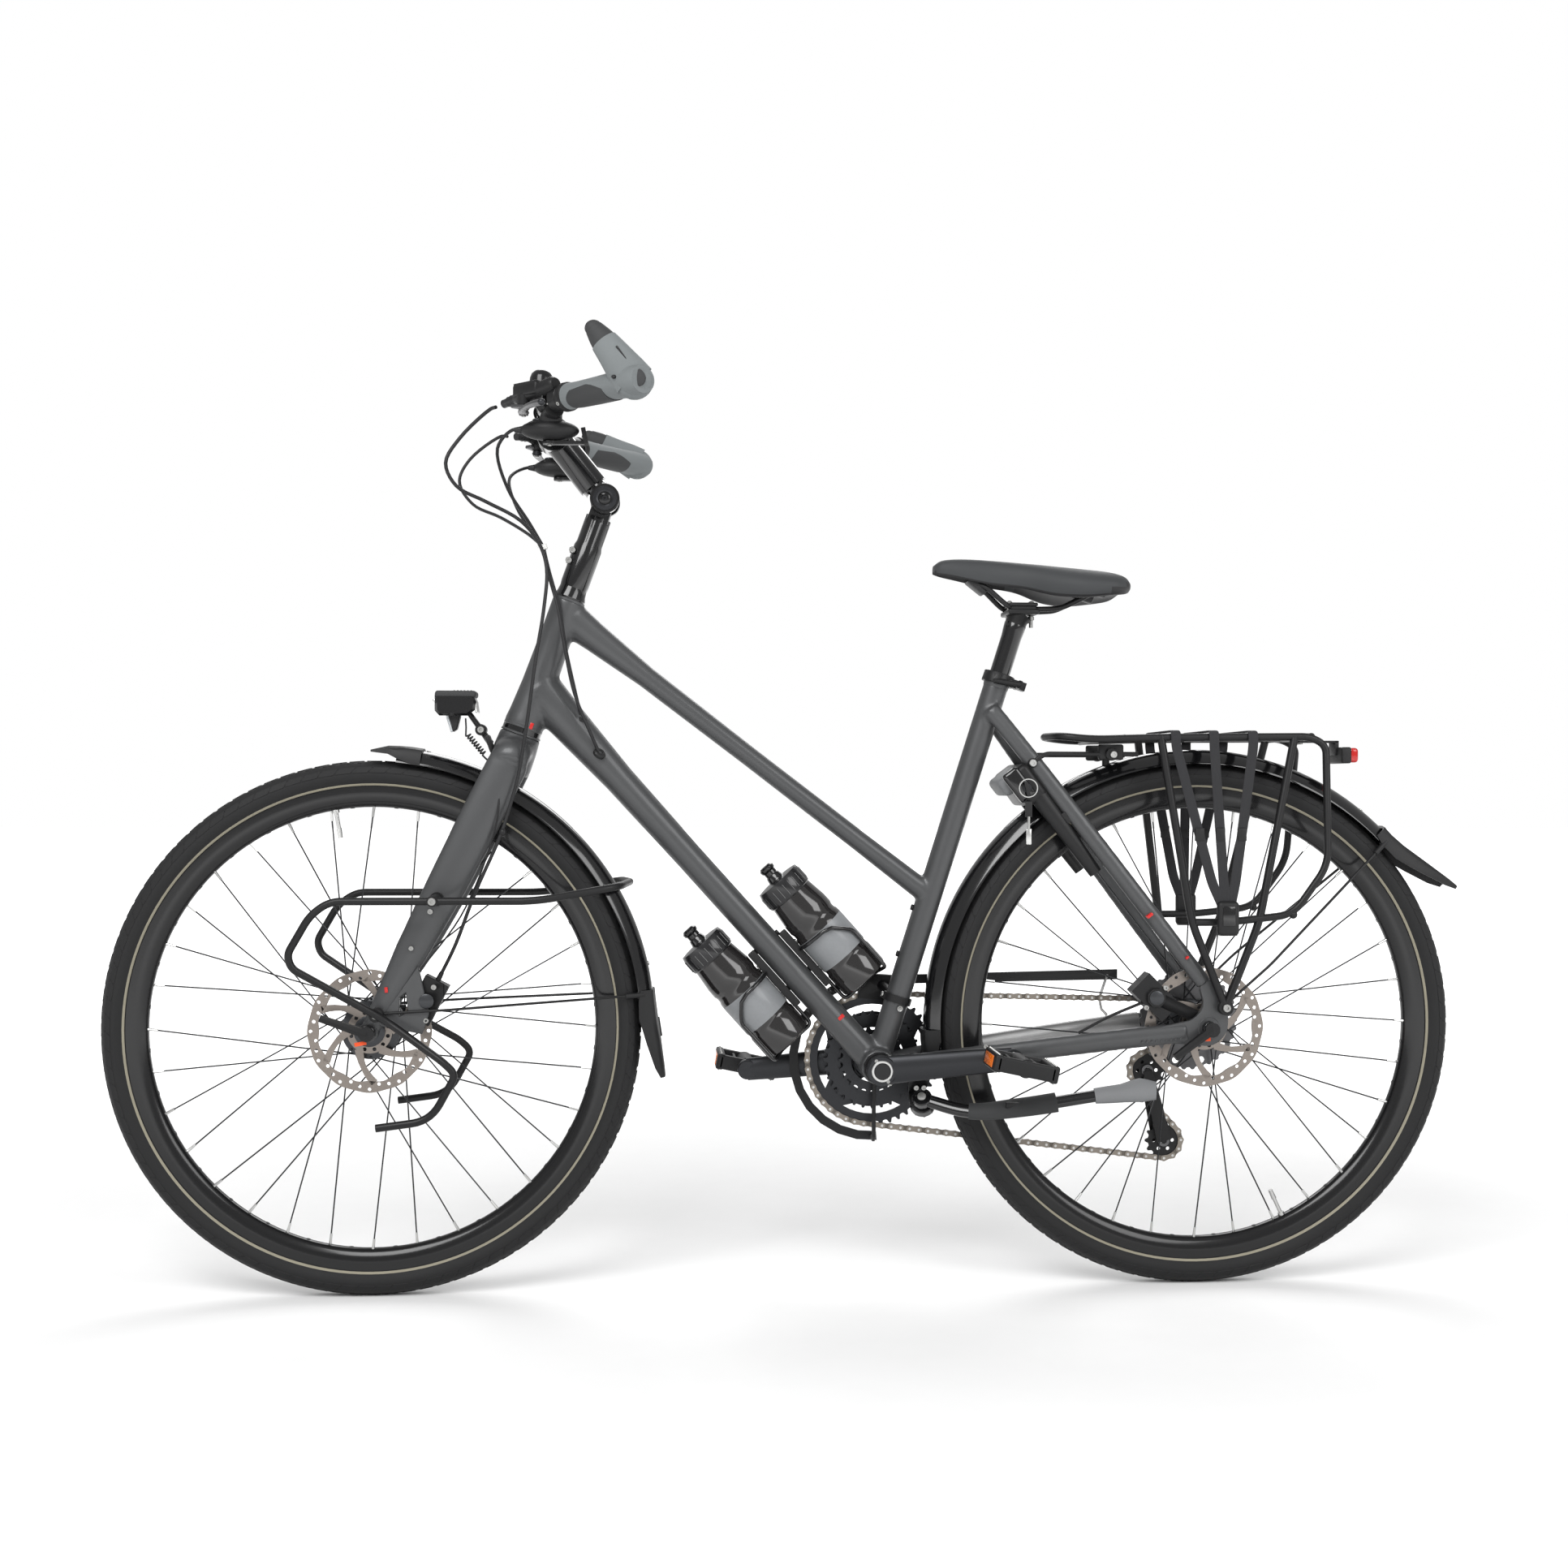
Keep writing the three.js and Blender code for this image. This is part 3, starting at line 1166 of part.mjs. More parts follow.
// Fork: steerer, crown, straight raked legs, dropout tabs and the brake mount
const legTop = (side) => head(crown.bottom + overrun).setY(side * forkLeg.topHalf);
const legEnd = (side) => frontAxle.clone().setY(side * (forkFace + forkLeg.tabThickness / 2));
const legAngle = Math.atan2(legTop(1).z - legEnd(1).z, legTop(1).x - legEnd(1).x) / degrees;
const legLine = lineFrom(frontAxle, legAngle);
const legY = (share) => legEnd(1).y + (legTop(1).y - legEnd(1).y) * share;
const legFootBolt = legLine(forkLeg.tabRadius * 2.1);
const discPlane = rotor.frontInset - frontHub.halfLength;
function makeFork() {
  const parts = [
    rod(head(crown.top - overrun), head(steerer.top), steerer.radius, { sides: 12 }),
    rod(
      head(crown.bottom + crown.halfDepth), head(crown.top), crown.halfDepth * 1.1,
      { endRadius: crown.topRadius, sides: 14 },
    ),
    limb(
      [
        head((crown.top + crown.bottom) / 2).setY(-crown.halfWidth),
        head((crown.top + crown.bottom) / 2).setY(crown.halfWidth),
      ],
      2, 10, blend(crown.halfDepth * 0.75, crown.halfDepth, crown.halfDepth * 0.75), blend(
        crown.halfDepth * 0.7, crown.halfDepth * 0.82, crown.halfDepth * 0.7,
      ), V(1, 0, 0),
    ),
  ];
  for (const side of [-1, 1]) {
    parts.push(
      limb(
        [legTop(side), legEnd(side)], 3, 8,
        blend(forkLeg.halfWidth, forkLeg.halfWidth, forkLeg.tabThickness / 2),
        blend(forkLeg.topDepth, forkLeg.topDepth * 0.92, forkLeg.midDepth, forkLeg.endDepth),
      ),
      disc(frontAxle, forkLeg.tabRadius, side * forkFace, side * (forkFace + forkLeg.tabThickness), 10),
    );
  }
  // Plate that carries the brake caliper behind the left leg
  const near = legLine(forkLeg.tabRadius, 0, -forkLeg.endDepth * 0.3);
  const far = legLine(caliper.height * 1.75, 0, -forkLeg.midDepth * 0.4);
  const mountOutline = [
    [near.x, near.z],
    [caliperPlace.x - caliper.length * 0.15, frontAxle.z - forkLeg.tabRadius * 0.2],
    [caliperPlace.x + caliper.length * 0.1, caliperPlace.z - caliper.height * 0.28],
    [far.x + forkLeg.midDepth * 0.4, far.z],
  ];
  const mountY = -forkFace - forkLeg.tabThickness / 2;
  parts.push(plate(mountOutline, forkLeg.tabThickness * 0.9, mountY));
  return cut(
    join(parts),
    disc(frontAxle, axle.radius + fit, -forkFace - forkLeg.topDepth, forkFace + forkLeg.topDepth, 8),
  );
}

// Brake calipers straddle the discs
const caliperPlace = V(rotor.radius * 0.93, 0, frontAxle.z + rotor.radius * 0.5);
const rearCaliperPlace = V(rearAxle.x - rotor.radius * 0.86, 0, rearAxle.z + rotor.radius * 0.5);
function caliperSolid(place, plane, angle, axleCentre) {
  const c = caliper;
  const body = block(V(place.x, plane, place.z), c.length, c.width, c.height, angle);
  const caps = [
    disc(
      place, c.pistonRadius, plane - c.width / 2 - c.pistonDepth, plane + c.width / 2 + c.pistonDepth * 0.4,
      8,
    ),
  ];
  const gapDisc = disc(axleCentre, rotor.radius + c.slot, plane - c.slot / 2, plane + c.slot / 2, 24);
  return cut(join(body, caps), gapDisc);
}
piece("fork", makeFork(), "frame");
const mountFace = -forkFace + forkLeg.tabThickness * 0.05 + fit;
piece(
  "front_caliper",
  cut(
    caliperSolid(caliperPlace, discPlane, legAngle - 90, frontAxle),
    block(
      V(
        frontAxle.x + rotor.radius * 0.6, mountFace - forkLeg.tabThickness, frontAxle.z + rotor.radius * 0.6
      ),
      rotor.radius * 1.2, 2 * forkLeg.tabThickness, rotor.radius * 1.6,
    ),
  ),
  "black",
);
const rearDiscPlane = rotor.rearInset - rearHub.halfLength;
function makeRearCaliper() {
  const body = caliperSolid(rearCaliperPlace, rearDiscPlane, 45, rearAxle);
  const hoseStart = V(
    rearCaliperPlace.x - caliper.length * 0.4, rearDiscPlane - caliper.width * 0.3,
    rearCaliperPlace.z - caliper.height * 0.1,
  );
  const adapter = limb(
    [
      V(rearCaliperPlace.x, -dropoutFace + fit + caliper.adapterThickness / 2, rearCaliperPlace.z),
      V(
        rearAxle.x - dropout.bossRadius, -dropoutFace + fit + caliper.adapterThickness / 2,
        rearAxle.z + dropout.bossRadius,
      ),
    ],
    1, 8, steady(caliper.adapterThickness / 2), steady(caliper.pistonDepth * 1.8),
  );
  const entry = V(
    bracket.x + chainstayLength * 0.6, -stay.clearHalf - stay.halfWidth * 2.3,
    bracket.z + bottomBracketDrop * 0.6 + stay.chainHeight + caliper.hoseRadius + fit,
  );
  const bend = entry.clone().lerp(hoseStart, 0.45);
  bend.z += caliper.hoseRadius;
  return join(body, adapter, cord([entry, bend, hoseStart], caliper.hoseRadius, 6));
}
piece(
  "rear_caliper",
  cut(
    makeRearCaliper(),
    limb(chainstay(-1), 5, 8, steady(stay.halfWidth + fit), steady(stay.chainHeight + fit)), dropoutBlank(),
  ),
  "black",
);
function dropoutBlank() {
  const outline = dropoutShares.map(
    ([x, z]) => [rearAxle.x + dropout.size * x * 1.03, rearAxle.z + dropout.size * z * 1.03]
  );
  return plate(outline, dropout.thickness + 2 * fit, -dropoutFace - dropout.thickness / 2);
}

// Mudguards: a curved blade over the tyre, wire stays and a flap
class WheelArc extends THREE.Curve {
  constructor(centre, radius, from, to) {
    super();
    Object.assign(this, { centre, radius, from, to });
  }
  getPoint(t) {
    const angle = (this.from + (this.to - this.from) * t) * degrees;
    return V(
      this.centre.x + this.radius * Math.cos(angle), this.centre.y,
      this.centre.z + this.radius * Math.sin(angle),
    );
  }
}
function bladeAlong(curve, steps, halfWidth, drop) {
  const m = mudguard;
  const shares = [[-1, 1], [-0.68, m.crownShare], [0.68, m.crownShare], [1, 1]];
  const inward = shares.map(([x, y]) => new THREE.Vector2(halfWidth * x, drop * y));
  const outward = shares.map(
    ([x, y]) => new THREE.Vector2((halfWidth - m.thickness * 0.3) * x, drop * y - m.thickness)
  ).reverse();
  const shape = new THREE.Shape([...inward, ...outward]);
  return solid(new THREE.ExtrudeGeometry(shape, { steps, extrudePath: curve, bevelEnabled: false }));
}
function makeMudguard(centre, size, seatY, bolt) {
  const m = mudguard;
  const radius = tyreRadius + m.clearance;
  const curve = new WheelArc(centre, radius, size.start, size.end);
  const blade = bladeAlong(curve, 10, m.halfWidth, m.drop);
  const flapStart = lineFrom(centre, size.end)(radius - m.drop * m.crownShare);
  const tangent = size.end - 90;
  const flapEnd = lineFrom(flapStart, tangent + m.flapFlare)(m.flapLength, 0, 0);
  const flap = limb(
    [lineFrom(flapStart, tangent)(-m.flapLength * 0.25, 0, 0), flapEnd], 2, 6,
    blend(m.halfWidth * 0.9, m.flapHalf, m.flapHalf * 0.8), steady(m.thickness * 1.6),
  );
  const anchor = lineFrom(centre, size.stayAngle);
  const stays = [-1, 1].map((side) => {
    const eye = V(bolt.x, side * (seatY + m.stayRadius), bolt.z);
    const end = anchor(radius - m.drop * 0.6, side * (m.halfWidth - m.thickness * 0.8), 0);
    const straight = eye.clone().lerp(end, 0.1).setY(eye.y);
    const bow = eye.clone().lerp(end, 0.26).setY(eye.y + side * m.bow);
    return join(
      wire([eye, straight, bow, end], m.stayRadius, { bend: 3 * m.stayRadius, sides: 4, bendSteps: 1 }),
      disc(eye, m.eyeRadius, side * seatY, side * (seatY + 2 * m.stayRadius), 6),
    );
  });
  return join(blade, flap, stays);
}
piece(
  "front_fender",
  join(
    makeMudguard(frontAxle, frontGuard, forkFace + forkLeg.tabThickness + fit, legFootBolt),
    // Tab that bolts the blade under the crown
    rod(
      lineFrom(frontAxle, 64)(tyreRadius + mudguard.clearance - mudguard.drop * 0.4),
      head(crown.bottom - crown.halfDepth * 0.2), mudguard.stayRadius * 2, { sides: 4 },
    ),
  ),
  "gloss",
);
piece(
  "rear_fender",
  cut(join(
    makeMudguard(rearAxle, rearGuard, dropoutFace + dropout.thickness + fit, rackBolt),
    rod(
      lineFrom(rearAxle, rearGuard.start - 3)(tyreRadius + mudguard.clearance - mudguard.drop * 0.4),
      chainBridge.clone().add(V(stay.bridgeRadius + fit, 0, 0)), mudguard.stayRadius * 2, { sides: 4 },
    ),
    rod(
      lineFrom(rearAxle, 116)(
        tyreRadius + mudguard.clearance - mudguard.drop * 0.4
      ), rackFoot(), mudguard.stayRadius * 2, { sides: 4 },
    ),
  ), rod(
    chainBridge.clone().setY(-stay.clearHalf), chainBridge.clone().setY(stay.clearHalf),
    stay.bridgeRadius + 2 * fit, { sides: 8 },
  )),
  "gloss",
);
function rackFoot() {
  return V(rearAxle.x - wheelbase * 0.13, 0, rearAxle.z + rack.deckHeight - rack.tubeRadius * 2 - fit);
}

// Rear rack: rails that turn down into side hoops, legs, cross bars and front stay
const deckZ = rearAxle.z + rack.deckHeight;
const backBarShare = 0.13;
const railShares = [[-0.178, 0.0], [-0.14, -0.012], [-0.045, -0.004], [0.128, 0.0], [0.148, -0.03]];
const hoopShares = [[0.143, -0.44], [0.1, -0.61], [0.02, -0.635], [-0.02, -0.635]];
const rackX = (share) => rearAxle.x + wheelbase * share;
const rackZ = (share) => deckZ + rack.deckHeight * share;
function makeRack() {
  const r = rack;
  const parts = [];
  const hoopLow = hoopShares[3];
  for (const side of [-1, 1]) {
    const rail = railShares.map(([x, z]) => V(rackX(x), side * r.halfWidth, rackZ(z)));
    rail.unshift(V(rackX(railShares[0][0]) - r.bend * 0.4, 0, rackZ(railShares[0][1])));
    rail[1].y = side * r.halfWidth * 0.85;
    const hoop = hoopShares.map(([x, z]) => V(rackX(x), side * r.sideHalf, rackZ(z)));
    parts.push(wire([...rail, ...hoop], r.tubeRadius, { bend: r.bend, sides: 5, bendSteps: 1 }));
    for (const topShare of [-0.056, 0.109]) {
      const top = V(rackX(topShare), side * r.halfWidth, deckZ);
      const knee = V(rackX(topShare * 0.5) + r.bend * 0.2, side * r.sideHalf, rackZ(hoopLow[1]));
      const foot = V(rackBolt.x, side * r.footHalf, rackBolt.z);
      parts.push(wire([top, knee, foot], r.legRadius, { bend: r.bend, sides: 4, bendSteps: 1 }));
    }
    parts.push(
      disc(
        rackBolt, r.legRadius * 1.8, side * (r.footHalf - r.legRadius),
        side * (r.footHalf + r.legRadius * 0.8), 6,
      )
    );
  }
  for (let i = 0; i < r.crossCount; i++) {
    const x = rackX(-0.1 + (0.21 * i) / (r.crossCount - 1));
    parts.push(
      rod(
        V(x, -r.halfWidth, deckZ - r.tubeRadius * 0.4), V(x, r.halfWidth, deckZ - r.tubeRadius * 0.4),
        r.tubeRadius * 0.8, { sides: 4 },
      )
    );
  }
  parts.push(
    rod(
      V(rackX(-0.13), 0, deckZ - r.tubeRadius * 0.6), V(rackX(0.125), 0, deckZ - r.tubeRadius * 0.6),
      r.tubeRadius, { sides: 4 },
    )
  );
  parts.push(
    rod(
      V(rackX(backBarShare), -r.halfWidth, deckZ), V(rackX(backBarShare), r.halfWidth, deckZ), r.tubeRadius,
      { sides: 4 },
    )
  );
  parts.push(
    rod(
      V(rackX(-0.13), -r.halfWidth, deckZ - r.tubeRadius),
      V(rackX(-0.13), r.halfWidth, deckZ - r.tubeRadius), r.tubeRadius, { sides: 4 },
    )
  );
  // Two flat stays from the front bracket to the seat stays
  for (const side of [-1, 1]) {
    const clampAt = seatstay(side)[0].clone().lerp(seatstay(side)[4], bridgeShare * 0.78);
    clampAt.y = side * (seatTube.radius + stay.halfWidth * 2.2);
    const inFront = V(rackX(-0.129), side * r.halfWidth * 0.5, deckZ - r.tubeRadius * 1.3);
    parts.push(
      wire(
        [clampAt.clone().add(V(stay.seatHeight + r.boltRadius, 0, stay.seatHeight)), inFront],
        r.boltRadius * 0.7, { sides: 4 },
      )
    );
  }
  return join(parts);
}
piece("rear_rack", makeRack(), "black");

// Three elastic straps over the deck, joined by a clip on each side
function makeStraps() {
  const s = strap;
  const out = rack.tubeRadius + fit + s.thickness / 2;
  const clip = (side) => V(
    rackX(0.016), side * (rack.sideHalf + rack.legRadius + fit + s.clipThickness), rackZ(-0.62),
  );
  const bands = [-0.039, 0.008, 0.056].map((share) => {
    const points = [
      clip(-1),
      V(rackX(share * 0.3 + 0.01), -rack.sideHalf - out - s.thickness, rackZ(-0.5)),
      V(rackX(share), -rack.halfWidth - out - fit, deckZ - 2 * out),
      V(rackX(share), -rack.halfWidth - out - fit, deckZ + out + fit),
      V(rackX(share), rack.halfWidth + out + fit, deckZ + out + fit),
      V(rackX(share), rack.halfWidth + out + fit, deckZ - 2 * out),
      V(rackX(share * 0.3 + 0.01), rack.sideHalf + out + s.thickness, rackZ(-0.5)),
      clip(1),
    ];
    const path = new BentPath(points, 0, 1);
    const flat = new THREE.Shape(
      [[-1, -1], [1, -1], [1, 1], [-1, 1]].map(
        ([x, y]) => new THREE.Vector2((x * s.width) / 2, (y * s.thickness) / 2)
      ),
    );
    return path.steps ? strapAlong(path, flat) : null;
  });
  const clips = [-1, 1].map((side) => block(clip(side), s.clipWidth, s.clipThickness, s.clipLength));
  return join(bands, clips);
}
function strapAlong(path, flat) {
  // The strap's width keeps along the bicycle all the way round
  const points = path.stops;
  const shape = new THREE.CylinderGeometry(1, 1, 1, 4, points.length - 1);
  const place = shape.getAttribute("position");
  const corners = flat.getPoints();
  for (let i = 0; i < place.count; i++) {
    const k = Math.round((place.getY(i) + 0.5) * (points.length - 1));
    const centreVertex = Math.hypot(place.getX(i), place.getZ(i)) < 0.5;
    const turn = Math.round((Math.atan2(place.getX(i), place.getZ(i)) / (Math.PI / 2) + 4) % 4) % 4;
    const corner = centreVertex ? { x: 0, y: 0 } : corners[turn];
    const tangent = path.getTangentAt(k / path.steps);
    const wide = V(1, 0, 0).addScaledVector(tangent, -tangent.x).normalize();
    const thick = tangent.clone().cross(wide);
    const point = points[k].clone().addScaledVector(wide, corner.x).addScaledVector(thick, corner.y);
    place.setXYZ(i, point.x, point.y, point.z);
  }
  return solid(shape);
}
piece("rack_straps", makeStraps(), "black");

// Tail lamp: its bracket is bolted under the rack's back bar
function makeTailLamp() {
  const t = tailLamp;
  const front = rearAxle.x + t.behind;
  const middle = rearAxle.z + t.rise;
  const plateTop = deckZ - rack.tubeRadius * Math.cos(Math.PI / 4) - fit;
  const plateStart = rackX(backBarShare) - rack.tubeRadius * 0.6;
  const plateEnd = front + t.plateThickness;
  return join(
    block(V(front + t.length / 2, 0, middle), t.length, t.width, t.height),
    block(
      V((plateStart + plateEnd) / 2, 0, plateTop - t.plateThickness / 2),
      plateEnd - plateStart, t.plateWidth, t.plateThickness,
    ),
    block(V(front, 0, (middle + plateTop) / 2), 2 * t.plateThickness, t.plateWidth, plateTop - middle),
  );
}
piece("tail_light", makeTailLamp(), "red");

// Ring lock: a horseshoe round tyre and mudguard, fixed in front of the seat stays
function makeRingLock() {
  const l = lock;
  const stayTop = seatstay(1)[0].clone().setY(0);
  const stayEnd = seatstay(1)[4].clone().setY(0);
  const angle = Math.atan2(stayEnd.z - stayTop.z, stayEnd.x - stayTop.x) / degrees;
  const line = lineFrom(stayTop.clone().lerp(stayEnd, bridgeShare), angle);
  const setBack = -(stay.seatHeight * Math.cos(Math.PI / 8) + l.depth / 2 + fit);
  const parts = [
    block(
      line(0, 0, setBack - (l.bodyDepth - l.depth) / 2), l.bodyLength, 2 * l.halfWidth + l.section,
      l.bodyDepth, angle,
    )
  ];
  for (const side of [-1, 1]) {
    const middle = line(l.armLength / 2, side * l.halfWidth, setBack);
    parts.push(block(middle, l.armLength, l.section, l.depth, angle));
  }
  return cut(
    join(parts),
    [-1, 1].map(
      (side) => limb(seatstay(side), 5, 8, steady(stay.halfWidth + fit), steady(stay.seatHeight + fit))
    ),
  );
}
piece("ring_lock", makeRingLock(), "black");

// Lowrider rack: one bent tube a side, a hoop behind the wheel, clamps to the legs
const lowRailZ = frontAxle.z + tyreRadius * 0.49;
const lowSideShares = [
  [0.92, 0.54], [0.62, 0.49], [-0.115, 0.49], [-0.185, 0.44], [-0.265, 0.3], [-0.25, 0.25],
  [0.07, 0.05], [0.29, -0.09], [0.335, -0.135], [0.245, -0.3], [0.05, -0.325],
];
function makeLowrider() {
  const l = lowrider;
  const parts = [];
  for (const side of [-1, 1]) {
    const points = lowSideShares.map(([x, z], i) =>
      V(tyreRadius * x, side * (i === 6 ? l.footHalf : l.halfWidth), frontAxle.z + tyreRadius * z),
    );
    points.unshift(V(tyreRadius * 0.955, 0, frontAxle.z + tyreRadius * 0.545));
    points[1].y = side * l.halfWidth * 0.8;
    parts.push(wire(points, l.tubeRadius, { bend: l.bend, sides: 5, bendSteps: 1 }));
    const legAt = legLine((lowRailZ - frontAxle.z) / Math.sin(legAngle * degrees));
    const share = (lowRailZ - frontAxle.z) / (legTop(1).z - frontAxle.z);
    const face = legY(share) + forkLeg.halfWidth + fit;
    parts.push(
      disc(
        V(legAt.x, 0, lowRailZ), l.bracketRadius, side * face, side * (l.halfWidth + l.tubeRadius * 1.5), 6,
      )
    );
    const foot = points[7];
    const footFace = forkFace + forkLeg.tabThickness + 2 * fit + 2 * mudguard.stayRadius;
    parts.push(
      disc(legFootBolt, l.bracketRadius * 0.9, side * footFace, side * (l.footHalf + l.tubeRadius * 0.6), 6)
    );
    parts.push(
      rod(V(legFootBolt.x, side * l.footHalf, legFootBolt.z), foot, l.tubeRadius * 0.9, { sides: 4 })
    );
  }
  return join(parts);
}
piece("lowrider_rack", makeLowrider(), "black");

// Head lamp on an arm from the crown
function makeHeadlamp() {
  const h = headlamp;
  const foot = head((crown.top + crown.bottom) / 2, 0, crown.halfDepth + h.armRadius + fit);
  const centre = V(foot.x - h.reach * 0.75, 0, foot.z + h.rise * 1.1);
  const c = h.chamfer;
  const x = h.length / 2;
  const z = h.height / 2;
  const outline = [
    [-x, -z + c], [-x + c, -z], [x - c, -z], [x, -z + c], [x, z - c], [x - c, z], [-x + c, z], [-x, z - c],
  ];
  const body = plate(outline.map(([a, b]) => [centre.x + a, centre.z + b]), h.width, 0);
  const elbow = V(foot.x - h.reach * 0.2, 0, foot.z + h.rise * 0.4);
  return join(
    body,
    wire(
      [V(centre.x + x * 0.5, 0, centre.z), elbow, foot], h.armRadius,
      { bend: h.armRadius * 2, sides: 6, bendSteps: 1 },
    ),
    disc(elbow, h.armRadius * 1.5, -h.armRadius * 2, h.armRadius * 2, 8),
  );
}
piece("headlight", makeHeadlamp(), "black");

// Stem: a lower part on the steerer and an arm that tilts on its knuckle
const pivot = head(stem.pivot);
const armLine = lineFrom(pivot, stem.armAngle);
const barCentre = armLine(stem.armLength);
function makeStemLower() {
  const neck = stem.pivot - stemKnuckle.neckGap;
  return cut(
    join(
      rod(
        head(headTube.top + fit), head(headTube.top + stem.lowerRadius), headTube.topRadius,
        { endRadius: stem.lowerRadius * 1.1, sides: 12 },
      ),
      rod(head(headTube.top + stem.lowerRadius * 0.8), head(neck), stem.lowerRadius * 1.08, { sides: 12 }),
      block(
        head((neck + stem.pivot) / 2 - overrun), stemKnuckle.neckGap + 2 * overrun,
        2 * stemKnuckle.halfWidth, 1.6 * stemKnuckle.radius, headAngle,
      ),
      disc(pivot, stemKnuckle.radius, -stemKnuckle.halfWidth, stemKnuckle.halfWidth, 12),
      [0.3, 0.75].map((share) => {
        const place = steerer.top - stem.lowerRadius * 2 * share;
        return rod(
          head(place, -stem.lowerRadius * 0.8, stem.lowerRadius * 1.1),
          head(place, stem.lowerRadius * 0.8, stem.lowerRadius * 1.1), stemKnuckle.pinRadius, { sides: 4 },
        );
      }),
    ),
    rod(head(headTube.top - overrun), head(steerer.top + fit), steerer.radius + fit, { sides: 12 }),
    disc(pivot, boreFor(stemKnuckle.pinRadius, 8), -stem.cheekHalf, stem.cheekHalf, 8),
  );
}
piece("stem_lower", makeStemLower(), "gloss");
function makeStemUpper() {
  const room = stemKnuckle.neckGap - 2 * fit;
  const slotted = cut(
    join(
      limb(
        [pivot, armLine(stem.armLength)], 2, 10,
        blend(stem.armRadius, stem.armRadius, stem.armRadius * 1.2),
        blend(stem.armRadius, stem.armRadius * 0.9, stem.armRadius),
      ),
      disc(pivot, stem.cheekRadius, -stem.cheekHalf, stem.cheekHalf, 12),
      disc(barCentre, stemKnuckle.clampRadius, -stemKnuckle.clampHalf, stemKnuckle.clampHalf, 12),
    ),
    disc(pivot, room, -stemKnuckle.halfWidth - fit, stemKnuckle.halfWidth + fit, 12),
    disc(
      barCentre, bar.clampRadius + fit, -stemKnuckle.clampHalf - overrun, stemKnuckle.clampHalf + overrun,
      12,
    ),
  );
  return join(slotted, disc(pivot, stemKnuckle.pinRadius, -stem.cheekHalf, stem.cheekHalf, 8));
}
piece("stem_upper", makeStemUpper(), "gloss");

// Handlebar: clamped in the middle, rising to a knee, then swept straight back to each end
const barAt = (side, back, out, up) => barCentre.clone().add(V(back, side * out, up));
const barKnee = (side) => barAt(side, -bar.kneeBack, bar.kneeHalf, bar.kneeRise);
const barEnd = (side) => barAt(side, bar.sweep, bar.halfWidth, bar.rise);
function onSweep(side, fromEnd) {
  const way = barKnee(side).sub(barEnd(side)).normalize();
  return barEnd(side).addScaledVector(way, fromEnd);
}
const barTube = (radius) =>
  wire(
    [
      barEnd(-1), barKnee(-1), barAt(-1, 0, bar.straightHalf, 0), barAt(1, 0, bar.straightHalf, 0),
      barKnee(1), barEnd(1),
    ],
    radius, { bend: bar.bend, sides: 8, bendSteps: 2 },
  );
piece(
  "handlebar",
  join(
    barTube(bar.radius),
    rod(barAt(-1, 0, bar.clampHalf, 0), barAt(1, 0, bar.clampHalf, 0), bar.clampRadius, { sides: 12 }),
  ),
  "gloss",
);

// Hollow that clears the bar's tube
const barBore = (bar.radius + fit) / Math.cos(Math.PI / 8);

// Grips: shaped for the palm, with a horn at the outer end
function makeGrip(side, hornAngle) {
  const g = grip;
  const inner = onSweep(side, g.length);
  const outer = onSweep(side, -g.endRadius * 0.25);
  const body = limb(
    [inner, outer], 4, 8,
    blend(
      g.collarRadius, g.radius, g.palmRadius, g.palmRadius * 1.1, g.endRadius,
    ), blend(g.collarRadius, g.radius, g.radius, g.radius * 1.1, g.endRadius * 0.9), V(1, 0, 0),
  );
  const hornBase = onSweep(side, g.endRadius * 0.55);
  const reach = lineFrom(hornBase, hornAngle)(g.hornLength, 0, 0);
  const horn = limb(
    [hornBase, hornBase.clone().lerp(reach, 0.45), reach.add(V(0, -side * g.hornTip, 0))], 3, 6,
    blend(g.endRadius * 0.7, g.hornRadius, g.hornTip, g.hornTip * 0.6), blend(
      g.endRadius, g.hornRadius * 1.2, g.hornRadius, g.hornTip * 0.7,
    ),
  );
  const bore = rod(onSweep(side, g.length + overrun), onSweep(side, -fit), barBore, { sides: 8 });
  return cut(join(body, horn), bore);
}
const hornAngles = { left: 127, right: 152 };
piece("left_grip", makeGrip(-1, hornAngles.left), "grip");
piece("right_grip", makeGrip(1, hornAngles.right), "grip");

// Brake and shift units: a brake clamp with master cylinder and tank, a shifter pod below
const brakeSpot = (side) => onSweep(side, grip.length + control.brakeInset);
const shiftSpot = (side) => onSweep(side, grip.length + control.shiftInset);
const sweepWay = (side) => barEnd(side).sub(barKnee(side)).normalize();
const ringOn = (side, spot, half, outer) =>
  rod(
    spot.clone().addScaledVector(sweepWay(side), -half), spot.clone().addScaledVector(sweepWay(side), half),
    outer, { sides: 6 },
  );
const masterStart = (side) => brakeSpot(side).add(
  V(-bar.radius * 0.6, side * bar.radius * 0.5, bar.radius + master.radius * 0.5)
);
const masterEnd = (side) => barAt(side, -bar.sweep * 0.61, bar.halfWidth * 0.335, bar.rise * 1.3);
const leverPivot = (side) => barAt(side, -blade.ahead, blade.out, blade.rise);
const podCentre = (side) => shiftSpot(side).add(V(-pod.lead, -side * pod.inset, -pod.drop));
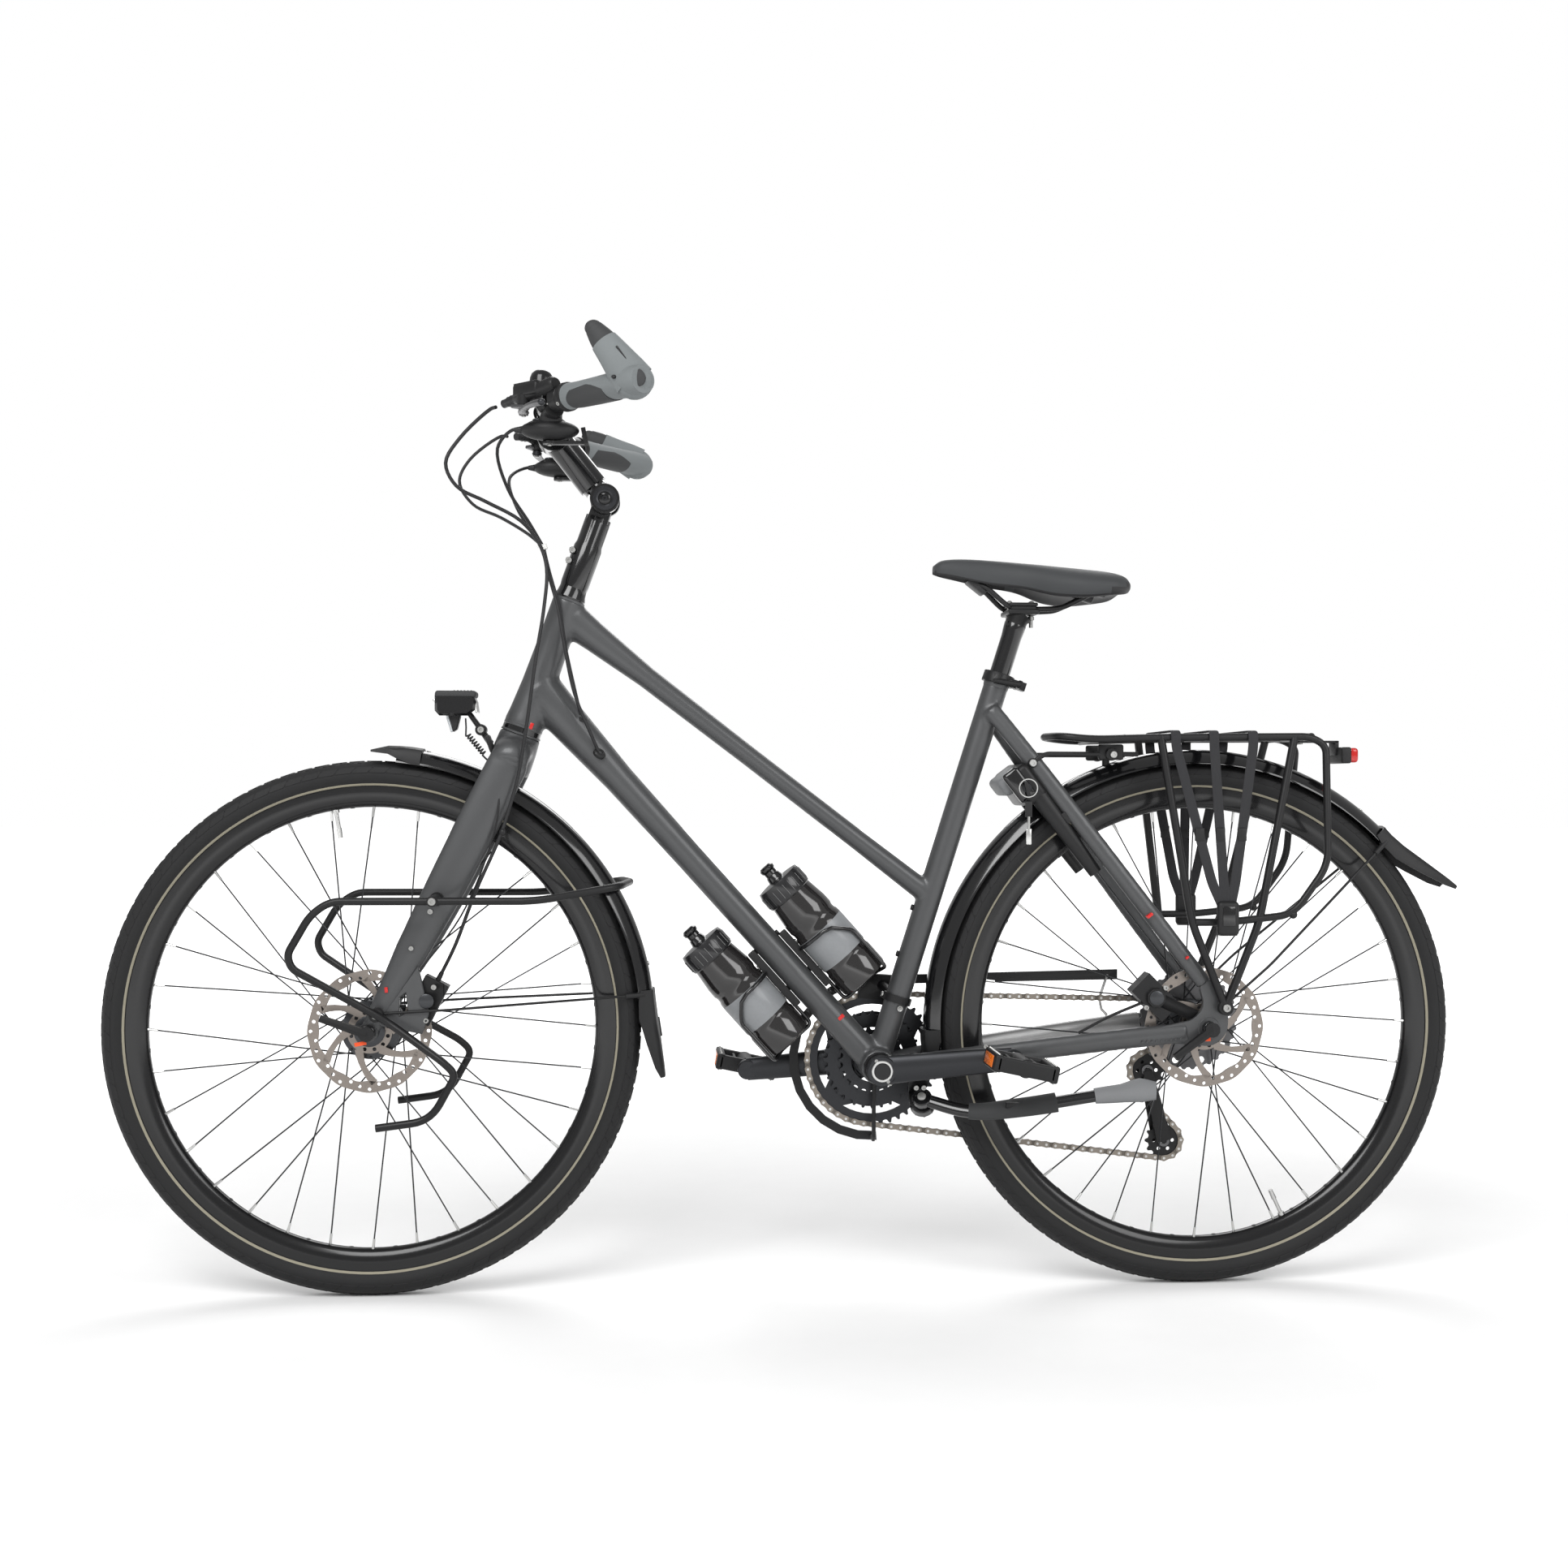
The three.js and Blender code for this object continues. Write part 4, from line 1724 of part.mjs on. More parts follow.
function makeControls(side) {
  const start = masterStart(side);
  const end = masterEnd(side);
  const bootStart = start.clone().lerp(end, 0.77);
  const tankMiddle = start.clone().lerp(end, 0.4).add(V(0, 0, master.radius * 0.4));
  const swing = Math.atan2(end.y - start.y, end.x - start.x) / degrees;
  const ball = new THREE.SphereGeometry(1, 8, 4).scale(pod.halfLength, pod.halfWidth, pod.halfHeight);
  const centre = podCentre(side);
  const podBody = solid(ball.translate(centre.x, centre.y, centre.z));
  const bladeTop = leverPivot(side).add(V(0, 0, blade.thickness / 2 + fit));
  const aboveBlade = V(bladeTop.x, bladeTop.y, (start.z + end.z) / 2);
  return cut(
    join(
      ringOn(side, onSweep(side, grip.length + control.clampInset), control.clampHalf, control.clampRadius),
      rod(start, bootStart, master.radius, { sides: 8 }),
      rod(
        start.clone().lerp(end, 0.7), end, master.bootRadius * 1.3,
        { endRadius: master.bootRadius, sides: 6 },
      ),
      block(tankMiddle, master.tankLength, master.tankWidth, master.tankHeight, 0, swing),
      rod(
        shiftSpot(side).add(V(0, 0, -(bar.radius + control.clampRadius) / 2)), centre, pod.halfHeight,
        { sides: 4 },
      ),
      podBody,
      rod(
        centre, centre.clone().add(V(0, 0, -pod.halfHeight - fit - pod.leverThickness)), blade.pinRadius,
        { sides: 6 },
      ),
      rod(bladeTop, aboveBlade, blade.pivotRadius, { sides: 8 }),
      rod(aboveBlade, leverPivot(side).add(V(0, 0, -blade.thickness / 2)), blade.pinRadius, { sides: 6 }),
    ),
    barTube(bar.radius + fit),
  );
}
piece("left_controls", makeControls(-1), "black");
piece("right_controls", makeControls(1), "black");

// Brake blades pivot below the master cylinder and reach out in front of the grip
function makeBlade(side) {
  const b = blade;
  const pin = leverPivot(side);
  const turned = (length, lead) => {
    const way = V(Math.cos(b.swing * degrees), side * Math.sin(b.swing * degrees), 0);
    const ahead = V(-Math.sin(b.swing * degrees), side * Math.cos(b.swing * degrees), 0);
    return pin.clone().addScaledVector(way, length).addScaledVector(ahead, lead);
  };
  const points = [
    pin.clone(), turned(b.length * 0.3, b.width * 0.6), turned(b.length * 0.65, b.width * 0.7),
    turned(b.length, 0),
  ];
  const lift = (share) => -b.width * 0.5 * share;
  points.forEach((point, i) => (point.z += lift(i / 3)));
  const body = limb(
    points, 4, 6, blend(b.thickness / 2, b.thickness / 2, b.thickness * 0.6),
    blend(b.width / 2, b.width * 0.4, b.width * 0.55), V(0, 0, 1),
  );
  const eye = rod(
    pin.clone().add(V(0, 0, -b.thickness / 2)), pin.clone().add(V(0, 0, b.thickness / 2)), b.pivotRadius,
    { sides: 8 },
  );
  const bore = rod(
    pin.clone().add(V(0, 0, -b.thickness)), pin.clone().add(V(0, 0, b.thickness)), boreFor(b.pinRadius, 6),
    { sides: 6 },
  );
  return cut(join(body, eye), bore);
}
piece("left_brake_lever", makeBlade(-1), "darkMetal");
piece("right_brake_lever", makeBlade(1), "darkMetal");

// Thumb levers swing under the shifter pods
function makeThumbLever(side) {
  const pin = podCentre(side).add(V(0, 0, -pod.halfHeight - fit - pod.leverThickness / 2));
  const arm = block(
    pin.clone().add(V(pod.leverReach / 2, 0, 0)), pod.leverReach, pod.leverWidth * 0.7, pod.leverThickness,
  );
  const paddle = block(
    pin.clone().add(V(pod.leverReach, 0, pod.leverWidth * 0.45)), pod.leverThickness * 1.4,
    pod.leverWidth * 1.2, pod.leverWidth * 0.9 + pod.leverThickness, 12,
  );
  const hubDisc = rod(
    pin.clone().add(V(0, 0, -pod.leverThickness / 2)), pin.clone().add(V(0, 0, pod.leverThickness / 2)),
    pod.leverWidth * 0.5, { sides: 8 },
  );
  const bore = rod(
    pin.clone().add(V(0, 0, -overrun)), pin.clone().add(V(0, 0, overrun)), boreFor(blade.pinRadius, 6),
    { sides: 6 },
  );
  return cut(join(arm, paddle, hubDisc), bore);
}
piece("left_shift_lever", makeThumbLever(-1), "black");
piece("right_shift_lever", makeThumbLever(1), "black");

// Bell on the left of the bar, with a thumb striker
const bellShare = 0.62;
const bellSpot = barAt(-1, 0, bar.straightHalf, 0).lerp(barKnee(-1), bellShare);
function makeBell() {
  const b = bellSize;
  const way = barKnee(-1).sub(barAt(-1, 0, bar.straightHalf, 0)).normalize();
  const ends = [-1, 1].map((hand) => bellSpot.clone().addScaledVector(way, hand * b.clampHalf));
  const base = bellSpot.z + b.clampRadius * 0.7 + b.postHeight * 0.6;
  const profile = [
    [0, base], [b.domeRadius, base], [b.domeRadius, base + b.domeHeight * 0.45],
    [b.domeRadius * 0.8, base + b.domeHeight * 0.8], [b.domeRadius * 0.35, base + b.domeHeight * 0.97],
    [0, base + b.domeHeight],
  ];
  const dome = solid(
    new THREE.LatheGeometry(
      profile.map(([r, z]) => new THREE.Vector2(r, z)), 10,
    ).rotateX(Math.PI / 2).translate(bellSpot.x - b.clampRadius * 0.3, bellSpot.y, 0),
  );
  const lifted = rod(
    bellSpot.clone().add(V(0, 0, barBore)), V(bellSpot.x - b.clampRadius * 0.3, bellSpot.y, base + fit),
    b.postRadius, { sides: 6 },
  );
  const ring = rod(ends[0], ends[1], b.clampRadius, { sides: 10 });
  return cut(join(dome, lifted, ring), barTube(bar.radius + fit));
}
piece("bell", makeBell(), "gloss");
const strikerPin = V(
  bellSpot.x + bellSize.domeRadius * 0.97 - bellSize.clampRadius * 0.3 + bellSize.strikerRadius, bellSpot.y,
  bellSpot.z + bellSize.clampRadius * 0.7 + bellSize.postHeight * 0.6 + bellSize.domeHeight * 0.3,
);
piece(
  "bell_striker",
  join(
    rod(
      strikerPin.clone().add(V(0, -bellSize.strikerRadius * 2, 0)),
      strikerPin.clone().add(V(0, bellSize.strikerRadius * 2, 0)), bellSize.strikerRadius, { sides: 8 },
    ),
    rod(
      strikerPin, strikerPin.clone().add(V(bellSize.strikerLength * 0.7, 0, bellSize.strikerLength * 0.12)),
      bellSize.strikerRadius * 0.8, { endRadius: bellSize.strikerRadius * 1.2, sides: 8 },
    ),
  ),
  "black",
);

// Hoses and cables along their real routes: points chosen by hand between seated ends
const atTie = V(221, -14, 984);
const leave = (seat, way, run) => [
  seat.clone().addScaledVector(way, fit), seat.clone().addScaledVector(way, run),
];
const masterWay = (side) => masterEnd(side).sub(masterStart(side)).normalize();
const podFront = (side) => podCentre(side).add(V(-pod.halfLength, 0, 0));
const legWay = legLine(1).sub(legLine(0));
const caliperTop = V(caliperPlace.x, discPlane, caliperPlace.z).addScaledVector(legWay, caliper.height / 2);
const frontHoseRoute = [
  [118, -86, 1113], [101, -92, 1080], [114, -88, 1052], [150, -70, 1035], [193, -47, 1014],
  [216, -28, 987], [226, -33, 955], [223, -42, 900], [214, -50, 840], [201, -55, 742], [191, -58, 680],
  [180, -58, 640], [169, -61, 605], [137, -64, 531], [112, -58, 465],
];
piece(
  "front_brake_hose",
  cord(
    [
      ...leave(masterEnd(-1), masterWay(-1), 4 * cable.hoseRadius),
      ...frontHoseRoute.map((p) => V(...p)),
      ...leave(caliperTop, legWay, 5 * cable.hoseRadius).reverse(),
    ],
    cable.hoseRadius, 25,
  ),
  "black",
);
function makeLoom() {
  const points = (list) => list.map((p) => V(...p));
  const upper = [
    [
      ...leave(masterEnd(1), masterWay(1), 4 * cable.hoseRadius),
      ...points([[116, 82, 1115], [102, 78, 1085], [122, 56, 1050], [162, 26, 1028], [200, 2, 1003]]),
      atTie,
    ],
    [
      ...leave(podFront(-1), V(-1, 0, 0), 4 * cable.wireRadius),
      ...points([[168, -112, 1096], [178, -66, 1052], [203, -30, 1014]]), atTie,
    ],
    [
      ...leave(podFront(1), V(-1, 0, 0), 4 * cable.wireRadius),
      ...points([[168, 106, 1094], [182, 52, 1044], [206, 14, 1006]]), atTie,
    ],
  ];
  const lower = [
    [
      atTie,
      ...points([[228, -22, 955], [243, -28, 900], [251, -32, 850], [262, -33, 800], [270.5, -24.5, 763]])
    ],
    [
      atTie,
      ...points(
        [
          [226, -18, 955], [240, -31, 905], [250, -38, 850], [263, -38, 790], [284, -34, 738],
          [294, -26.5, 715],
        ]
      )
    ],
  ];
  const run = (route, steps) => cord(route, cable.wireRadius, steps);
  const half = V(1, 0, -3);
  const tie = rod(atTie.clone().sub(half), atTie.clone().add(half), cable.wireRadius * 2, { sides: 6 });
  return join(...upper.map((route) => run(route, 10)), ...lower.map((route) => run(route, 7)), tie);
}
piece("cable_loom", makeLoom(), "black");

// The origin stands on the floor under the middle of the bicycle's box
const box = new THREE.Box3().setFromObject(bicycle);
bicycle.position.x = -(box.min.x + box.max.x) / 2;

export default bicycle;
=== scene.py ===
"""A touring bicycle, dressed over its packed frame and set in a plain studio."""

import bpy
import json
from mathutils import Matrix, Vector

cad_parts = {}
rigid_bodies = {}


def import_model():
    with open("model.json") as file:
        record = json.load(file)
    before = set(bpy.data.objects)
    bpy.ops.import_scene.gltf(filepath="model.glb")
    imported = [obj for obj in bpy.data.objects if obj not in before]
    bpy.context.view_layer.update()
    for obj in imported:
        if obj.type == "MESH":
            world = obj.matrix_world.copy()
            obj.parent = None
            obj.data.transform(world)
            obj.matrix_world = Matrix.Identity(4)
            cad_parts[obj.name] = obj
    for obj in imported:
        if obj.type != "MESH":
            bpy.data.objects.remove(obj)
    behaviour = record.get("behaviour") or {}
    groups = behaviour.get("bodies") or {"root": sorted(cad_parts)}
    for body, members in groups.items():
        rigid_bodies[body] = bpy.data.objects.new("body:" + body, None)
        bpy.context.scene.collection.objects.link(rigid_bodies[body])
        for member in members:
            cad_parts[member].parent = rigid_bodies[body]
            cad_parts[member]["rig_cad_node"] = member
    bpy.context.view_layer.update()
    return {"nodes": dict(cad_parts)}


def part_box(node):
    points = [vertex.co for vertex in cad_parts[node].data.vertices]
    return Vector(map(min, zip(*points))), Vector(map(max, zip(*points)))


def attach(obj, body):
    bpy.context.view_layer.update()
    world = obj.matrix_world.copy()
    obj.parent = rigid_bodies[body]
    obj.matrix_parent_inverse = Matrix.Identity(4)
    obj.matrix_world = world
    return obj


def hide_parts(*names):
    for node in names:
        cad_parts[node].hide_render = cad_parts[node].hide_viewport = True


bl_info = {
    "name": "Touring bicycle",
    "version": (1, 0, 0),
    "blender": (4, 5, 0),
    "location": "View3D > Sidebar > Bicycle",
    "description": "Builds the shapes and finishes of a touring bicycle with racks, mudguards and lights",
    "category": "Object",
}
import json
from math import asin, atan2, cos, degrees, hypot, pi, radians, sin, sqrt

import bmesh
import bpy
from mathutils import Matrix, Vector

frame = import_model()

# Pieces are worked out in millimetres from the floor point under the front axle, and moved into
# the bicycle's own frame at the end
SHIFT = (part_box("front_rim")[0][0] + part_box("front_rim")[1][0]) / 2
PLACE = Matrix.Translation((SHIFT, 0, 0)) @ Matrix.Diagonal((0.001, 0.001, 0.001, 1))
ACROSS = Vector((0, 1, 0))
UP = Vector((0, 0, 1))


def V(x, y, z):
    return Vector((x, y, z))


def heading(angle):
    """The way that an angle in the middle plane points to."""
    return V(cos(angle), 0, sin(angle))


def line_from(origin, angle):
    """Places along a straight line in the middle plane, beside it and square to it."""
    a = radians(angle)
    along, square = heading(a), V(-sin(a), 0, cos(a))
    return lambda run, y=0.0, off=0.0: origin + along * run + square * off + V(0, y, 0)


def set_y(point, y):
    return V(point.x, y, point.z)


# Main places, the same as the solids'
TYRE_RADIUS, WHEELBASE, DROP, CHAINSTAY = 351.0, 1098.0, 54.0, 436.0
HEAD_ANGLE, SEAT_ANGLE, FORK_OFFSET = 70.4, 72.4, 50.0
FRONT_AXLE, REAR_AXLE = V(0, 0, TYRE_RADIUS), V(WHEELBASE, 0, TYRE_RADIUS)
BRACKET = V(WHEELBASE - sqrt(CHAINSTAY**2 - DROP**2), 0, TYRE_RADIUS - DROP)
HEAD = line_from(
    V(FORK_OFFSET * sin(radians(HEAD_ANGLE)), 0,
      TYRE_RADIUS - FORK_OFFSET * cos(radians(HEAD_ANGLE))), HEAD_ANGLE)
SEAT = line_from(BRACKET, SEAT_ANGLE)
DOWN_TOP = HEAD(493)
DOWN_ANGLE = degrees(atan2(BRACKET.z - DOWN_TOP.z, BRACKET.x - DOWN_TOP.x))
DOWN = line_from(DOWN_TOP, DOWN_ANGLE)
DOWN_LENGTH = (BRACKET - DOWN_TOP).length
HEAD_WAY, SEAT_WAY = HEAD(1) - HEAD(0), SEAT(1) - SEAT(0)
DROPOUT_FACE = 67.5
FRONT_DISC, REAR_DISC = -40.0, -51.0
CHAIN_PLANE, PITCH = 53.0, 12.7
GUIDE_PULLEY, TENSION_PULLEY = V(1048, 0, 278), V(1071, 0, 181)
FRONT_CALIPER, REAR_CALIPER = V(74.4, 0, 391), V(1029.2, 0, 391)
CRANK_LENGTH, CRANK_ANGLE = 170, 5.8
RIM_WELL = 291


def pitch_radius(teeth):
    return PITCH / (2 * sin(pi / teeth))


# Paths


def bent(points, bend, steps=6, gentle=38):
    """Straight runs with round bends between them."""
    out = [points[0]]
    for before, here, after in zip(points, points[1:], points[2:]):
        back, on = before - here, after - here
        if bend == 0 or degrees(pi - back.angle(on)) < gentle:
            out.append(here)
            continue
        room = min(bend, back.length / 2.1, on.length / 2.1)
        a, c = here + back.normalized() * room, here + on.normalized() * room
        for k in range(steps + 1):
            t = k / steps
            out.append(a * (1 - t) ** 2 + here * (2 * t * (1 - t)) + c * t**2)
    return out + [points[-1]]


def flowing(points, count):
    """One smooth curve through all the points, evenly stepped between each two."""
    ends = [points[0] * 2 - points[1], *points, points[-1] * 2 - points[-2]]
    out = []
    for a, b, c, d in zip(ends, ends[1:], ends[2:], ends[3:]):
        t0, t1 = 0.0, max((b - a).length, 1e-6) ** 0.5
        t2 = t1 + max((c - b).length, 1e-6) ** 0.5
        t3 = t2 + max((d - c).length, 1e-6) ** 0.5
        for k in range(count):
            t = t1 + (t2 - t1) * k / count
            a1 = a * ((t1 - t) / (t1 - t0)) + b * ((t - t0) / (t1 - t0))
            a2 = b * ((t2 - t) / (t2 - t1)) + c * ((t - t1) / (t2 - t1))
            a3 = c * ((t3 - t) / (t3 - t2)) + d * ((t - t2) / (t3 - t2))
            b1 = a1 * ((t2 - t) / (t2 - t0)) + a2 * ((t - t0) / (t2 - t0))
            b2 = a2 * ((t3 - t) / (t3 - t1)) + a3 * ((t - t1) / (t3 - t1))
            out.append(b1 * ((t2 - t) / (t2 - t1)) + b2 * ((t - t1) / (t2 - t1)))
    return out + [points[-1]]


def arc(centre, radius, start, end, count, y=0.0):
    turns = [radians(start + (end - start) * i / count) for i in range(count + 1)]
    return [V(centre.x + radius * cos(t), y, centre.z + radius * sin(t)) for t in turns]


def flat(points):
    return [(p.x, p.z) for p in points]


def ring_points(centre, radius, count, turn=0.0):
    return [(centre.x + radius * cos(t), centre.z + radius * sin(t))
            for t in (2 * pi * i / count + turn for i in range(count))]


# Shapes, each a small bmesh


def rim_edges(bm, angle=50):
    return [e for e in bm.edges if len(e.link_faces) == 2 and e.calc_face_angle(0) > radians(angle)]


def soften(bm, width, segments=2, angle=50):
    edges = rim_edges(bm, angle)
    if width and edges:
        bmesh.ops.bevel(bm, geom=edges, offset=width, offset_type="OFFSET", segments=segments, profile=0.5,
                        affect="EDGES", material=-1, clamp_overlap=True)
    return bm


def outward(bm):
    bmesh.ops.recalc_face_normals(bm, faces=bm.faces[:])
    return bm


def sweep(points, sizes, sides=12, across=None, section=None):
    """A tube, oval limb or flat band along a path: its half sizes may change on the way."""
    count = len(points)
    if not isinstance(sizes, list):
        sizes = [sizes, sizes]
    sizes = [s if isinstance(s, tuple) else (s, s) for s in sizes]
    bm = bmesh.new()
    if section:
        ring = [bm.verts.new((x, y, 0)) for x, y in section]
        edges = [bm.edges.new(pair) for pair in zip(ring, ring[1:] + ring[:1])]
        bmesh.ops.contextual_create(bm, geom=edges)
    else:
        ring = bmesh.ops.create_circle(bm, cap_ends=True, segments=sides, radius=1.0)["verts"]
        edges = bm.edges[:]
    previous, side = Matrix.Identity(4), None
    for i, point in enumerate(points):
        way = V(0, 0, 0)
        if i:
            way += (point - points[i - 1]).normalized()
        if i < count - 1:
            way += (points[i + 1] - point).normalized()
        way.normalize()
        guide = across if across is not None else (side or way.orthogonal())
        side = (guide - way * guide.dot(way)).normalized()
        up = way.cross(side)
        share = i / (count - 1) * (len(sizes) - 1)
        k = min(int(share), len(sizes) - 2)
        wide, tall = (a + (b - a) * (share - k) for a, b in zip(sizes[k], sizes[k + 1]))
        here = Matrix((side * wide, up * tall, way)).transposed().to_4x4()
        here.translation = point
        if i:
            made = bmesh.ops.extrude_edge_only(bm, edges=edges)["geom"]
            ring = [g for g in made if isinstance(g, bmesh.types.BMVert)]
            fresh = set(ring)
            edges = [g for g in made if isinstance(g, bmesh.types.BMEdge) and fresh.issuperset(g.verts)]
        bmesh.ops.transform(bm, matrix=here @ previous.inverted(), verts=ring)
        previous = here
    bmesh.ops.contextual_create(bm, geom=edges)
    return outward(bm)


def lathe(profile, origin, way=ACROSS, sides=48, closed=False, looks=None):
    """A shape turned about an axis: the profile is (radius, run along the axis)."""
    bm = bmesh.new()
    verts = [bm.verts.new((max(r, 0.0), 0, a)) for r, a in profile]
    pairs = list(zip(verts, verts[1:])) + ([(verts[-1], verts[0])] if closed else [])
    edges = [bm.edges.new(pair) for pair in pairs]
    bmesh.ops.spin(bm, geom=verts + edges, cent=(0, 0, 0), axis=(0, 0, 1), dvec=(0, 0, 0),
                   angle=2 * pi, steps=sides, use_merge=True)
    bmesh.ops.remove_doubles(bm, verts=bm.verts[:], dist=1e-4)
    if looks:
        ends = profile[1:] + ([profile[0]] if closed else [])
        middles = [((a[0] + b[0]) / 2 * cos(pi / sides), (a[1] + b[1]) / 2)
                   for a, b in zip(profile, ends)]
        for face in bm.faces:
            c = face.calc_center_median()
            r = hypot(c.x, c.y)
            best = min(range(len(middles)), key=lambda i: (middles[i][0] - r) ** 2 + (middles[i][1] - c.z) ** 2)
            face.material_index = looks[best]
    turn = UP.rotation_difference(Vector(way)).to_matrix().to_4x4()
    bmesh.ops.transform(bm, matrix=Matrix.Translation(origin) @ turn, verts=bm.verts[:])
    return outward(bm)


def slab(outline, thickness, y=0.0, holes=(), bevel=0.0):
    """A flat plate beside the middle plane, cut from an outline of (x, z)."""
    bm = bmesh.new()
    edges = []
    for loop in (outline, *holes):
        verts = [bm.verts.new((x, y - thickness / 2, z)) for x, z in loop]
        edges += [bm.edges.new(pair) for pair in zip(verts, verts[1:] + verts[:1])]
    if holes:
        bmesh.ops.triangle_fill(bm, use_beauty=True, use_dissolve=False, edges=edges)
    else:
        bmesh.ops.contextual_create(bm, geom=edges)
    made = bmesh.ops.extrude_face_region(bm, geom=bm.faces[:])["geom"]
    moved = [g for g in made if isinstance(g, bmesh.types.BMVert)]
    bmesh.ops.translate(bm, verts=moved, vec=(0, thickness, 0))
    outward(bm)
    if bevel:
        soften(bm, bevel, 1)
    return bm


def box(centre, size, angle=0.0, swing=0.0, bevel=0.0, segments=2):
    bm = bmesh.new()
    bmesh.ops.create_cube(bm, size=1.0)
    bmesh.ops.scale(bm, vec=size, verts=bm.verts[:])
    soften(bm, bevel, segments)
    turn = Matrix.Rotation(radians(swing), 4, "Z") @ Matrix.Rotation(radians(-angle), 4, "Y")
    bmesh.ops.transform(bm, matrix=Matrix.Translation(centre) @ turn, verts=bm.verts[:])
    return bm


def pin(a, b, radius, end=None, sides=20, bevel=0.0):
    """A round pin, disc or cone between two points."""
    way = b - a
    bm = bmesh.new()
    bmesh.ops.create_cone(bm, cap_ends=True, segments=sides, radius1=radius,
                          radius2=radius if end is None else end, depth=way.length)
    soften(bm, bevel, 1)
    turn = UP.rotation_difference(way).to_matrix().to_4x4()
    bmesh.ops.transform(bm, matrix=Matrix.Translation((a + b) / 2) @ turn, verts=bm.verts[:])
    return bm


def disc(centre, radius, from_y, to_y, sides=24, bevel=0.0):
    return pin(set_y(centre, from_y), set_y(centre, to_y), radius, sides=sides, bevel=bevel)


def ball(centre, radii, segments=20):
    bm = bmesh.new()
    bmesh.ops.create_uvsphere(bm, u_segments=segments, v_segments=segments // 2, radius=1.0)
    bmesh.ops.transform(bm, matrix=Matrix.Translation(centre) @ Matrix.Diagonal((*radii, 1)), verts=bm.verts[:])
    return bm


def socket_bolt(at, way, radius, height):
    """A bolt head with a hexagon sunk into it."""
    way = way.normalized()
    bm = pin(at, at + way * height, radius, sides=18, bevel=radius * 0.12)
    bm.faces.ensure_lookup_table()
    top = max(bm.faces, key=lambda f: f.calc_center_median().dot(way))
    bmesh.ops.inset_region(bm, faces=[top], thickness=radius * 0.42, depth=0.0)
    bmesh.ops.inset_region(bm, faces=[top], thickness=0.02, depth=-height * 0.6)
    return bm


FLAT = [(-1, -1), (1, -1), (1, 1), (-1, 1)]


def eased(side):
    """The section of a flat band with eased corners."""
    return [(-1, -side), (-0.8, -1), (0.8, -1), (1, -side), (1, side), (0.8, 1), (-0.8, 1), (-1, side)]


class Shape:
    """One piece in the making: small shapes put together, each with its own finish."""

    def __init__(self):
        self.bm = bmesh.new()
        self.finishes = []

    def slot_of(self, finish):
        if finish not in self.finishes:
            self.finishes.append(finish)
        return self.finishes.index(finish)

    def add(self, part, finish, places=None):
        """Takes a small bmesh, once or at each of several places."""
        names = finish if isinstance(finish, list) else [finish]
        slots = [self.slot_of(name) for name in names]
        for face in part.faces:
            face.material_index = slots[face.material_index if len(slots) > 1 else 0]
        mesh = bpy.data.meshes.new("part")
        part.to_mesh(mesh)
        part.free()
        for place in places or [None]:
            copy = mesh.copy() if place is not None else mesh
            if place is not None:
                copy.transform(place)
            self.bm.from_mesh(copy)
            if copy is not mesh:
                bpy.data.meshes.remove(copy)
        bpy.data.meshes.remove(mesh)
        return self

    def bolt(self, at, way, radius, height, finish="bolt steel"):
        return self.add(socket_bolt(at, way, radius, height), finish)

    def done(self, name, body, nodes=(), crease=38):
        """Moves the piece to its place, gives it its finishes and hangs it on its body."""
        bmesh.ops.transform(self.bm, matrix=PLACE, verts=self.bm.verts[:])
        mesh = bpy.data.meshes.new(name)
        self.bm.to_mesh(mesh)
        self.bm.free()
        for face in mesh.polygons:
            face.use_smooth = True
        mesh.set_sharp_from_angle(angle=radians(crease))
        for finish in self.finishes:
            mesh.materials.append(FINISHES.material(finish))
        return put(bpy.data.objects.new(name, mesh), body, nodes)


def put(piece, body, nodes=()):
    if piece.name not in bpy.context.scene.collection.objects:
        bpy.context.scene.collection.objects.link(piece)
    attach(piece, body)
    if nodes:
        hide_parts(*nodes)
    return piece


def melted(shape, name, body, grain, passes):
    """Melts the overlapping shapes of a piece into one skin with soft joints."""
    work = shape.done(name + "_raw", body)
    remesh = work.modifiers.new("melt", "REMESH")
    remesh.mode, remesh.voxel_size, remesh.adaptivity = "VOXEL", grain / 1000, 0.0
    smooth = work.modifiers.new("smooth", "SMOOTH")
    smooth.factor, smooth.iterations = 0.5, passes
    bpy.context.view_layer.update()
    ready = work.evaluated_get(bpy.context.evaluated_depsgraph_get())
    mesh = bpy.data.meshes.new_from_object(ready)
    bpy.data.objects.remove(work)
    mesh.name = name
    mesh.materials.clear()
    mesh.materials.append(FINISHES.material(shape.finishes[0]))
    for face in mesh.polygons:
        face.use_smooth = True
        face.material_index = 0
    return put(bpy.data.objects.new(name, mesh), body)


# Settings that a user would change


def colour(name, text, value):
    return bpy.props.FloatVectorProperty(
        name=name, description=text, subtype="COLOR", size=3, min=0, max=1, default=value)


def length(name, text, value, low=0.0, high=1.0):
    return bpy.props.FloatProperty(
        name=name, description=text, default=value, min=low, max=high, unit="LENGTH", precision=4)


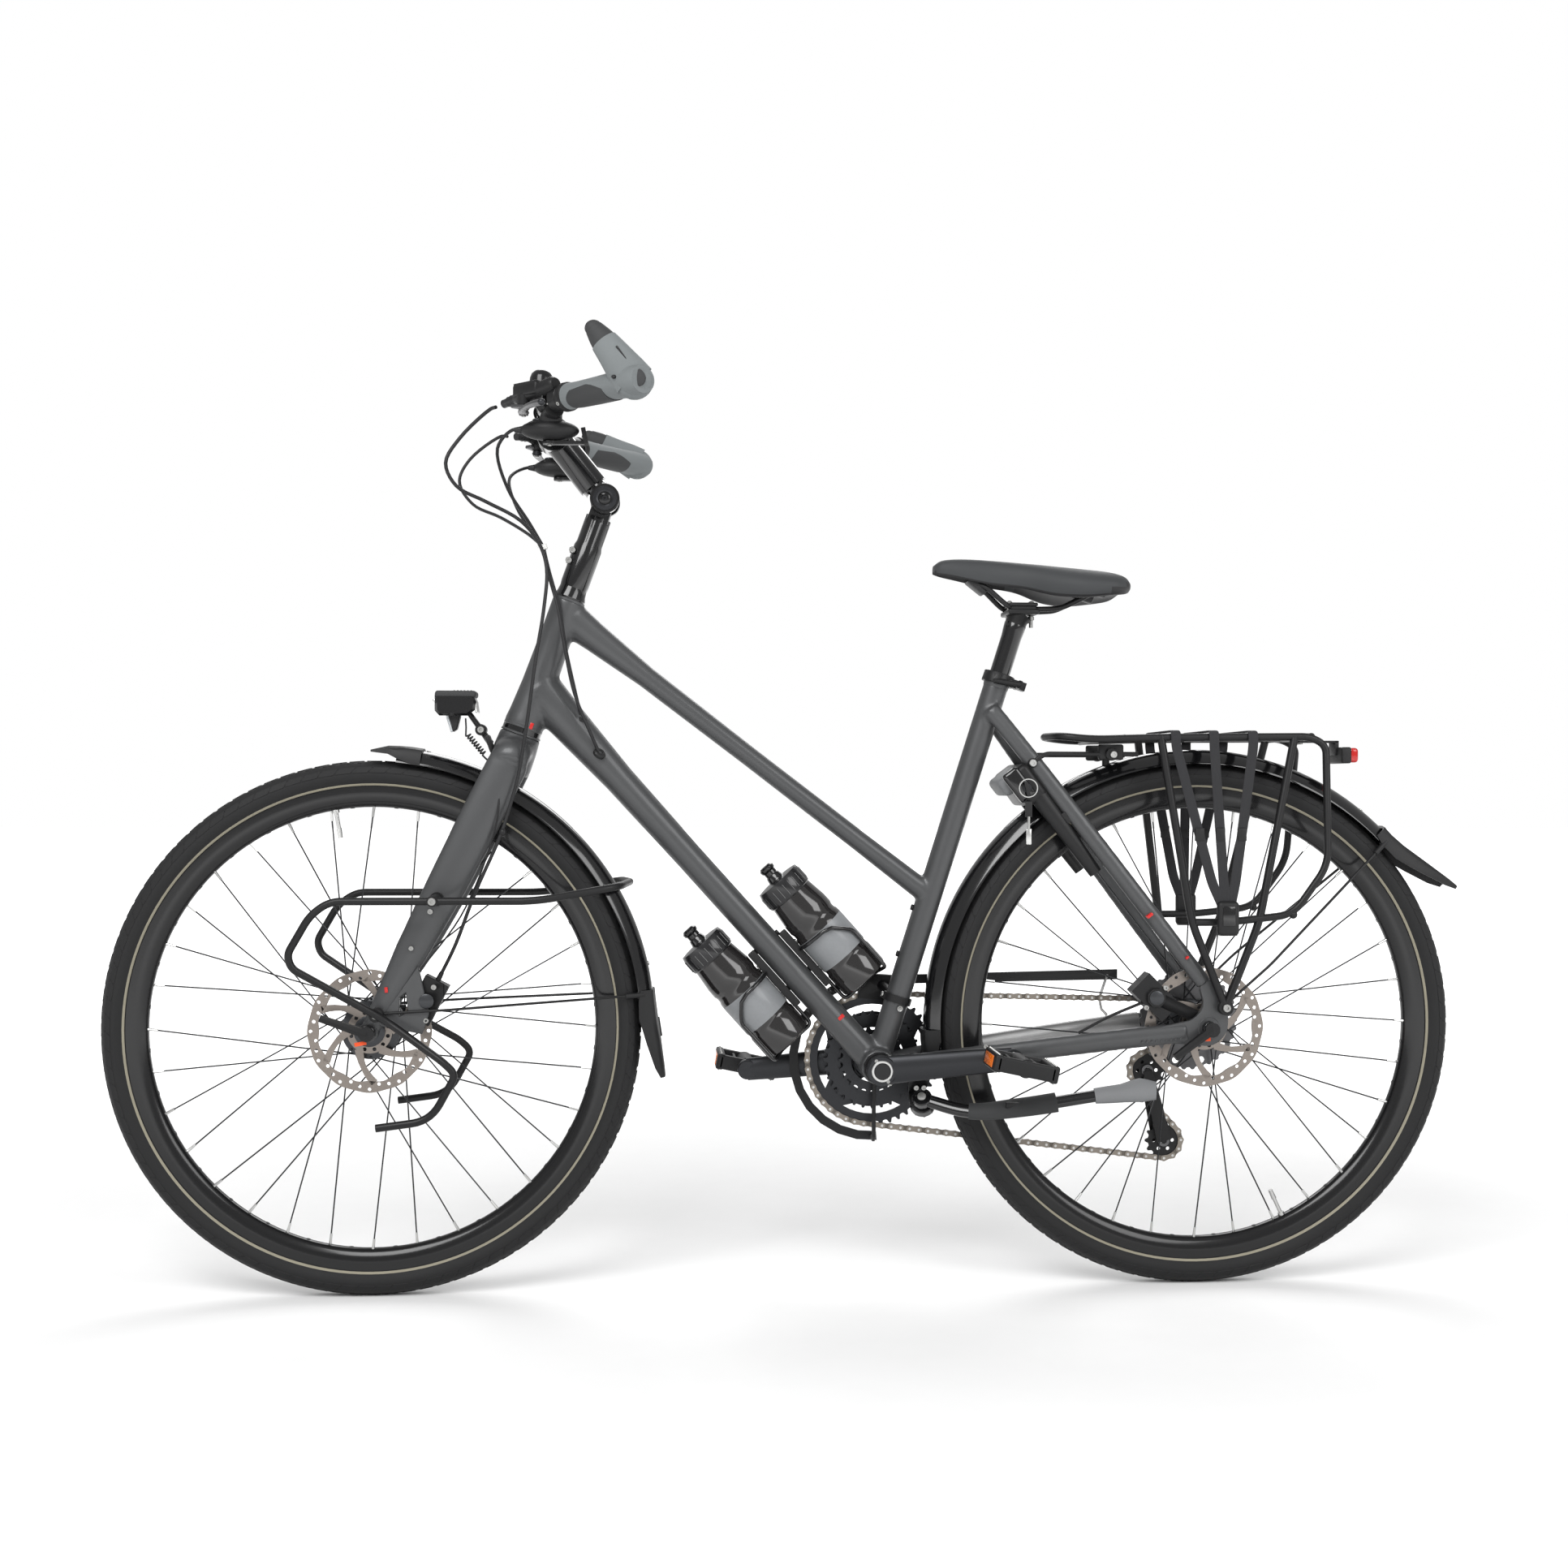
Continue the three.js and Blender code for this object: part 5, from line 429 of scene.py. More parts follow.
class BicycleColours(bpy.types.PropertyGroup):
    frame: colour("Frame", "Matte paint on the frame and the fork", (0.07, 0.0715, 0.0735))
    gloss: colour("Gloss black", "Lacquer on the stem, bar and mudguards", (0.004, 0.004, 0.0045))
    satin: colour("Satin black", "Anodised racks, brakes and changers", (0.007, 0.007, 0.0075))
    rubber: colour("Tyre", "Rubber of the tyres", (0.01, 0.01, 0.0105))
    stripe: colour("Tyre stripe", "Pale line on the tyre's side", (0.27, 0.25, 0.19))
    grip: colour("Grip", "Palm area of the grips", (0.15, 0.163, 0.166))
    grip_end: colour("Grip end", "Dark ends of the grips", (0.034, 0.035, 0.036))
    saddle: colour("Saddle", "Cover of the saddle", (0.036, 0.038, 0.04))
    disc: colour("Brake disc", "Steel of the brake discs", (0.25, 0.222, 0.2))
    chain: colour("Chain", "Plated steel of the chain", (0.27, 0.242, 0.21))
    bottle: colour("Bottle", "Smoky plastic of the bottles", (0.012, 0.011, 0.011))
    bottle_band: colour("Bottle band", "Pale band round the bottles", (0.2, 0.208, 0.216))
    lens: colour("Rear lens", "Red plastic of the rear lamp", (0.42, 0.008, 0.006))
    accent: colour("Accent", "Small red marks on the frame", (0.5, 0.012, 0.01))
    reflector: colour("Reflector", "Orange plastic on the pedals", (0.75, 0.16, 0.01))


class BicycleSizes(bpy.types.PropertyGroup):
    spoke: length("Spoke", "Radius of a spoke", 0.001, 0.0005, 0.002)
    block: length("Tread block", "Height of a block of the tread", 0.0011, 0.0, 0.003)
    stripe: length("Stripe", "Width of the pale line on the tyre", 0.0028, 0.0, 0.01)
    tooth: length("Tooth", "Height of a tooth above the pitch line", 0.0026, 0.001, 0.004)
    plate: length("Chain plate", "Height of a plate of the chain", 0.0086, 0.006, 0.01)
    hole: length("Disc hole", "Radius of a hole in the brake disc", 0.0024, 0.001, 0.004)
    strap: length("Strap", "Width of a strap over the rack", 0.013, 0.008, 0.02)
    blocks: bpy.props.IntProperty(
        name="Blocks", description="Blocks of the tread in one row", default=96, min=24, max=160)


# Finishes: kind of look, colour, metallic, roughness, coat, grain size, variation, relief
LOOKS = {
    "frame paint": ("grain", "frame", 0.45, 0.42, 0.15, 900, 0.04, 0.015),
    "gloss black": ("grain", "gloss", 0.0, 0.16, 0.6, 500, 0.05, 0.01),
    "satin black": ("grain", "satin", 0.0, 0.42, 0.0, 900, 0.12, 0.05),
    "black plastic": ("grain", (0.01, 0.01, 0.0105), 0.0, 0.5, 0.0, 1400, 0.12, 0.12),
    "rubber": ("grain", "rubber", 0.0, 0.66, 0.0, 700, 0.2, 0.14),
    "stripe": ("grain", "stripe", 0.0, 0.62, 0.0, 800, 0.12, 0.06),
    "rim black": ("grain", (0.006, 0.006, 0.0065), 0.0, 0.2, 0.2, 500, 0.05, 0.01),
    "spoke steel": ("brushed", (0.035, 0.036, 0.038), 0.85, 0.34, 0.0, 600, 0.1, 0.02),
    "bright steel": ("brushed", (0.56, 0.56, 0.55), 1.0, 0.3, 0.0, 700, 0.1, 0.03),
    "bolt steel": ("brushed", (0.36, 0.36, 0.35), 1.0, 0.38, 0.0, 1500, 0.16, 0.04),
    "hub dark": ("brushed", (0.05, 0.052, 0.056), 0.8, 0.38, 0.2, 500, 0.12, 0.02),
    "disc steel": ("brushed", "disc", 1.0, 0.4, 0.0, 900, 0.2, 0.05),
    "chain": ("brushed", "chain", 1.0, 0.42, 0.0, 1300, 0.2, 0.05),
    "chain dark": ("brushed", (0.15, 0.135, 0.118), 0.95, 0.46, 0.0, 1300, 0.2, 0.06),
    "drive metal": ("brushed", (0.13, 0.13, 0.134), 0.95, 0.36, 0.0, 600, 0.16, 0.04),
    "drive dark": ("brushed", (0.04, 0.041, 0.044), 0.85, 0.38, 0.0, 600, 0.14, 0.03),
    "grip": ("grain", "grip", 0.0, 0.74, 0.0, 1500, 0.1, 0.2),
    "grip end": ("grain", "grip_end", 0.0, 0.68, 0.0, 1500, 0.12, 0.16),
    "saddle": ("grain", "saddle", 0.0, 0.6, 0.0, 1100, 0.14, 0.16),
    "saddle base": ("grain", (0.014, 0.014, 0.015), 0.0, 0.5, 0.0, 900, 0.12, 0.08),
    "bottle": ("grain", "bottle", 0.0, 0.12, 0.8, 120, 0.12, 0.01),
    "bottle cap": ("grain", (0.01, 0.01, 0.011), 0.0, 0.25, 0.4, 900, 0.1, 0.05),
    "bottle band": ("grain", "bottle_band", 0.0, 0.36, 0.2, 260, 0.08, 0.01),
    "strap": ("woven", (0.02, 0.02, 0.022), 0.0, 0.72, 0.0, 900, 0.35, 0.3),
    "red lens": ("grain", "lens", 0.0, 0.16, 0.7, 300, 0.12, 0.02),
    "clear lens": ("grain", (0.55, 0.58, 0.6), 0.3, 0.12, 1.0, 300, 0.1, 0.02),
    "reflector": ("facets", "reflector", 0.0, 0.24, 0.6, 420, 0.35, 0.3),
    "white tie": ("grain", (0.72, 0.72, 0.7), 0.0, 0.5, 0.0, 900, 0.05, 0.04),
    "accent": ("grain", "accent", 0.0, 0.4, 0.3, 700, 0.06, 0.02),
    "orange mark": ("grain", (0.8, 0.09, 0.02), 0.0, 0.5, 0.0, 700, 0.06, 0.02),
    "cable": ("grain", (0.013, 0.013, 0.014), 0.0, 0.46, 0.0, 1500, 0.12, 0.06),
    "stand grey": ("grain", (0.16, 0.165, 0.17), 0.0, 0.58, 0.0, 900, 0.1, 0.1),
    "protector": ("brushed", (0.3, 0.3, 0.3), 0.9, 0.42, 0.0, 600, 0.15, 0.04),
    "floor": ("grain", (0.88, 0.88, 0.88), 0.0, 0.85, 0.0, 30, 0.01, 0.0),
}


class Finishes:
    """Node materials, each built once when it is first asked for."""

    def __init__(self):
        self.made, self.groups = {}, {}

    def group(self, kind):
        """A shared effect: takes a colour, gives back that colour varied, a roughness and a normal."""
        if kind in self.groups:
            return self.groups[kind]
        tree = bpy.data.node_groups.new(kind.capitalize() + " surface", "ShaderNodeTree")
        face = tree.interface
        for label, sort, value in (
            ("Colour", "NodeSocketColor", (0.5, 0.5, 0.5, 1)), ("Roughness", "NodeSocketFloat", 0.5),
            ("Scale", "NodeSocketFloat", 500.0), ("Variation", "NodeSocketFloat", 0.1),
            ("Relief", "NodeSocketFloat", 0.1),):
            face.new_socket(name=label, in_out="INPUT", socket_type=sort).default_value = value
        face.new_socket(name="Colour", in_out="OUTPUT", socket_type="NodeSocketColor")
        face.new_socket(name="Roughness", in_out="OUTPUT", socket_type="NodeSocketFloat")
        face.new_socket(name="Normal", in_out="OUTPUT", socket_type="NodeSocketVector")
        nodes, links = tree.nodes, tree.links
        start, end = nodes.new("NodeGroupInput"), nodes.new("NodeGroupOutput")
        where = nodes.new("ShaderNodeTexCoord")
        stretch = nodes.new("ShaderNodeMapping")
        stretch.inputs["Scale"].default_value = (1, 8, 1) if kind == "brushed" else (1, 1, 1)
        links.new(where.outputs["Object"], stretch.inputs["Vector"])
        if kind == "facets":
            fine = nodes.new("ShaderNodeTexVoronoi")
            links.new(stretch.outputs["Vector"], fine.inputs["Vector"])
            links.new(start.outputs["Scale"], fine.inputs["Scale"])
            value = fine.outputs["Distance"]
        elif kind == "woven":
            fine = nodes.new("ShaderNodeTexWave")
            fine.bands_direction = "DIAGONAL"
            fine.inputs["Distortion"].default_value = 0.4
            links.new(stretch.outputs["Vector"], fine.inputs["Vector"])
            links.new(start.outputs["Scale"], fine.inputs["Scale"])
            value = fine.outputs["Fac"]
        else:
            fine = nodes.new("ShaderNodeTexNoise")
            fine.inputs["Detail"].default_value = 3.0
            links.new(stretch.outputs["Vector"], fine.inputs["Vector"])
            links.new(start.outputs["Scale"], fine.inputs["Scale"])
            value = fine.outputs["Fac"]
        broad = nodes.new("ShaderNodeTexNoise")
        broad.inputs["Scale"].default_value = 11.0
        links.new(where.outputs["Object"], broad.inputs["Vector"])
        both = nodes.new("ShaderNodeMath")
        both.operation = "MULTIPLY_ADD"
        both.inputs[1].default_value = 0.5
        links.new(broad.outputs["Fac"], both.inputs[0])
        half = nodes.new("ShaderNodeMath")
        half.operation = "MULTIPLY"
        half.inputs[1].default_value = 0.5
        links.new(value, half.inputs[0])
        links.new(half.outputs[0], both.inputs[2])
        spread = nodes.new("ShaderNodeMapRange")
        spread.inputs["From Min"].default_value, spread.inputs["From Max"].default_value = 0.2, 0.8
        for label, sign in (("To Min", -1), ("To Max", 1)):
            scaled = nodes.new("ShaderNodeMath")
            scaled.operation = "MULTIPLY_ADD"
            scaled.inputs[1].default_value, scaled.inputs[2].default_value = sign, 1.0
            links.new(start.outputs["Variation"], scaled.inputs[0])
            links.new(scaled.outputs[0], spread.inputs[label])
        links.new(both.outputs[0], spread.inputs["Value"])
        tint = nodes.new("ShaderNodeVectorMath")
        tint.operation = "SCALE"
        links.new(start.outputs["Colour"], tint.inputs[0])
        links.new(spread.outputs["Result"], tint.inputs["Scale"])
        links.new(tint.outputs["Vector"], end.inputs["Colour"])
        rough = nodes.new("ShaderNodeMath")
        rough.operation = "MULTIPLY"
        links.new(start.outputs["Roughness"], rough.inputs[0])
        links.new(spread.outputs["Result"], rough.inputs[1])
        links.new(rough.outputs[0], end.inputs["Roughness"])
        relief = nodes.new("ShaderNodeBump")
        relief.inputs["Distance"].default_value = 0.0004
        links.new(start.outputs["Relief"], relief.inputs["Strength"])
        links.new(value, relief.inputs["Height"])
        links.new(relief.outputs["Normal"], end.inputs["Normal"])
        self.groups[kind] = tree
        return tree

    def material(self, name):
        if name in self.made:
            return self.made[name]
        kind, value, metallic, rough, coat, scale, variation, relief = LOOKS[name]
        if isinstance(value, str):
            value = tuple(getattr(bpy.context.scene.bicycle_colours, value))
        made = bpy.data.materials.new(name.capitalize())
        made.use_nodes = True
        nodes, links = made.node_tree.nodes, made.node_tree.links
        shader = nodes["Principled BSDF"]
        effect = nodes.new("ShaderNodeGroup")
        effect.node_tree = self.group(kind)
        effect.inputs["Colour"].default_value = (*value, 1)
        for label, number in (("Roughness", rough), ("Scale", scale), ("Variation", variation), ("Relief", relief)):
            effect.inputs[label].default_value = number
        links.new(effect.outputs["Colour"], shader.inputs["Base Color"])
        links.new(effect.outputs["Roughness"], shader.inputs["Roughness"])
        links.new(effect.outputs["Normal"], shader.inputs["Normal"])
        shader.inputs["Metallic"].default_value = metallic
        shader.inputs["Coat Weight"].default_value = coat
        shader.inputs["Coat Roughness"].default_value = 0.08
        shader.inputs["Specular IOR Level"].default_value = 0.32
        made.diffuse_color = (*value, 1)
        self.made[name] = made
        return made


FINISHES = Finishes()


def solids(*nodes):
    """One bmesh, in millimetres, with copies of the named solids in it."""
    bm = bmesh.new()
    for node in nodes:
        for source in bpy.context.scene.objects:
            if source.get("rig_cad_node") == node:
                mesh = source.data.copy()
                mesh.transform(PLACE.inverted() @ source.matrix_world)
                bm.from_mesh(mesh)
                bpy.data.meshes.remove(mesh)
    return bm


def refined(node, body, finish, bevel=0.5, crease=46, extra=None, areas=()):
    """A solid with its flats cleaned, its edges rounded and small parts added to it."""
    bm = solids(node)
    bmesh.ops.remove_doubles(bm, verts=bm.verts[:], dist=0.004)
    bmesh.ops.dissolve_limit(bm, angle_limit=radians(1.0), verts=bm.verts[:], edges=bm.edges[:])
    if bevel:
        soften(bm, bevel, 1, angle=crease)
    finishes = [finish] + [look for look, _ in areas]
    for face in bm.faces:
        centre = face.calc_center_median()
        face.material_index = 0
        for i, (_, test) in enumerate(areas):
            if test(centre):
                face.material_index = i + 1
    shape = Shape()
    shape.add(bm, finishes if len(finishes) > 1 else finish)
    if extra:
        extra(shape)
    return shape.done(node + "_shape", body, [node], crease=crease)


# Frame and fork


def chainstay(side):
    b = BRACKET
    return [
        V(b.x + 11.75, side * 22.4, b.z), V(b.x + CHAINSTAY * 0.18, side * 37, b.z + DROP * 0.17),
        V(b.x + CHAINSTAY * 0.32, side * 46.5, b.z + DROP * 0.32),
        V(b.x + CHAINSTAY * 0.78, side * DROPOUT_FACE, b.z + DROP * 0.78),
        V(REAR_AXLE.x - 28.5, side * 71, REAR_AXLE.z - 5.4)]


def seatstay(side):
    top, end = SEAT(500), V(REAR_AXLE.x - 5.7, 0, REAR_AXLE.z + 58.9)
    return [
        set_y(top.lerp(end, s), side * y) for s, y in ((0, 16.8), (0.13, 29.6), (0.3, 42.5), (0.7, 60.5), (1, 71))]


DROPOUT = [(-0.72, -0.19), (0.07, -0.25), (0.27, -0.06), (0.27, 0.36), (0.06, 0.71),
           (-0.15, 0.62), (-0.06, 0.31), (-0.21, 0.12), (-0.72, 0.02)]
RACK_BOLT = V(REAR_AXLE.x + 19, 0, REAR_AXLE.z + 28.5)
CHANGER_FOOT = V(REAR_AXLE.x + 5.7, 0, REAR_AXLE.z - 36.1)


def build_frame():
    body = "frame"
    tubes = Shape()
    tubes.add(lathe([(0, 0), (26.4, 0), (26.4, 8), (25, 20), (22.6, 60), (21.4, 120), (21.4, 181), (0, 181)],
                    HEAD(437), HEAD_WAY, 48), "frame paint")
    tubes.add(
        sweep(
            [DOWN(s) for s in (0, 60, 160, 300, 480, 600, DOWN_LENGTH)],
            [(25, 31), (23.5, 26), (22, 20.5), (21.5, 18.8), (21.5, 18.8), (22, 19), (23, 20)], 36, across=ACROSS),
        "frame paint")
    top = [HEAD(598).lerp(SEAT(237), t) for t in (0, 0.08, 0.22, 0.5, 0.8, 1)]
    tubes.add(
        sweep(top, [(18, 25), (16.5, 20), (15, 14.6), (14.8, 13.2), (14.8, 13.4), (15.4, 15)], 32, across=ACROSS),
        "frame paint")
    tubes.add(sweep([BRACKET, SEAT(536)], 16.8, 32), "frame paint")
    tubes.add(
        lathe([(0, -34), (22.6, -34), (23.5, -33), (23.5, 33), (22.6, 34), (0, 34)], BRACKET, ACROSS, 40),
        "frame paint")
    for side in (-1, 1):
        stay = flowing(chainstay(side), 5)
        tubes.add(
            sweep(stay, [(9.2, 12.4), (9.6, 13.8), (9.6, 14.2), (9, 14), (7.6, 13)], 18, across=ACROSS),
            "frame paint")
        tubes.add(
            sweep(
                flowing(seatstay(side), 5), [(8.4, 12), (8.8, 12), (8.8, 12), (8.6, 11.8), (7, 11.4)], 18,
                across=ACROSS),
            "frame paint")
    bridge = set_y(seatstay(1)[0].lerp(seatstay(1)[4], 0.235), 0)
    tubes.add(pin(set_y(bridge, -37), set_y(bridge, 37), 6.5), "frame paint")
    low = V(BRACKET.x + 54.5, 0, BRACKET.z + 5.4)
    tubes.add(pin(set_y(low, -33), set_y(low, 33), 6.5), "frame paint")
    skin = melted(tubes, "frame_tubes", body, 2.4, 12)

    crisp = Shape()
    crisp.add(lathe([(17.4, 0), (26.2, 0), (26.2, 3), (25, 4)], HEAD(437), HEAD_WAY, 48), "frame paint")
    crisp.add(lathe([(17.4, 0), (21.6, 0), (21.6, -3), (20.6, -4)], HEAD(618), HEAD_WAY, 48), "frame paint")
    crisp.add(lathe([(13.9, 0), (17.2, 0), (17.4, -2), (16.8, -6)], SEAT(536.4), SEAT_WAY, 36), "frame paint")
    for side in (-1, 1):
        plate = [(REAR_AXLE.x + 95 * x, REAR_AXLE.z + 95 * z) for x, z in DROPOUT]
        rounded = flat(bent([V(x, 0, z) for x, z in plate] + [V(plate[0][0], 0, plate[0][1])], 12, 4, 15))[:-1]
        hole = ring_points(V(REAR_AXLE.x - 40, 0, REAR_AXLE.z - 9), 4.5, 16)
        crisp.add(slab(rounded, 7, side * 71, [hole], 1.0), "frame paint")
        crisp.add(disc(REAR_AXLE, 15, side * DROPOUT_FACE, side * 75.2, 32, 0.8), "frame paint")
        crisp.add(disc(RACK_BOLT, 9, side * 68, side * 74.8, 24, 0.6), "frame paint")
    foot = set_y(CHANGER_FOOT.lerp(REAR_AXLE, 0.3), 71)
    crisp.add(box(foot, (40, 7, 20), 99, bevel=1.5), "frame paint")
    # Cable ports, bosses, gussets and small bolts along the tubes
    for place in (V(271.6, -13, 758.7), V(295.6, -24, 712.4)):
        crisp.add(
            lathe([(3.4, -3), (8.4, -3), (8.4, 0.6), (6.6, 2.4), (3.4, 2.8)], place, V(0.45, -0.55, 0.6), 24),
            "black plastic")
    for run in (455, 520, 562):
        for sign in (-1, 1):
            crisp.bolt(DOWN(run, 0, sign * 18.4), (DOWN(0, 0, sign) - DOWN(0)), 4, 3.4, "satin black")
    for run in (150, 215):
        crisp.bolt(SEAT(run, 0, 16.4), SEAT(0, 0, 1) - SEAT(0), 4, 3.2, "satin black")
    crisp.bolt(V(804, -54, 326), V(0, -1, 0.3), 3.2, 2.6)
    for place, size, angle in (
        (V(1018.6, -70, 500.2), (4, 12, 9), -52), (V(1067.6, -76, 444.8), (3, 6, 5), -52),
        (V(614.1, -17, 361), (5, 9, 14), DOWN_ANGLE), (HEAD(443, -20.6, -11), (5, 8, 8.6), -20)):
        crisp.add(box(place, size, angle, bevel=0.8), "accent")
    for k in range(9):
        ridge = V(1008 + 6.4 * k, -71, 342.5 + 0.5 * k)
        crisp.add(pin(ridge - V(1, 5, 10), ridge + V(1, -5.6, -7), 1.5, sides=8, bevel=0.4), "frame paint")
    shield = flowing(chainstay(1), 4)[7:15]
    crisp.add(sweep([p + V(0, 0, 0.4) for p in shield], [(9.9, 13.6), (9.9, 14.2)], 22, across=ACROSS), "protector")
    rest = crisp.done("frame_fittings", body)
    return joined(skin, rest, "frame_shape", body, ["frame"])


def joined(first, second, name, body, nodes):
    """Puts two finished pieces of one body into one object."""
    mesh, bm, slots = bpy.data.meshes.new(name), bmesh.new(), []
    for piece in (first, second):
        start = len(bm.faces)
        bm.from_mesh(piece.data)
        bm.faces.ensure_lookup_table()
        for face in bm.faces[start:]:
            material = piece.data.materials[face.material_index]
            if material not in slots:
                slots.append(material)
            face.material_index = slots.index(material)
        bpy.data.objects.remove(piece)
    bm.to_mesh(mesh)
    bm.free()
    for material in slots:
        mesh.materials.append(material)
    return put(bpy.data.objects.new(name, mesh), body, nodes)


def leg_line(run, y=0.0, off=0.0):
    top = HEAD(384)
    return line_from(FRONT_AXLE, degrees(atan2(top.z - FRONT_AXLE.z, top.x - FRONT_AXLE.x)))(run, y, off)


LEG_BOLT = leg_line(27.3)


def build_fork():
    body = "steering"
    top, middle = HEAD(384), HEAD(403)
    skin = Shape()
    skin.add(
        lathe([(0, -2), (27, -2), (29, 6), (28.5, 30), (27, 50), (0, 50)], HEAD(378), HEAD_WAY, 44), "frame paint")
    for side in (-1, 1):
        shoulder = [
            set_y(middle, side * 4), set_y(middle, side * 22), set_y(HEAD(399), side * 35),
            set_y(HEAD(388), side * 40.5)]
        skin.add(
            sweep(flowing(shoulder, 5), [(26, 22), (26, 21), (25.4, 18), (25, 14)], 28, across=V(1, 0, 0)),
            "frame paint")
        end = set_y(FRONT_AXLE, side * 54)
        path = [set_y(HEAD(392), side * 40)] + [
            set_y(top, side * 40).lerp(end, t) + V(bow, 0, 0)
            for t, bow in ((0, 0), (0.2, 1.2), (0.45, 2.4), (0.7, 1.6), (0.88, 0), (0.985, 0))]
        skin.add(
            sweep(
                path, [(10, 25.6), (11.2, 27), (11.4, 28), (11, 26.4), (9.6, 21.8), (7.4, 14.6), (5, 12.4)], 28,
                across=ACROSS),
            "frame paint")
    skin = melted(skin, "fork_skin", body, 2.0, 14)

    crisp = Shape()
    crisp.add(pin(HEAD(420), HEAD(690), 14.3, sides=32), "drive dark")
    crisp.add(lathe([(15, 0), (27, 0), (27, 2), (26, 3)], HEAD(427.5), HEAD_WAY, 44), "frame paint")
    for side in (-1, 1):
        crisp.add(disc(FRONT_AXLE, 13, side * 50, side * 58, 32, 0.8), "frame paint")
        crisp.add(disc(FRONT_AXLE, 9.5, side * 57.6, side * 59, 28, 0.3), "hub dark")
        crisp.bolt(leg_line(175, side * 60.5), V(0, side, 0), 3.6, 2.6)
        crisp.bolt(leg_line(122, side * 61.6), V(0, side, 0), 3.2, 2.2)
    near, far = leg_line(13, 0, -4.2), leg_line(101.5, 0, -9.4)
    mount = [(near.x, near.z), (69.3, 348.4), (77.8, 374.8), (far.x + 9.4, far.z)]
    crisp.add(slab(mount, 7.2, -54, [[(40, 396), (48, 402), (51, 378), (40, 372)]], 1.0), "frame paint")
    crisp.add(box(leg_line(60, -60.6, 4), (7, 1.4, 4), 95, bevel=0.2), "accent")
    crisp.bolt(V(74, -50, 366), -ACROSS, 3.4, 9)
    rest = crisp.done("fork_fittings", body)
    return joined(skin, rest, "fork_shape", body, ["fork"])


# Wheels


def around(centre, count, start=0.0):
    """Places turned evenly about a wheel's axle."""
    move = Matrix.Translation(centre)
    return [move @ Matrix.Rotation(2 * pi * (i + start) / count, 4, "Y") @ move.inverted() for i in range(count)]


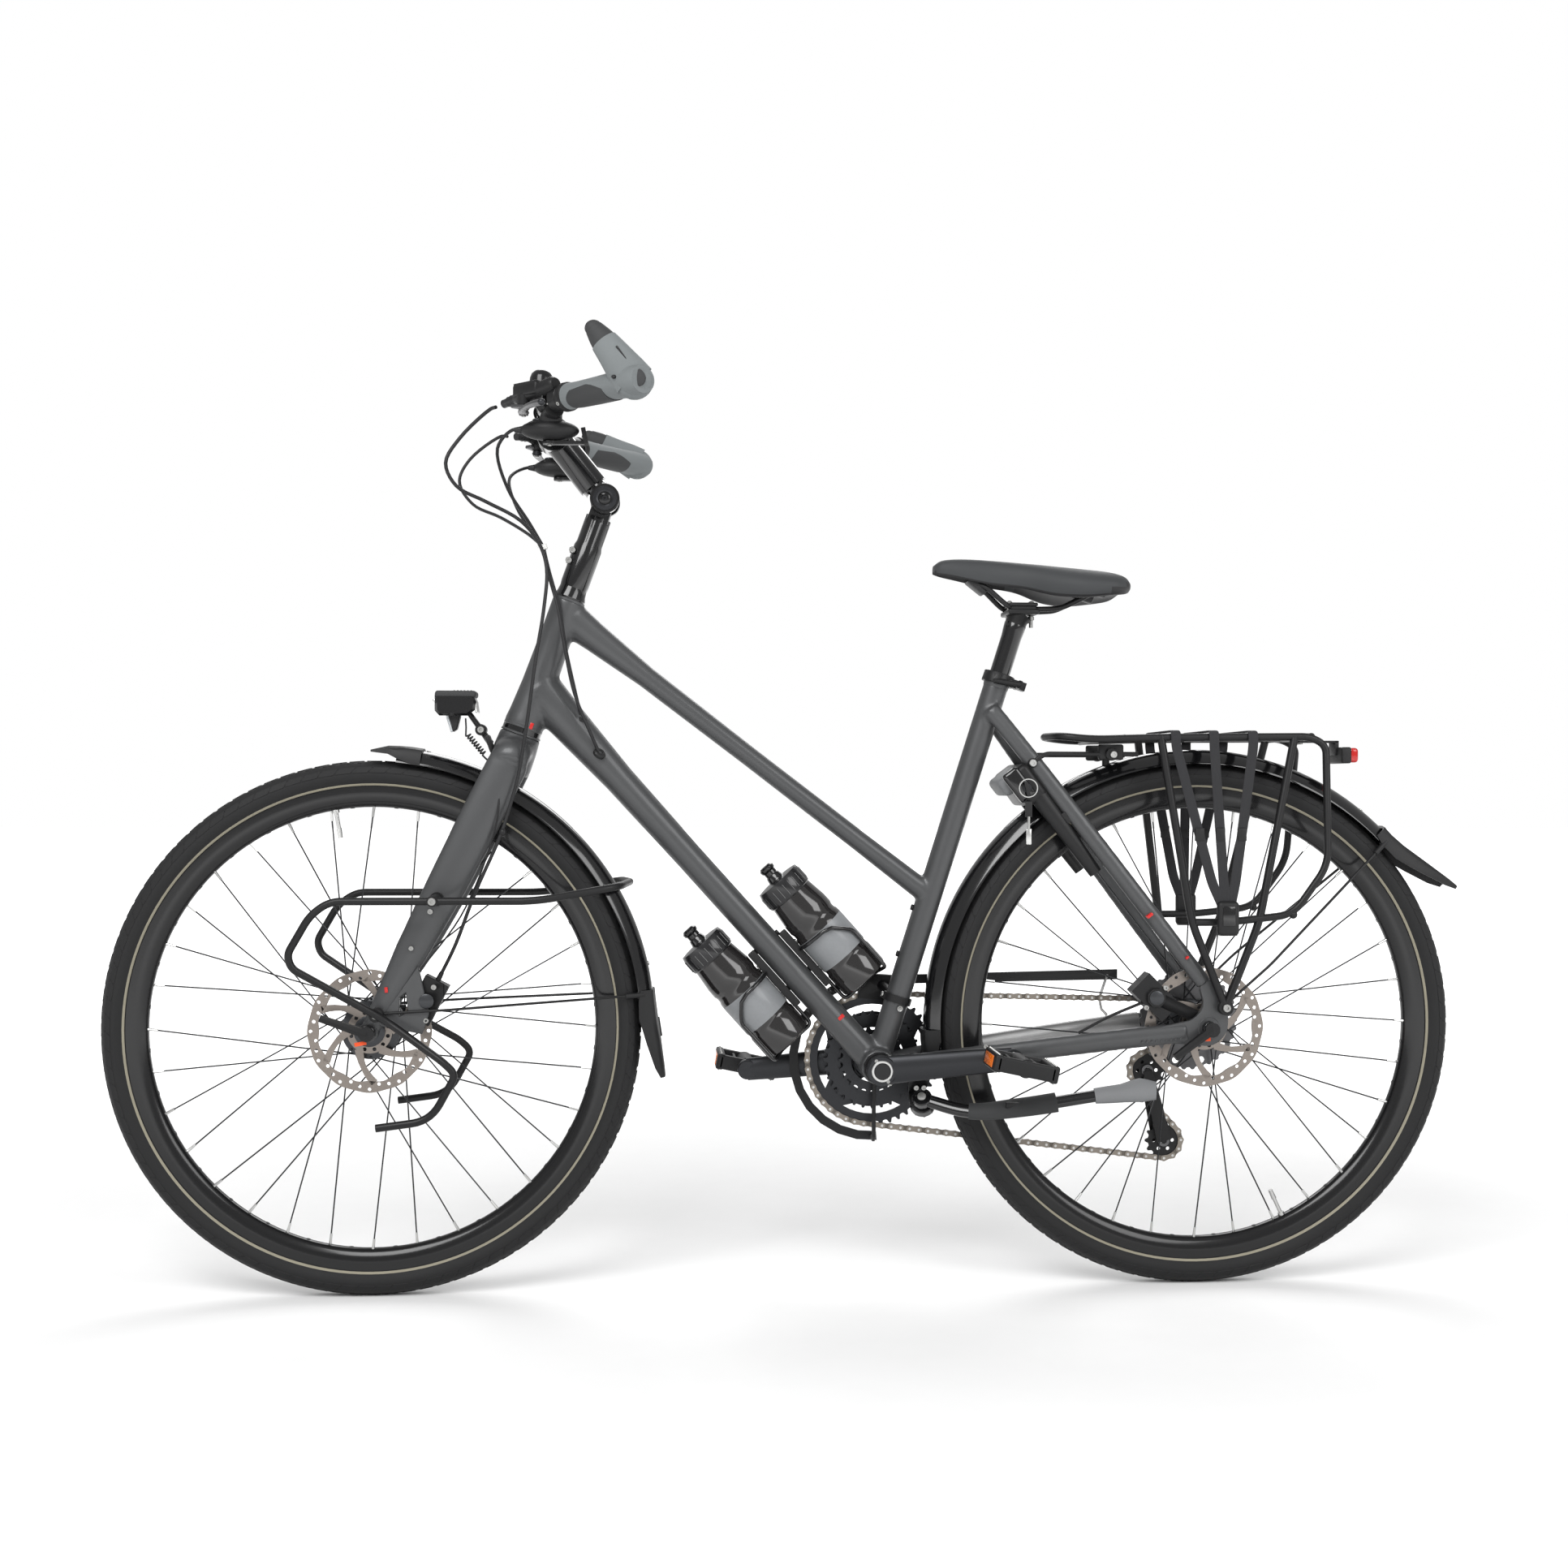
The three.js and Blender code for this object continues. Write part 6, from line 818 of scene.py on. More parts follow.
def build_wheel(side, centre, hub, disc_y, valve, body):
    sizes = bpy.context.scene.bicycle_sizes
    half = [
        (317.4, 12.1), (318.4, 13.8), (318.4 + sizes.stripe * 1000, 15.9), (325.5, 18.6), (330, 20.6),
        (334.5, 20.9), (339.5, 19.6), (343.8, 16.9), (347.0, 12.8), (349.1, 7.6), (349.9, 2.5)]
    ring = half + [(r, -y) for r, y in reversed(half)]
    looks = [0, 1] + [0] * (2 * len(half) - 5) + [1, 0] + [0]
    tyre = Shape().add(lathe(ring, centre, ACROSS, 144, closed=True, looks=looks), ["rubber", "stripe"])
    height = 2 * sizes.block * 1000
    for y, drop, long, wide, start, tip, slant in (
        (0, 0, 17.6, 6.4, 0, 0, 0.3), (7.4, 1.6, 16.6, 5.6, 0.5, 14, -0.6), (13.6, 5.0, 18.6, 6, 0, 38, 0.9),
        (18.9, 11.4, 20.6, 8.6, 0.4, 66, -0.9)):
        for hand in (1, -1) if y else (1,):
            block = box(V(0, 0, 0), (long, wide, height), bevel=0.5, segments=1)
            shear = Matrix.Identity(4)
            shear[0][1] = slant * hand
            place = Matrix.Translation(centre + V(0, hand * y, TYRE_RADIUS - drop - height / 2))
            bmesh.ops.transform(
                block, matrix=place @ Matrix.Rotation(radians(-hand * tip), 4, "X") @ shear, verts=block.verts[:])
            tyre.add(block, "rubber", around(centre, sizes.blocks, start))
    tyre.done(side + "_tyre_shape", body, [side + "_tyre"])

    half = [(317, 10.4), (318.8, 11.2), (318.8, 12.2), (310, 12.4), (303, 12.2), (296, 9.6), (291, 5.6), (290, 2.4)]
    rim = Shape().add(
        lathe(half + [(r, -y) for r, y in reversed(half)], centre, ACROSS, 144, closed=True), "rim black")
    for i in range(32):
        a = 2 * pi * (i + 0.5) / 32
        way = heading(a)
        rim.add(pin(centre + way * 291.5, centre + way * 289.4, 3.4, 2.9, sides=14), "rim black")
    a = radians(valve)
    way = heading(a)
    rim.add(pin(centre + way * RIM_WELL, centre + way * 262, 2.6, sides=14), "bright steel")
    rim.add(pin(centre + way * RIM_WELL, centre + way * 286.5, 4.6, sides=16), "bright steel")
    rim.add(pin(centre + way * 266, centre + way * 253, 3.6, 3.0, sides=16), "bright steel")
    rim.done(side + "_rim_shape", body, [side + "_rim"])

    metal = Shape().add(lathe(hub["profile"], centre, ACROSS, 56, closed=True), "hub dark")
    for k, (flange, sign, shift) in enumerate(((-hub["left"], -1, 0), (hub["right"], 1, 0.5))):
        for i in range(16):
            lean = -1 if i % 2 else 1
            start = radians(360 * (i + shift) / 16)
            finish = start + lean * radians(67.5)
            root = heading(start) * (hub["flange"] - 3)
            tip = heading(finish)
            away = centre + root + V(0, flange + lean * 1.6, 0)
            home = centre + tip * RIM_WELL + V(0, sign * 2.6 + lean * 1.2, 0)
            elbow = centre + root + V(0, flange - lean * 3.2, 0)
            metal.add(sweep(bent([elbow, away, home], 2.4, 3), sizes.spoke * 1000, 6), "spoke steel")
            metal.add(ball(elbow, (1.8, 1.0, 1.8), 8), "spoke steel")
            run = (away - home).normalized()
            metal.add(pin(home + run * 0.5, home + run * 14, 2.0, 1.7, sides=8), "bright steel")
    metal.done(side + "_hub_shape", body, [side + "_hub"])

    # Brake disc with a wavy edge, drilled band and curved arms
    steel, y = Shape(), disc_y
    outer = [(centre.x + r * cos(t), centre.z + r * sin(t))
             for r, t in ((79.4 + 0.6 * cos(12 * t), t) for t in (2 * pi * i / 144 for i in range(144)))]
    inner = [(centre.x + r * cos(t), centre.z + r * sin(t))
             for r, t in ((65.8 - 1.3 * cos(12 * t), t) for t in (2 * pi * i / 96 for i in range(96)))]
    holes = []
    for i in range(36):
        t = 2 * pi * i / 36
        reach = 72.6 + (2.9 if i % 3 == 0 else -2.9 if i % 3 == 1 else 0.0)
        spot = V(centre.x + reach * cos(t), 0, centre.z + reach * sin(t))
        holes.append(ring_points(spot, sizes.hole * 1000, 10))
    steel.add(slab(outer, 1.9, y, [inner] + holes), "disc steel")
    collar = hub["mount"] + 11
    core = [ring_points(centre, hub["mount"] + 0.4, 48)] + [
        ring_points(centre + heading(t) * (hub["mount"] + 6.2), 2.6, 12)
        for t in (2 * pi * (i + 0.5) / 12 for i in range(12))]
    steel.add(slab(ring_points(centre, collar, 64), 2.0, y, core), "disc steel")
    for i in range(6):
        start, run = 2 * pi * i / 6, []
        for k in range(7):
            t, r = start + 0.62 * (k / 6) ** 0.8, collar - 2 + (67.5 - collar + 2) * k / 6
            run.append(V(centre.x + r * cos(t), y, centre.z + r * sin(t)))
        steel.add(sweep(run, [(0.95, 5.6), (0.95, 3.6), (0.95, 4.8)], across=ACROSS, section=FLAT), "disc steel")
    mount = hub["mount"]
    steel.add(
        lathe(
            [(mount - 6, 0), (mount + 2.2, 0), (mount + 2.2, -3), (mount, -4), (mount - 6, -4)],
            set_y(centre, y - 1), ACROSS, 32, closed=True),
        "hub dark")
    return steel.done(side + "_rotor_shape", body, [side + "_rotor"])


def build_wheels():
    front = [
        (6.5, 48.8), (12, 48.8), (12, 38), (20, 36), (33, 30.5), (37.4, 29.8), (38, 29), (38, 25), (37.4, 24.3),
        (33.4, 23), (32.4, 12), (32.4, -12), (33.4, -23), (37.4, -24.3), (38, -25), (38, -29), (37.4, -29.8),
        (30, -30.4), (18, -33), (18, -43.5), (10, -44.4), (9, -48.8), (6.5, -48.8)]
    rear = [
        (6.5, 66.3), (16, 66.3), (16, 22.5), (24, 22), (28.5, 21.4), (29, 20.6), (29, 17.4), (28.4, 16.6),
        (21, 14.5), (18.6, 8), (17.6, -4), (18.6, -22), (21, -29.5), (28.4, -31.6), (29, -32.4), (29, -35.6),
        (28.4, -36.4), (20, -37.5), (20, -56.5), (11, -57.4), (10, -66.3), (6.5, -66.3)]
    build_wheel(
        "front", FRONT_AXLE, {"profile": front, "left": 27, "right": 27, "flange": 38, "mount": 18}, FRONT_DISC,
        100, "front_wheel")
    build_wheel(
        "rear", REAR_AXLE, {"profile": rear, "left": 34, "right": 19, "flange": 29, "mount": 20}, REAR_DISC, -65,
        "rear_wheel")

    def marks(centre, face, angle):
        def add(shape):
            shape.add(box(centre + V(-8, -face - 8.6, -13), (15, 1, 5), angle, bevel=0.2), "orange mark")
            shape.bolt(set_y(centre, face + 6.8), ACROSS, 6.2, 1.6, "satin black")
            shape.add(
                lathe([(6.5, 0), (10, 0), (10, 2.4), (8, 3.6)], set_y(centre, -face - 8.9), -ACROSS, 24),
                "gloss black")
        return add

    refined("front_axle", "steering", "satin black", 1.1, 30, marks(FRONT_AXLE, 58, 10))
    refined("rear_axle", "frame", "satin black", 1.1, 30, marks(REAR_AXLE, 74.5, 0))


# Mudguards


def gutter(path, half=26.0, drop=19.5, thick=1.8):
    shares = [-1, -0.97, -0.9, -0.78, -0.62, -0.42, -0.2, 0, 0.2, 0.42, 0.62, 0.78, 0.9, 0.97, 1]

    def fall(share):
        return drop * (0.1 + 0.9 * abs(share) ** 2.6)

    inner = [(half * s, -fall(s)) for s in shares]
    outer = [((half - 0.5) * s, thick - fall(s)) for s in reversed(shares)]
    return sweep(path, 1.0, across=ACROSS, section=inner + outer)


def build_guard(side, centre, start, end, stay_angle, seat_y, bolt, flap, body, extra):
    shape = Shape()
    shape.add(gutter(arc(centre, 369.5, start, end, 64)), "gloss black")
    skirt = [(-1, -1), (-0.96, -0.3), (-0.8, 0), (-0.3, 0.14), (0.3, 0.14), (0.8, 0), (0.96, -0.3), (1, -1),
             (0.93, -1), (0.88, -0.3), (0.7, -0.14), (-0.7, -0.14), (-0.88, -0.3), (-0.93, -1)]
    nose = [line_from(centre, start + 5.4)(365.4), *arc(centre, 370, start + 2, start - 5, 3)]
    shape.add(
        sweep(nose, [(25, 3), (26.6, 12), (27, 19), (26.8, 19)], across=ACROSS, section=skirt), "black plastic")
    for turn in (start - 6, end + 9):
        shape.bolt(line_from(centre, turn)(368.6), line_from(V(0, 0, 0), turn)(1), 3, 2)
    # Flap: a skirted tongue that hangs from the guard's end
    long, flare = flap
    base = line_from(centre, end)(369)
    a, b = line_from(base, end - 90)(-24), line_from(base, end - 90 + flare)(long)
    shape.add(sweep([a, a.lerp(base, 0.6), base.lerp(b, 0.12), base.lerp(b, 0.5), base.lerp(b, 0.85), b],
                    [(26.6, 17), (27.4, 20), (28.4, 22), (30.6, 17), (31, 11), (27, 6)], across=ACROSS,
                    section=skirt), "black plastic")
    shape.add(
        box(base.lerp(b, 0.3) + line_from(V(0, 0, 0), end)(3), (26, 5, 3.4), end - 90 + flare, bevel=1.2),
        "black plastic")
    anchor = line_from(centre, stay_angle)
    for hand in (-1, 1):
        eye = V(bolt.x, hand * (seat_y + 1.8), bolt.z)
        finish = anchor(354.6, hand * 24.6)
        straight = set_y(eye.lerp(finish, 0.1), eye.y)
        bow = set_y(eye.lerp(finish, 0.26), eye.y + hand * 3.4)
        shape.add(sweep(bent([eye, straight, bow, finish], 12, 6, 2), 1.8, 10), "satin black")
        shape.add(disc(eye, 6, hand * seat_y, hand * (seat_y + 3.4), 20, 0.4), "satin black")
        shape.bolt(eye + V(0, hand * 1.7, 0), V(0, hand, 0), 4.2, 3.2)
        way = (finish - bow).normalized()
        shape.add(pin(finish - way * 22, finish + way * 3, 3.3, sides=14, bevel=0.5), "black plastic")
        shape.add(box(finish + V(0, -hand * 1.6, 0), (13, 3, 9), stay_angle, bevel=0.8), "black plastic")
    extra(shape)
    return shape.done(side + "_fender_shape", body, [side + "_fender"])


def build_mudguards():
    def front(shape):
        foot = line_from(FRONT_AXLE, 64)(366.4)
        shape.add(sweep([foot, HEAD(372.6)], [(9, 1.6), (9, 1.6)], across=ACROSS, section=FLAT), "satin black")
        shape.bolt(line_from(FRONT_AXLE, 64)(368.6), foot - FRONT_AXLE, 4, 3)

    def rear(shape):
        low = V(BRACKET.x + 54.5 + 6.8, 0, BRACKET.z + 5.4)
        shape.add(pin(line_from(REAR_AXLE, 183)(366.4), low, 3.6), "satin black")
        shape.add(pin(V(977, 0, 696), V(977, 0, 716), 5), "satin black")
        shape.add(pin(V(977, -34, 712.6), V(977, 34, 712.6), 3.6), "satin black")

    build_guard("front", FRONT_AXLE, 85, 4, 7, 58.3, LEG_BOLT, (92, 5), "steering", front)
    build_guard("rear", REAR_AXLE, 186, 42, 43.4, 74.8, RACK_BOLT, (104, 12), "frame", rear)


# Racks, straps and lamps

DECK = REAR_AXLE.z + 386


def rack_at(x, z, y=0.0):
    return V(REAR_AXLE.x + WHEELBASE * x, y, DECK + 386 * z)


def build_racks():
    tube = Shape()
    for side in (-1, 1):
        rail = [
            rack_at(-0.178, 0, side * 51),
            *(rack_at(x, z, side * 60) for x, z in ((-0.14, -0.012), (-0.045, -0.004), (0.128, 0), (0.148, -0.03)))]
        rail.insert(0, rack_at(-0.178, 0) - V(8.8, 0, 0))
        hoop = [
            rack_at(x, z, side * 84) for x, z in ((0.143, -0.44), (0.1, -0.61), (0.02, -0.635), (-0.02, -0.635))]
        tube.add(sweep(bent(rail + hoop, 22, 7, 3), 5, 14), "satin black")
        for top in (-0.056, 0.109):
            knee = rack_at(top * 0.5, -0.635, side * 84) + V(4.4, 0, 0)
            path = [rack_at(top, 0, side * 60), knee, V(RACK_BOLT.x, side * 84.8, RACK_BOLT.z)]
            tube.add(sweep(bent(path, 22, 7, 3), 5.3, 14), "satin black")
        tube.add(disc(RACK_BOLT, 9.9, side * 79.3, side * 89.2, 24, 0.8), "satin black")
        tube.bolt(V(RACK_BOLT.x, side * 89.2, RACK_BOLT.z), V(0, side, 0), 5.2, 3.4)
        clamp, bracket = V(868.3, side * 43, 701), V(975, side * 36, 716)
        tube.add(
            sweep(
                bent([clamp, V(884, side * 42, 713.2), V(1012, side * 36, 713.2)], 8, 5, 8), [(2, 3.2), (2, 3.2)],
                12, across=ACROSS),
            "satin black")
        tube.add(disc(clamp, 6.4, side * 36, side * 45, 28, 0.6), "satin black")
        tube.bolt(set_y(clamp, side * 44.6), V(0, side, 0), 5, 3, "bright steel")
        tube.add(box(bracket, (34, 9, 21), bevel=3, segments=3), "black plastic")
        tube.add(disc(bracket - V(0, 0, 3), 8.6, side * 38, side * 45, 32, 1), "satin black")
        tube.bolt(V(976.9, side * 45, 712.6), V(0, side, 0), 4.6, 2.4, "bright steel")
        tube.add(ball(rack_at(0.1, -0.61, side * 84), (5.6, 5.6, 5.6), 12), "satin black")
    for share in (-0.1, 0.005, 0.11):
        x = REAR_AXLE.x + WHEELBASE * share
        tube.add(pin(V(x, -60, DECK - 2), V(x, 60, DECK - 2), 4, sides=16), "satin black")
    for share, z in ((0.13, DECK), (-0.13, DECK - 5)):
        x = REAR_AXLE.x + WHEELBASE * share
        tube.add(pin(V(x, -60, z), V(x, 60, z), 5, sides=16), "satin black")
    tube.add(
        sweep(
            [rack_at(-0.13, 0) - V(0, 0, 2.6), rack_at(0.125, 0) - V(0, 0, 2.6)], [(7, 2.6), (7, 2.6)],
            across=ACROSS, section=eased(0.8)),
        "satin black")
    tube.done("rear_rack_shape", "frame", ["rear_rack"])

    band, width = Shape(), bpy.context.scene.bicycle_sizes.strap * 1000
    for share in (-0.039, 0.008, 0.056):
        low = REAR_AXLE.x + WHEELBASE * (share * 0.3 + 0.01)
        top = REAR_AXLE.x + WHEELBASE * share
        path = [clip_at(-1), V(low, -92.9, DECK - 193), V(top, -66.8, DECK - 13), V(top, -66.8, DECK + 6.8),
                V(top, 66.8, DECK + 6.8), V(top, 66.8, DECK - 13), V(low, 92.9, DECK - 193), clip_at(1)]
        band.add(sweep(bent(path, 9, 5, 3), [(width / 2, 1.1), (width / 2, 1.1)], across=V(1, 0, 0),
                       section=eased(0.5)), "strap")
        for hand in (-1, 1):
            band.add(
                box(V(low + (top - low) * 0.35, hand * 84.5, DECK - 130), (17, 4.6, 12), 90, bevel=1),
                "black plastic")
    for hand in (-1, 1):
        band.add(box(clip_at(hand), (29, 12, 45), bevel=5.6, segments=4), "black plastic")
        band.add(box(clip_at(hand) + V(0, hand * 5.6, 3), (17, 3, 26), bevel=1.4), "gloss black")
        band.add(pin(clip_at(hand) + V(-12, 0, -20), clip_at(hand) + V(12, 0, -20), 3, sides=12), "bolt steel")
    band.done("rack_straps_shape", "frame", ["rack_straps"])

    low = Shape()
    shares = [(0.92, 0.54), (0.62, 0.49), (-0.115, 0.49), (-0.185, 0.44), (-0.265, 0.3), (-0.25, 0.25),
              (0.07, 0.05), (0.29, -0.09), (0.335, -0.135), (0.245, -0.3), (0.05, -0.325)]
    rail_z = FRONT_AXLE.z + TYRE_RADIUS * 0.49
    for side in (-1, 1):
        points = [
            V(TYRE_RADIUS * x, side * (74 if i == 6 else 110), FRONT_AXLE.z + TYRE_RADIUS * z)
            for i, (x, z) in enumerate(shares)]
        points[0].y = side * 88
        points.insert(0, V(TYRE_RADIUS * 0.955, 0, FRONT_AXLE.z + TYRE_RADIUS * 0.545))
        low.add(sweep(bent(points, 24, 7, 3), 5, 14), "satin black")
        rise = (rail_z - FRONT_AXLE.z) / (leg_line(1).z - FRONT_AXLE.z)
        spot = leg_line(rise)
        face = 54 - 14 * (rail_z - FRONT_AXLE.z) / (HEAD(384).z - FRONT_AXLE.z) + 10.8
        low.add(disc(V(spot.x, 0, rail_z), 7, side * face, side * 117.5, 20, 0.8), "satin black")
        low.add(disc(V(spot.x, 0, rail_z), 9, side * face, side * (face + 5), 24, 0.8), "satin black")
        low.bolt(V(spot.x, side * 117.5, rail_z), V(0, side, 0), 5, 3.2)
        low.add(disc(LEG_BOLT, 9, side * 62.2, side * 77, 24, 0.8), "satin black")
        low.add(pin(set_y(LEG_BOLT, side * 74), points[7], 4.6, sides=14), "satin black")
        low.bolt(set_y(LEG_BOLT, side * 77), V(0, side, 0), 5, 3.2)
    low.done("lowrider_rack_shape", "steering", ["lowrider_rack"])


def clip_at(side):
    return V(REAR_AXLE.x + WHEELBASE * 0.016, side * 98.8, DECK - 386 * 0.62)


def build_lamps():
    foot = HEAD(403, 0, 32.3)
    centre, elbow = foot + V(-45, 0, 53), foot + V(-12.8, 0, 18.4)
    lamp = Shape()
    outline = [
        (-27, -10), (-21, -16.5), (16, -16.5), (25, -9), (27, 2), (22, 13), (10, 16.5), (-24, 16.5), (-27, 13)]
    lamp.add(slab([(centre.x + a, centre.z + b) for a, b in outline], 40, 0, bevel=3.2), "gloss black")
    lamp.add(box(centre + V(-25.6, 0, 0.8), (4, 33, 23), bevel=1.6), "clear lens")
    lamp.add(box(centre + V(-26.2, 0, 1.2), (4, 12, 12), 45, bevel=1.2), "bright steel")
    lamp.add(box(centre + V(0, 0, 12), (53.4, 41, 9), bevel=3.4, segments=3), "grip end")
    lamp.add(box(centre + V(26, 0, -4), (3.4, 34, 17), 8, bevel=1.5), "bright steel")
    lamp.add(
        slab(
            [(centre.x + a, centre.z + b) for a, b in ((-12, -14), (6, -14), (1, -34), (-5, -38))], 16, 0, bevel=1.4
        ),
        "black plastic")
    lamp.add(
        slab(
            [(centre.x + a, centre.z + b) for a, b in ((-14.4, -14), (-10.6, -14), (-4, -38), (-7, -38))], 18, 0,
            bevel=0.8),
        "clear lens")
    for k in range(6):
        lamp.add(box(centre + V(-2 + 4.4 * k, 0, 16), (1.8, 30, 2.4), bevel=0.4), "satin black")
    lamp.add(
        sweep(bent([centre + V(13, 0, -8), elbow, foot], 12, 6), [(6, 3.4), (6.4, 4.6)], 14, across=ACROSS),
        "satin black")
    lamp.add(disc(elbow, 7.5, -10, 10, 24, 0.8), "satin black")
    lamp.bolt(set_y(elbow, -10), -ACROSS, 4.6, 3)
    lamp.add(box(foot + V(-1, 0, 0), (7, 22, 24), 20, bevel=2), "satin black")
    lamp.done("headlight_shape", "steering", ["headlight"])

    front, middle = REAR_AXLE.x + 195, REAR_AXLE.z + 362
    tail = Shape()
    tail.add(box(V(front + 7, 0, middle), (14, 62, 22), bevel=3, segments=3), "black plastic")
    tail.add(box(V(front + 17.5, 0, middle), (13, 60, 20), bevel=4.4, segments=4), "red lens")
    for k in range(-3, 4):
        tail.add(box(V(front + 23, k * 7.6, middle), (1.6, 1.2, 15), bevel=0.3), "red lens")
    plate_top = DECK - 3.9
    start = REAR_AXLE.x + WHEELBASE * 0.13 - 3
    tail.add(
        box(V((start + front + 3) / 2, 0, plate_top - 1.5), (front + 3 - start, 24, 3), bevel=0.8), "satin black")
    tail.add(box(V(front, 0, (middle + plate_top) / 2), (6, 24, plate_top - middle), bevel=1), "satin black")
    for hand in (-1, 1):
        tail.bolt(V(start + 6, hand * 7, plate_top - 2.8), -UP, 3.4, 2.4)
    return tail.done("tail_light_shape", "frame", ["tail_light"])


# Drive


def gear(centre, y, teeth, thickness, bore, tip, holes=()):
    """A toothed disc with its teeth standing on the pitch circle."""
    reach, outline = pitch_radius(teeth), []
    tooth = (
        (-0.5, -3.6), (-0.3, -3.1), (-0.24, -1.8), (-0.1, tip - 0.4), (0.1, tip - 0.4), (0.24, -1.8), (0.3, -3.1))
    for i in range(teeth):
        for share, grow in tooth:
            t = 2 * pi * (i + share) / teeth
            outline.append((centre.x + (reach + grow) * cos(t), centre.z + (reach + grow) * sin(t)))
    return slab(outline, thickness, y, [ring_points(centre, bore, 48), *holes])


CHAIN_WHEELS = ((BRACKET, 44, 1), (REAR_AXLE, 12, 1), (GUIDE_PULLEY, 12, -1), (TENSION_PULLEY, 12, 1))


def chain_path():
    """The line of the chain's pins round ring, sprocket and pulleys."""
    wheels = [(c, pitch_radius(n), turn) for c, n, turn in CHAIN_WHEELS]
    leaving = []
    for i, (c, r, turn) in enumerate(wheels):
        c2, r2, turn2 = wheels[(i + 1) % 4]
        dx, dz = c2.x - c.x, c2.z - c.z
        leaving.append(atan2(dz, dx) + asin((turn * r - turn2 * r2) / -hypot(dx, dz)))
    points = []
    for i, (c, r, turn) in enumerate(wheels):
        arrive, leave = leaving[i - 1], leaving[i]
        start, turned = arrive + turn * pi / 2, leave - arrive
        while turn * turned > 0:
            turned -= turn * 2 * pi
        while turn * turned <= -2 * pi:
            turned += turn * 2 * pi
        for k in range(33):
            a = start + turned * k / 32
            points.append(V(c.x + r * cos(a), CHAIN_PLANE, c.z + r * sin(a)))
    return points + [points[0]]


def evenly(points, step):
    total = sum((b - a).length for a, b in zip(points, points[1:]))
    count = round(total / step / 2) * 2
    step, out, travelled, want = total / count, [], 0.0, 0.0
    for a, b in zip(points, points[1:]):
        run = (b - a).length
        while want <= travelled + run + 1e-9 and len(out) < count:
            out.append(a.lerp(b, (want - travelled) / run if run else 0))
            want += step
        travelled += run
    return out


def build_chain():
    size = bpy.context.scene.bicycle_sizes.plate * 500
    pins = evenly(chain_path(), PITCH)
    chain = Shape()
    half = PITCH / 2
    round_end = [(half + size * cos(t), size * sin(t)) for t in (radians(a) for a in range(-75, 76, 25))]
    plate = round_end + [(0, size * 0.72)] + [(-x, z) for x, z in reversed(round_end)] + [(0, -size * 0.72)]
    places = [[], []]
    for i, (a, b) in enumerate(zip(pins, pins[1:] + pins[:1])):
        angle = atan2(b.z - a.z, b.x - a.x)
        places[i % 2].append(Matrix.Translation((a + b) / 2) @ Matrix.Rotation(-angle, 4, "Y"))
    for k, reach in ((0, 2.55), (1, 1.65)):
        for hand in (-1, 1):
            chain.add(slab(plate, 0.9, hand * reach), "chain" if k == 0 else "chain dark", places[k])
    spots = [Matrix.Translation(p) for p in pins]
    chain.add(pin(V(0, -1.5, 0), V(0, 1.5, 0), 3.6, sides=12), "chain dark", spots)
    chain.add(pin(V(0, -3.3, 0), V(0, 3.3, 0), 1.8, sides=10), "bright steel", spots)
    return chain.done("chain_shape", "frame", ["chain"])


def pedal_eye(side):
    """Where a crank arm holds its pedal: the left arm points back and a little up."""
    return BRACKET + heading(radians(CRANK_ANGLE)) * -side * CRANK_LENGTH


def crank_arm(shape, side, finish):
    eye, root = pedal_eye(side), set_y(BRACKET, side * 58)
    run = [
        root, root.lerp(set_y(eye, side * 81), 0.1),
        *(root.lerp(set_y(eye, side * 81), t) for t in (0.3, 0.6, 0.88, 1))]
    shape.add(sweep(run, [(7.5, 19), (7.5, 18.4), (7.3, 17.4), (7, 16), (7.2, 15.4)], 24, across=ACROSS), finish)
    shape.add(disc(BRACKET, 19.5, side * 49.5, side * 67, 40, 1.6), finish)
    shape.add(disc(eye, 13.4, side * 73.5, side * 88.4, 32, 1.4), finish)
    hub = [(0, 0), (14, 0), (14, 1.4), (13.2, 2.1), (11.2, 2.1), (10.8, 0.5), (0, 0.5)]
    shape.add(
        lathe(hub, set_y(BRACKET, side * 67), V(0, side, 0), 40, looks=[0, 1, 1, 1, 1, 0]),
        ["cable", "bright steel"])
    for turn in (-60, 120):
        shape.bolt(line_from(BRACKET, turn)(15.6, side * 66.6), V(0, side, 0), 2.4, 1.2)
    shape.add(disc(eye, 7.5, side * 88, side * 89.2, 24, 0.3), "bolt steel")


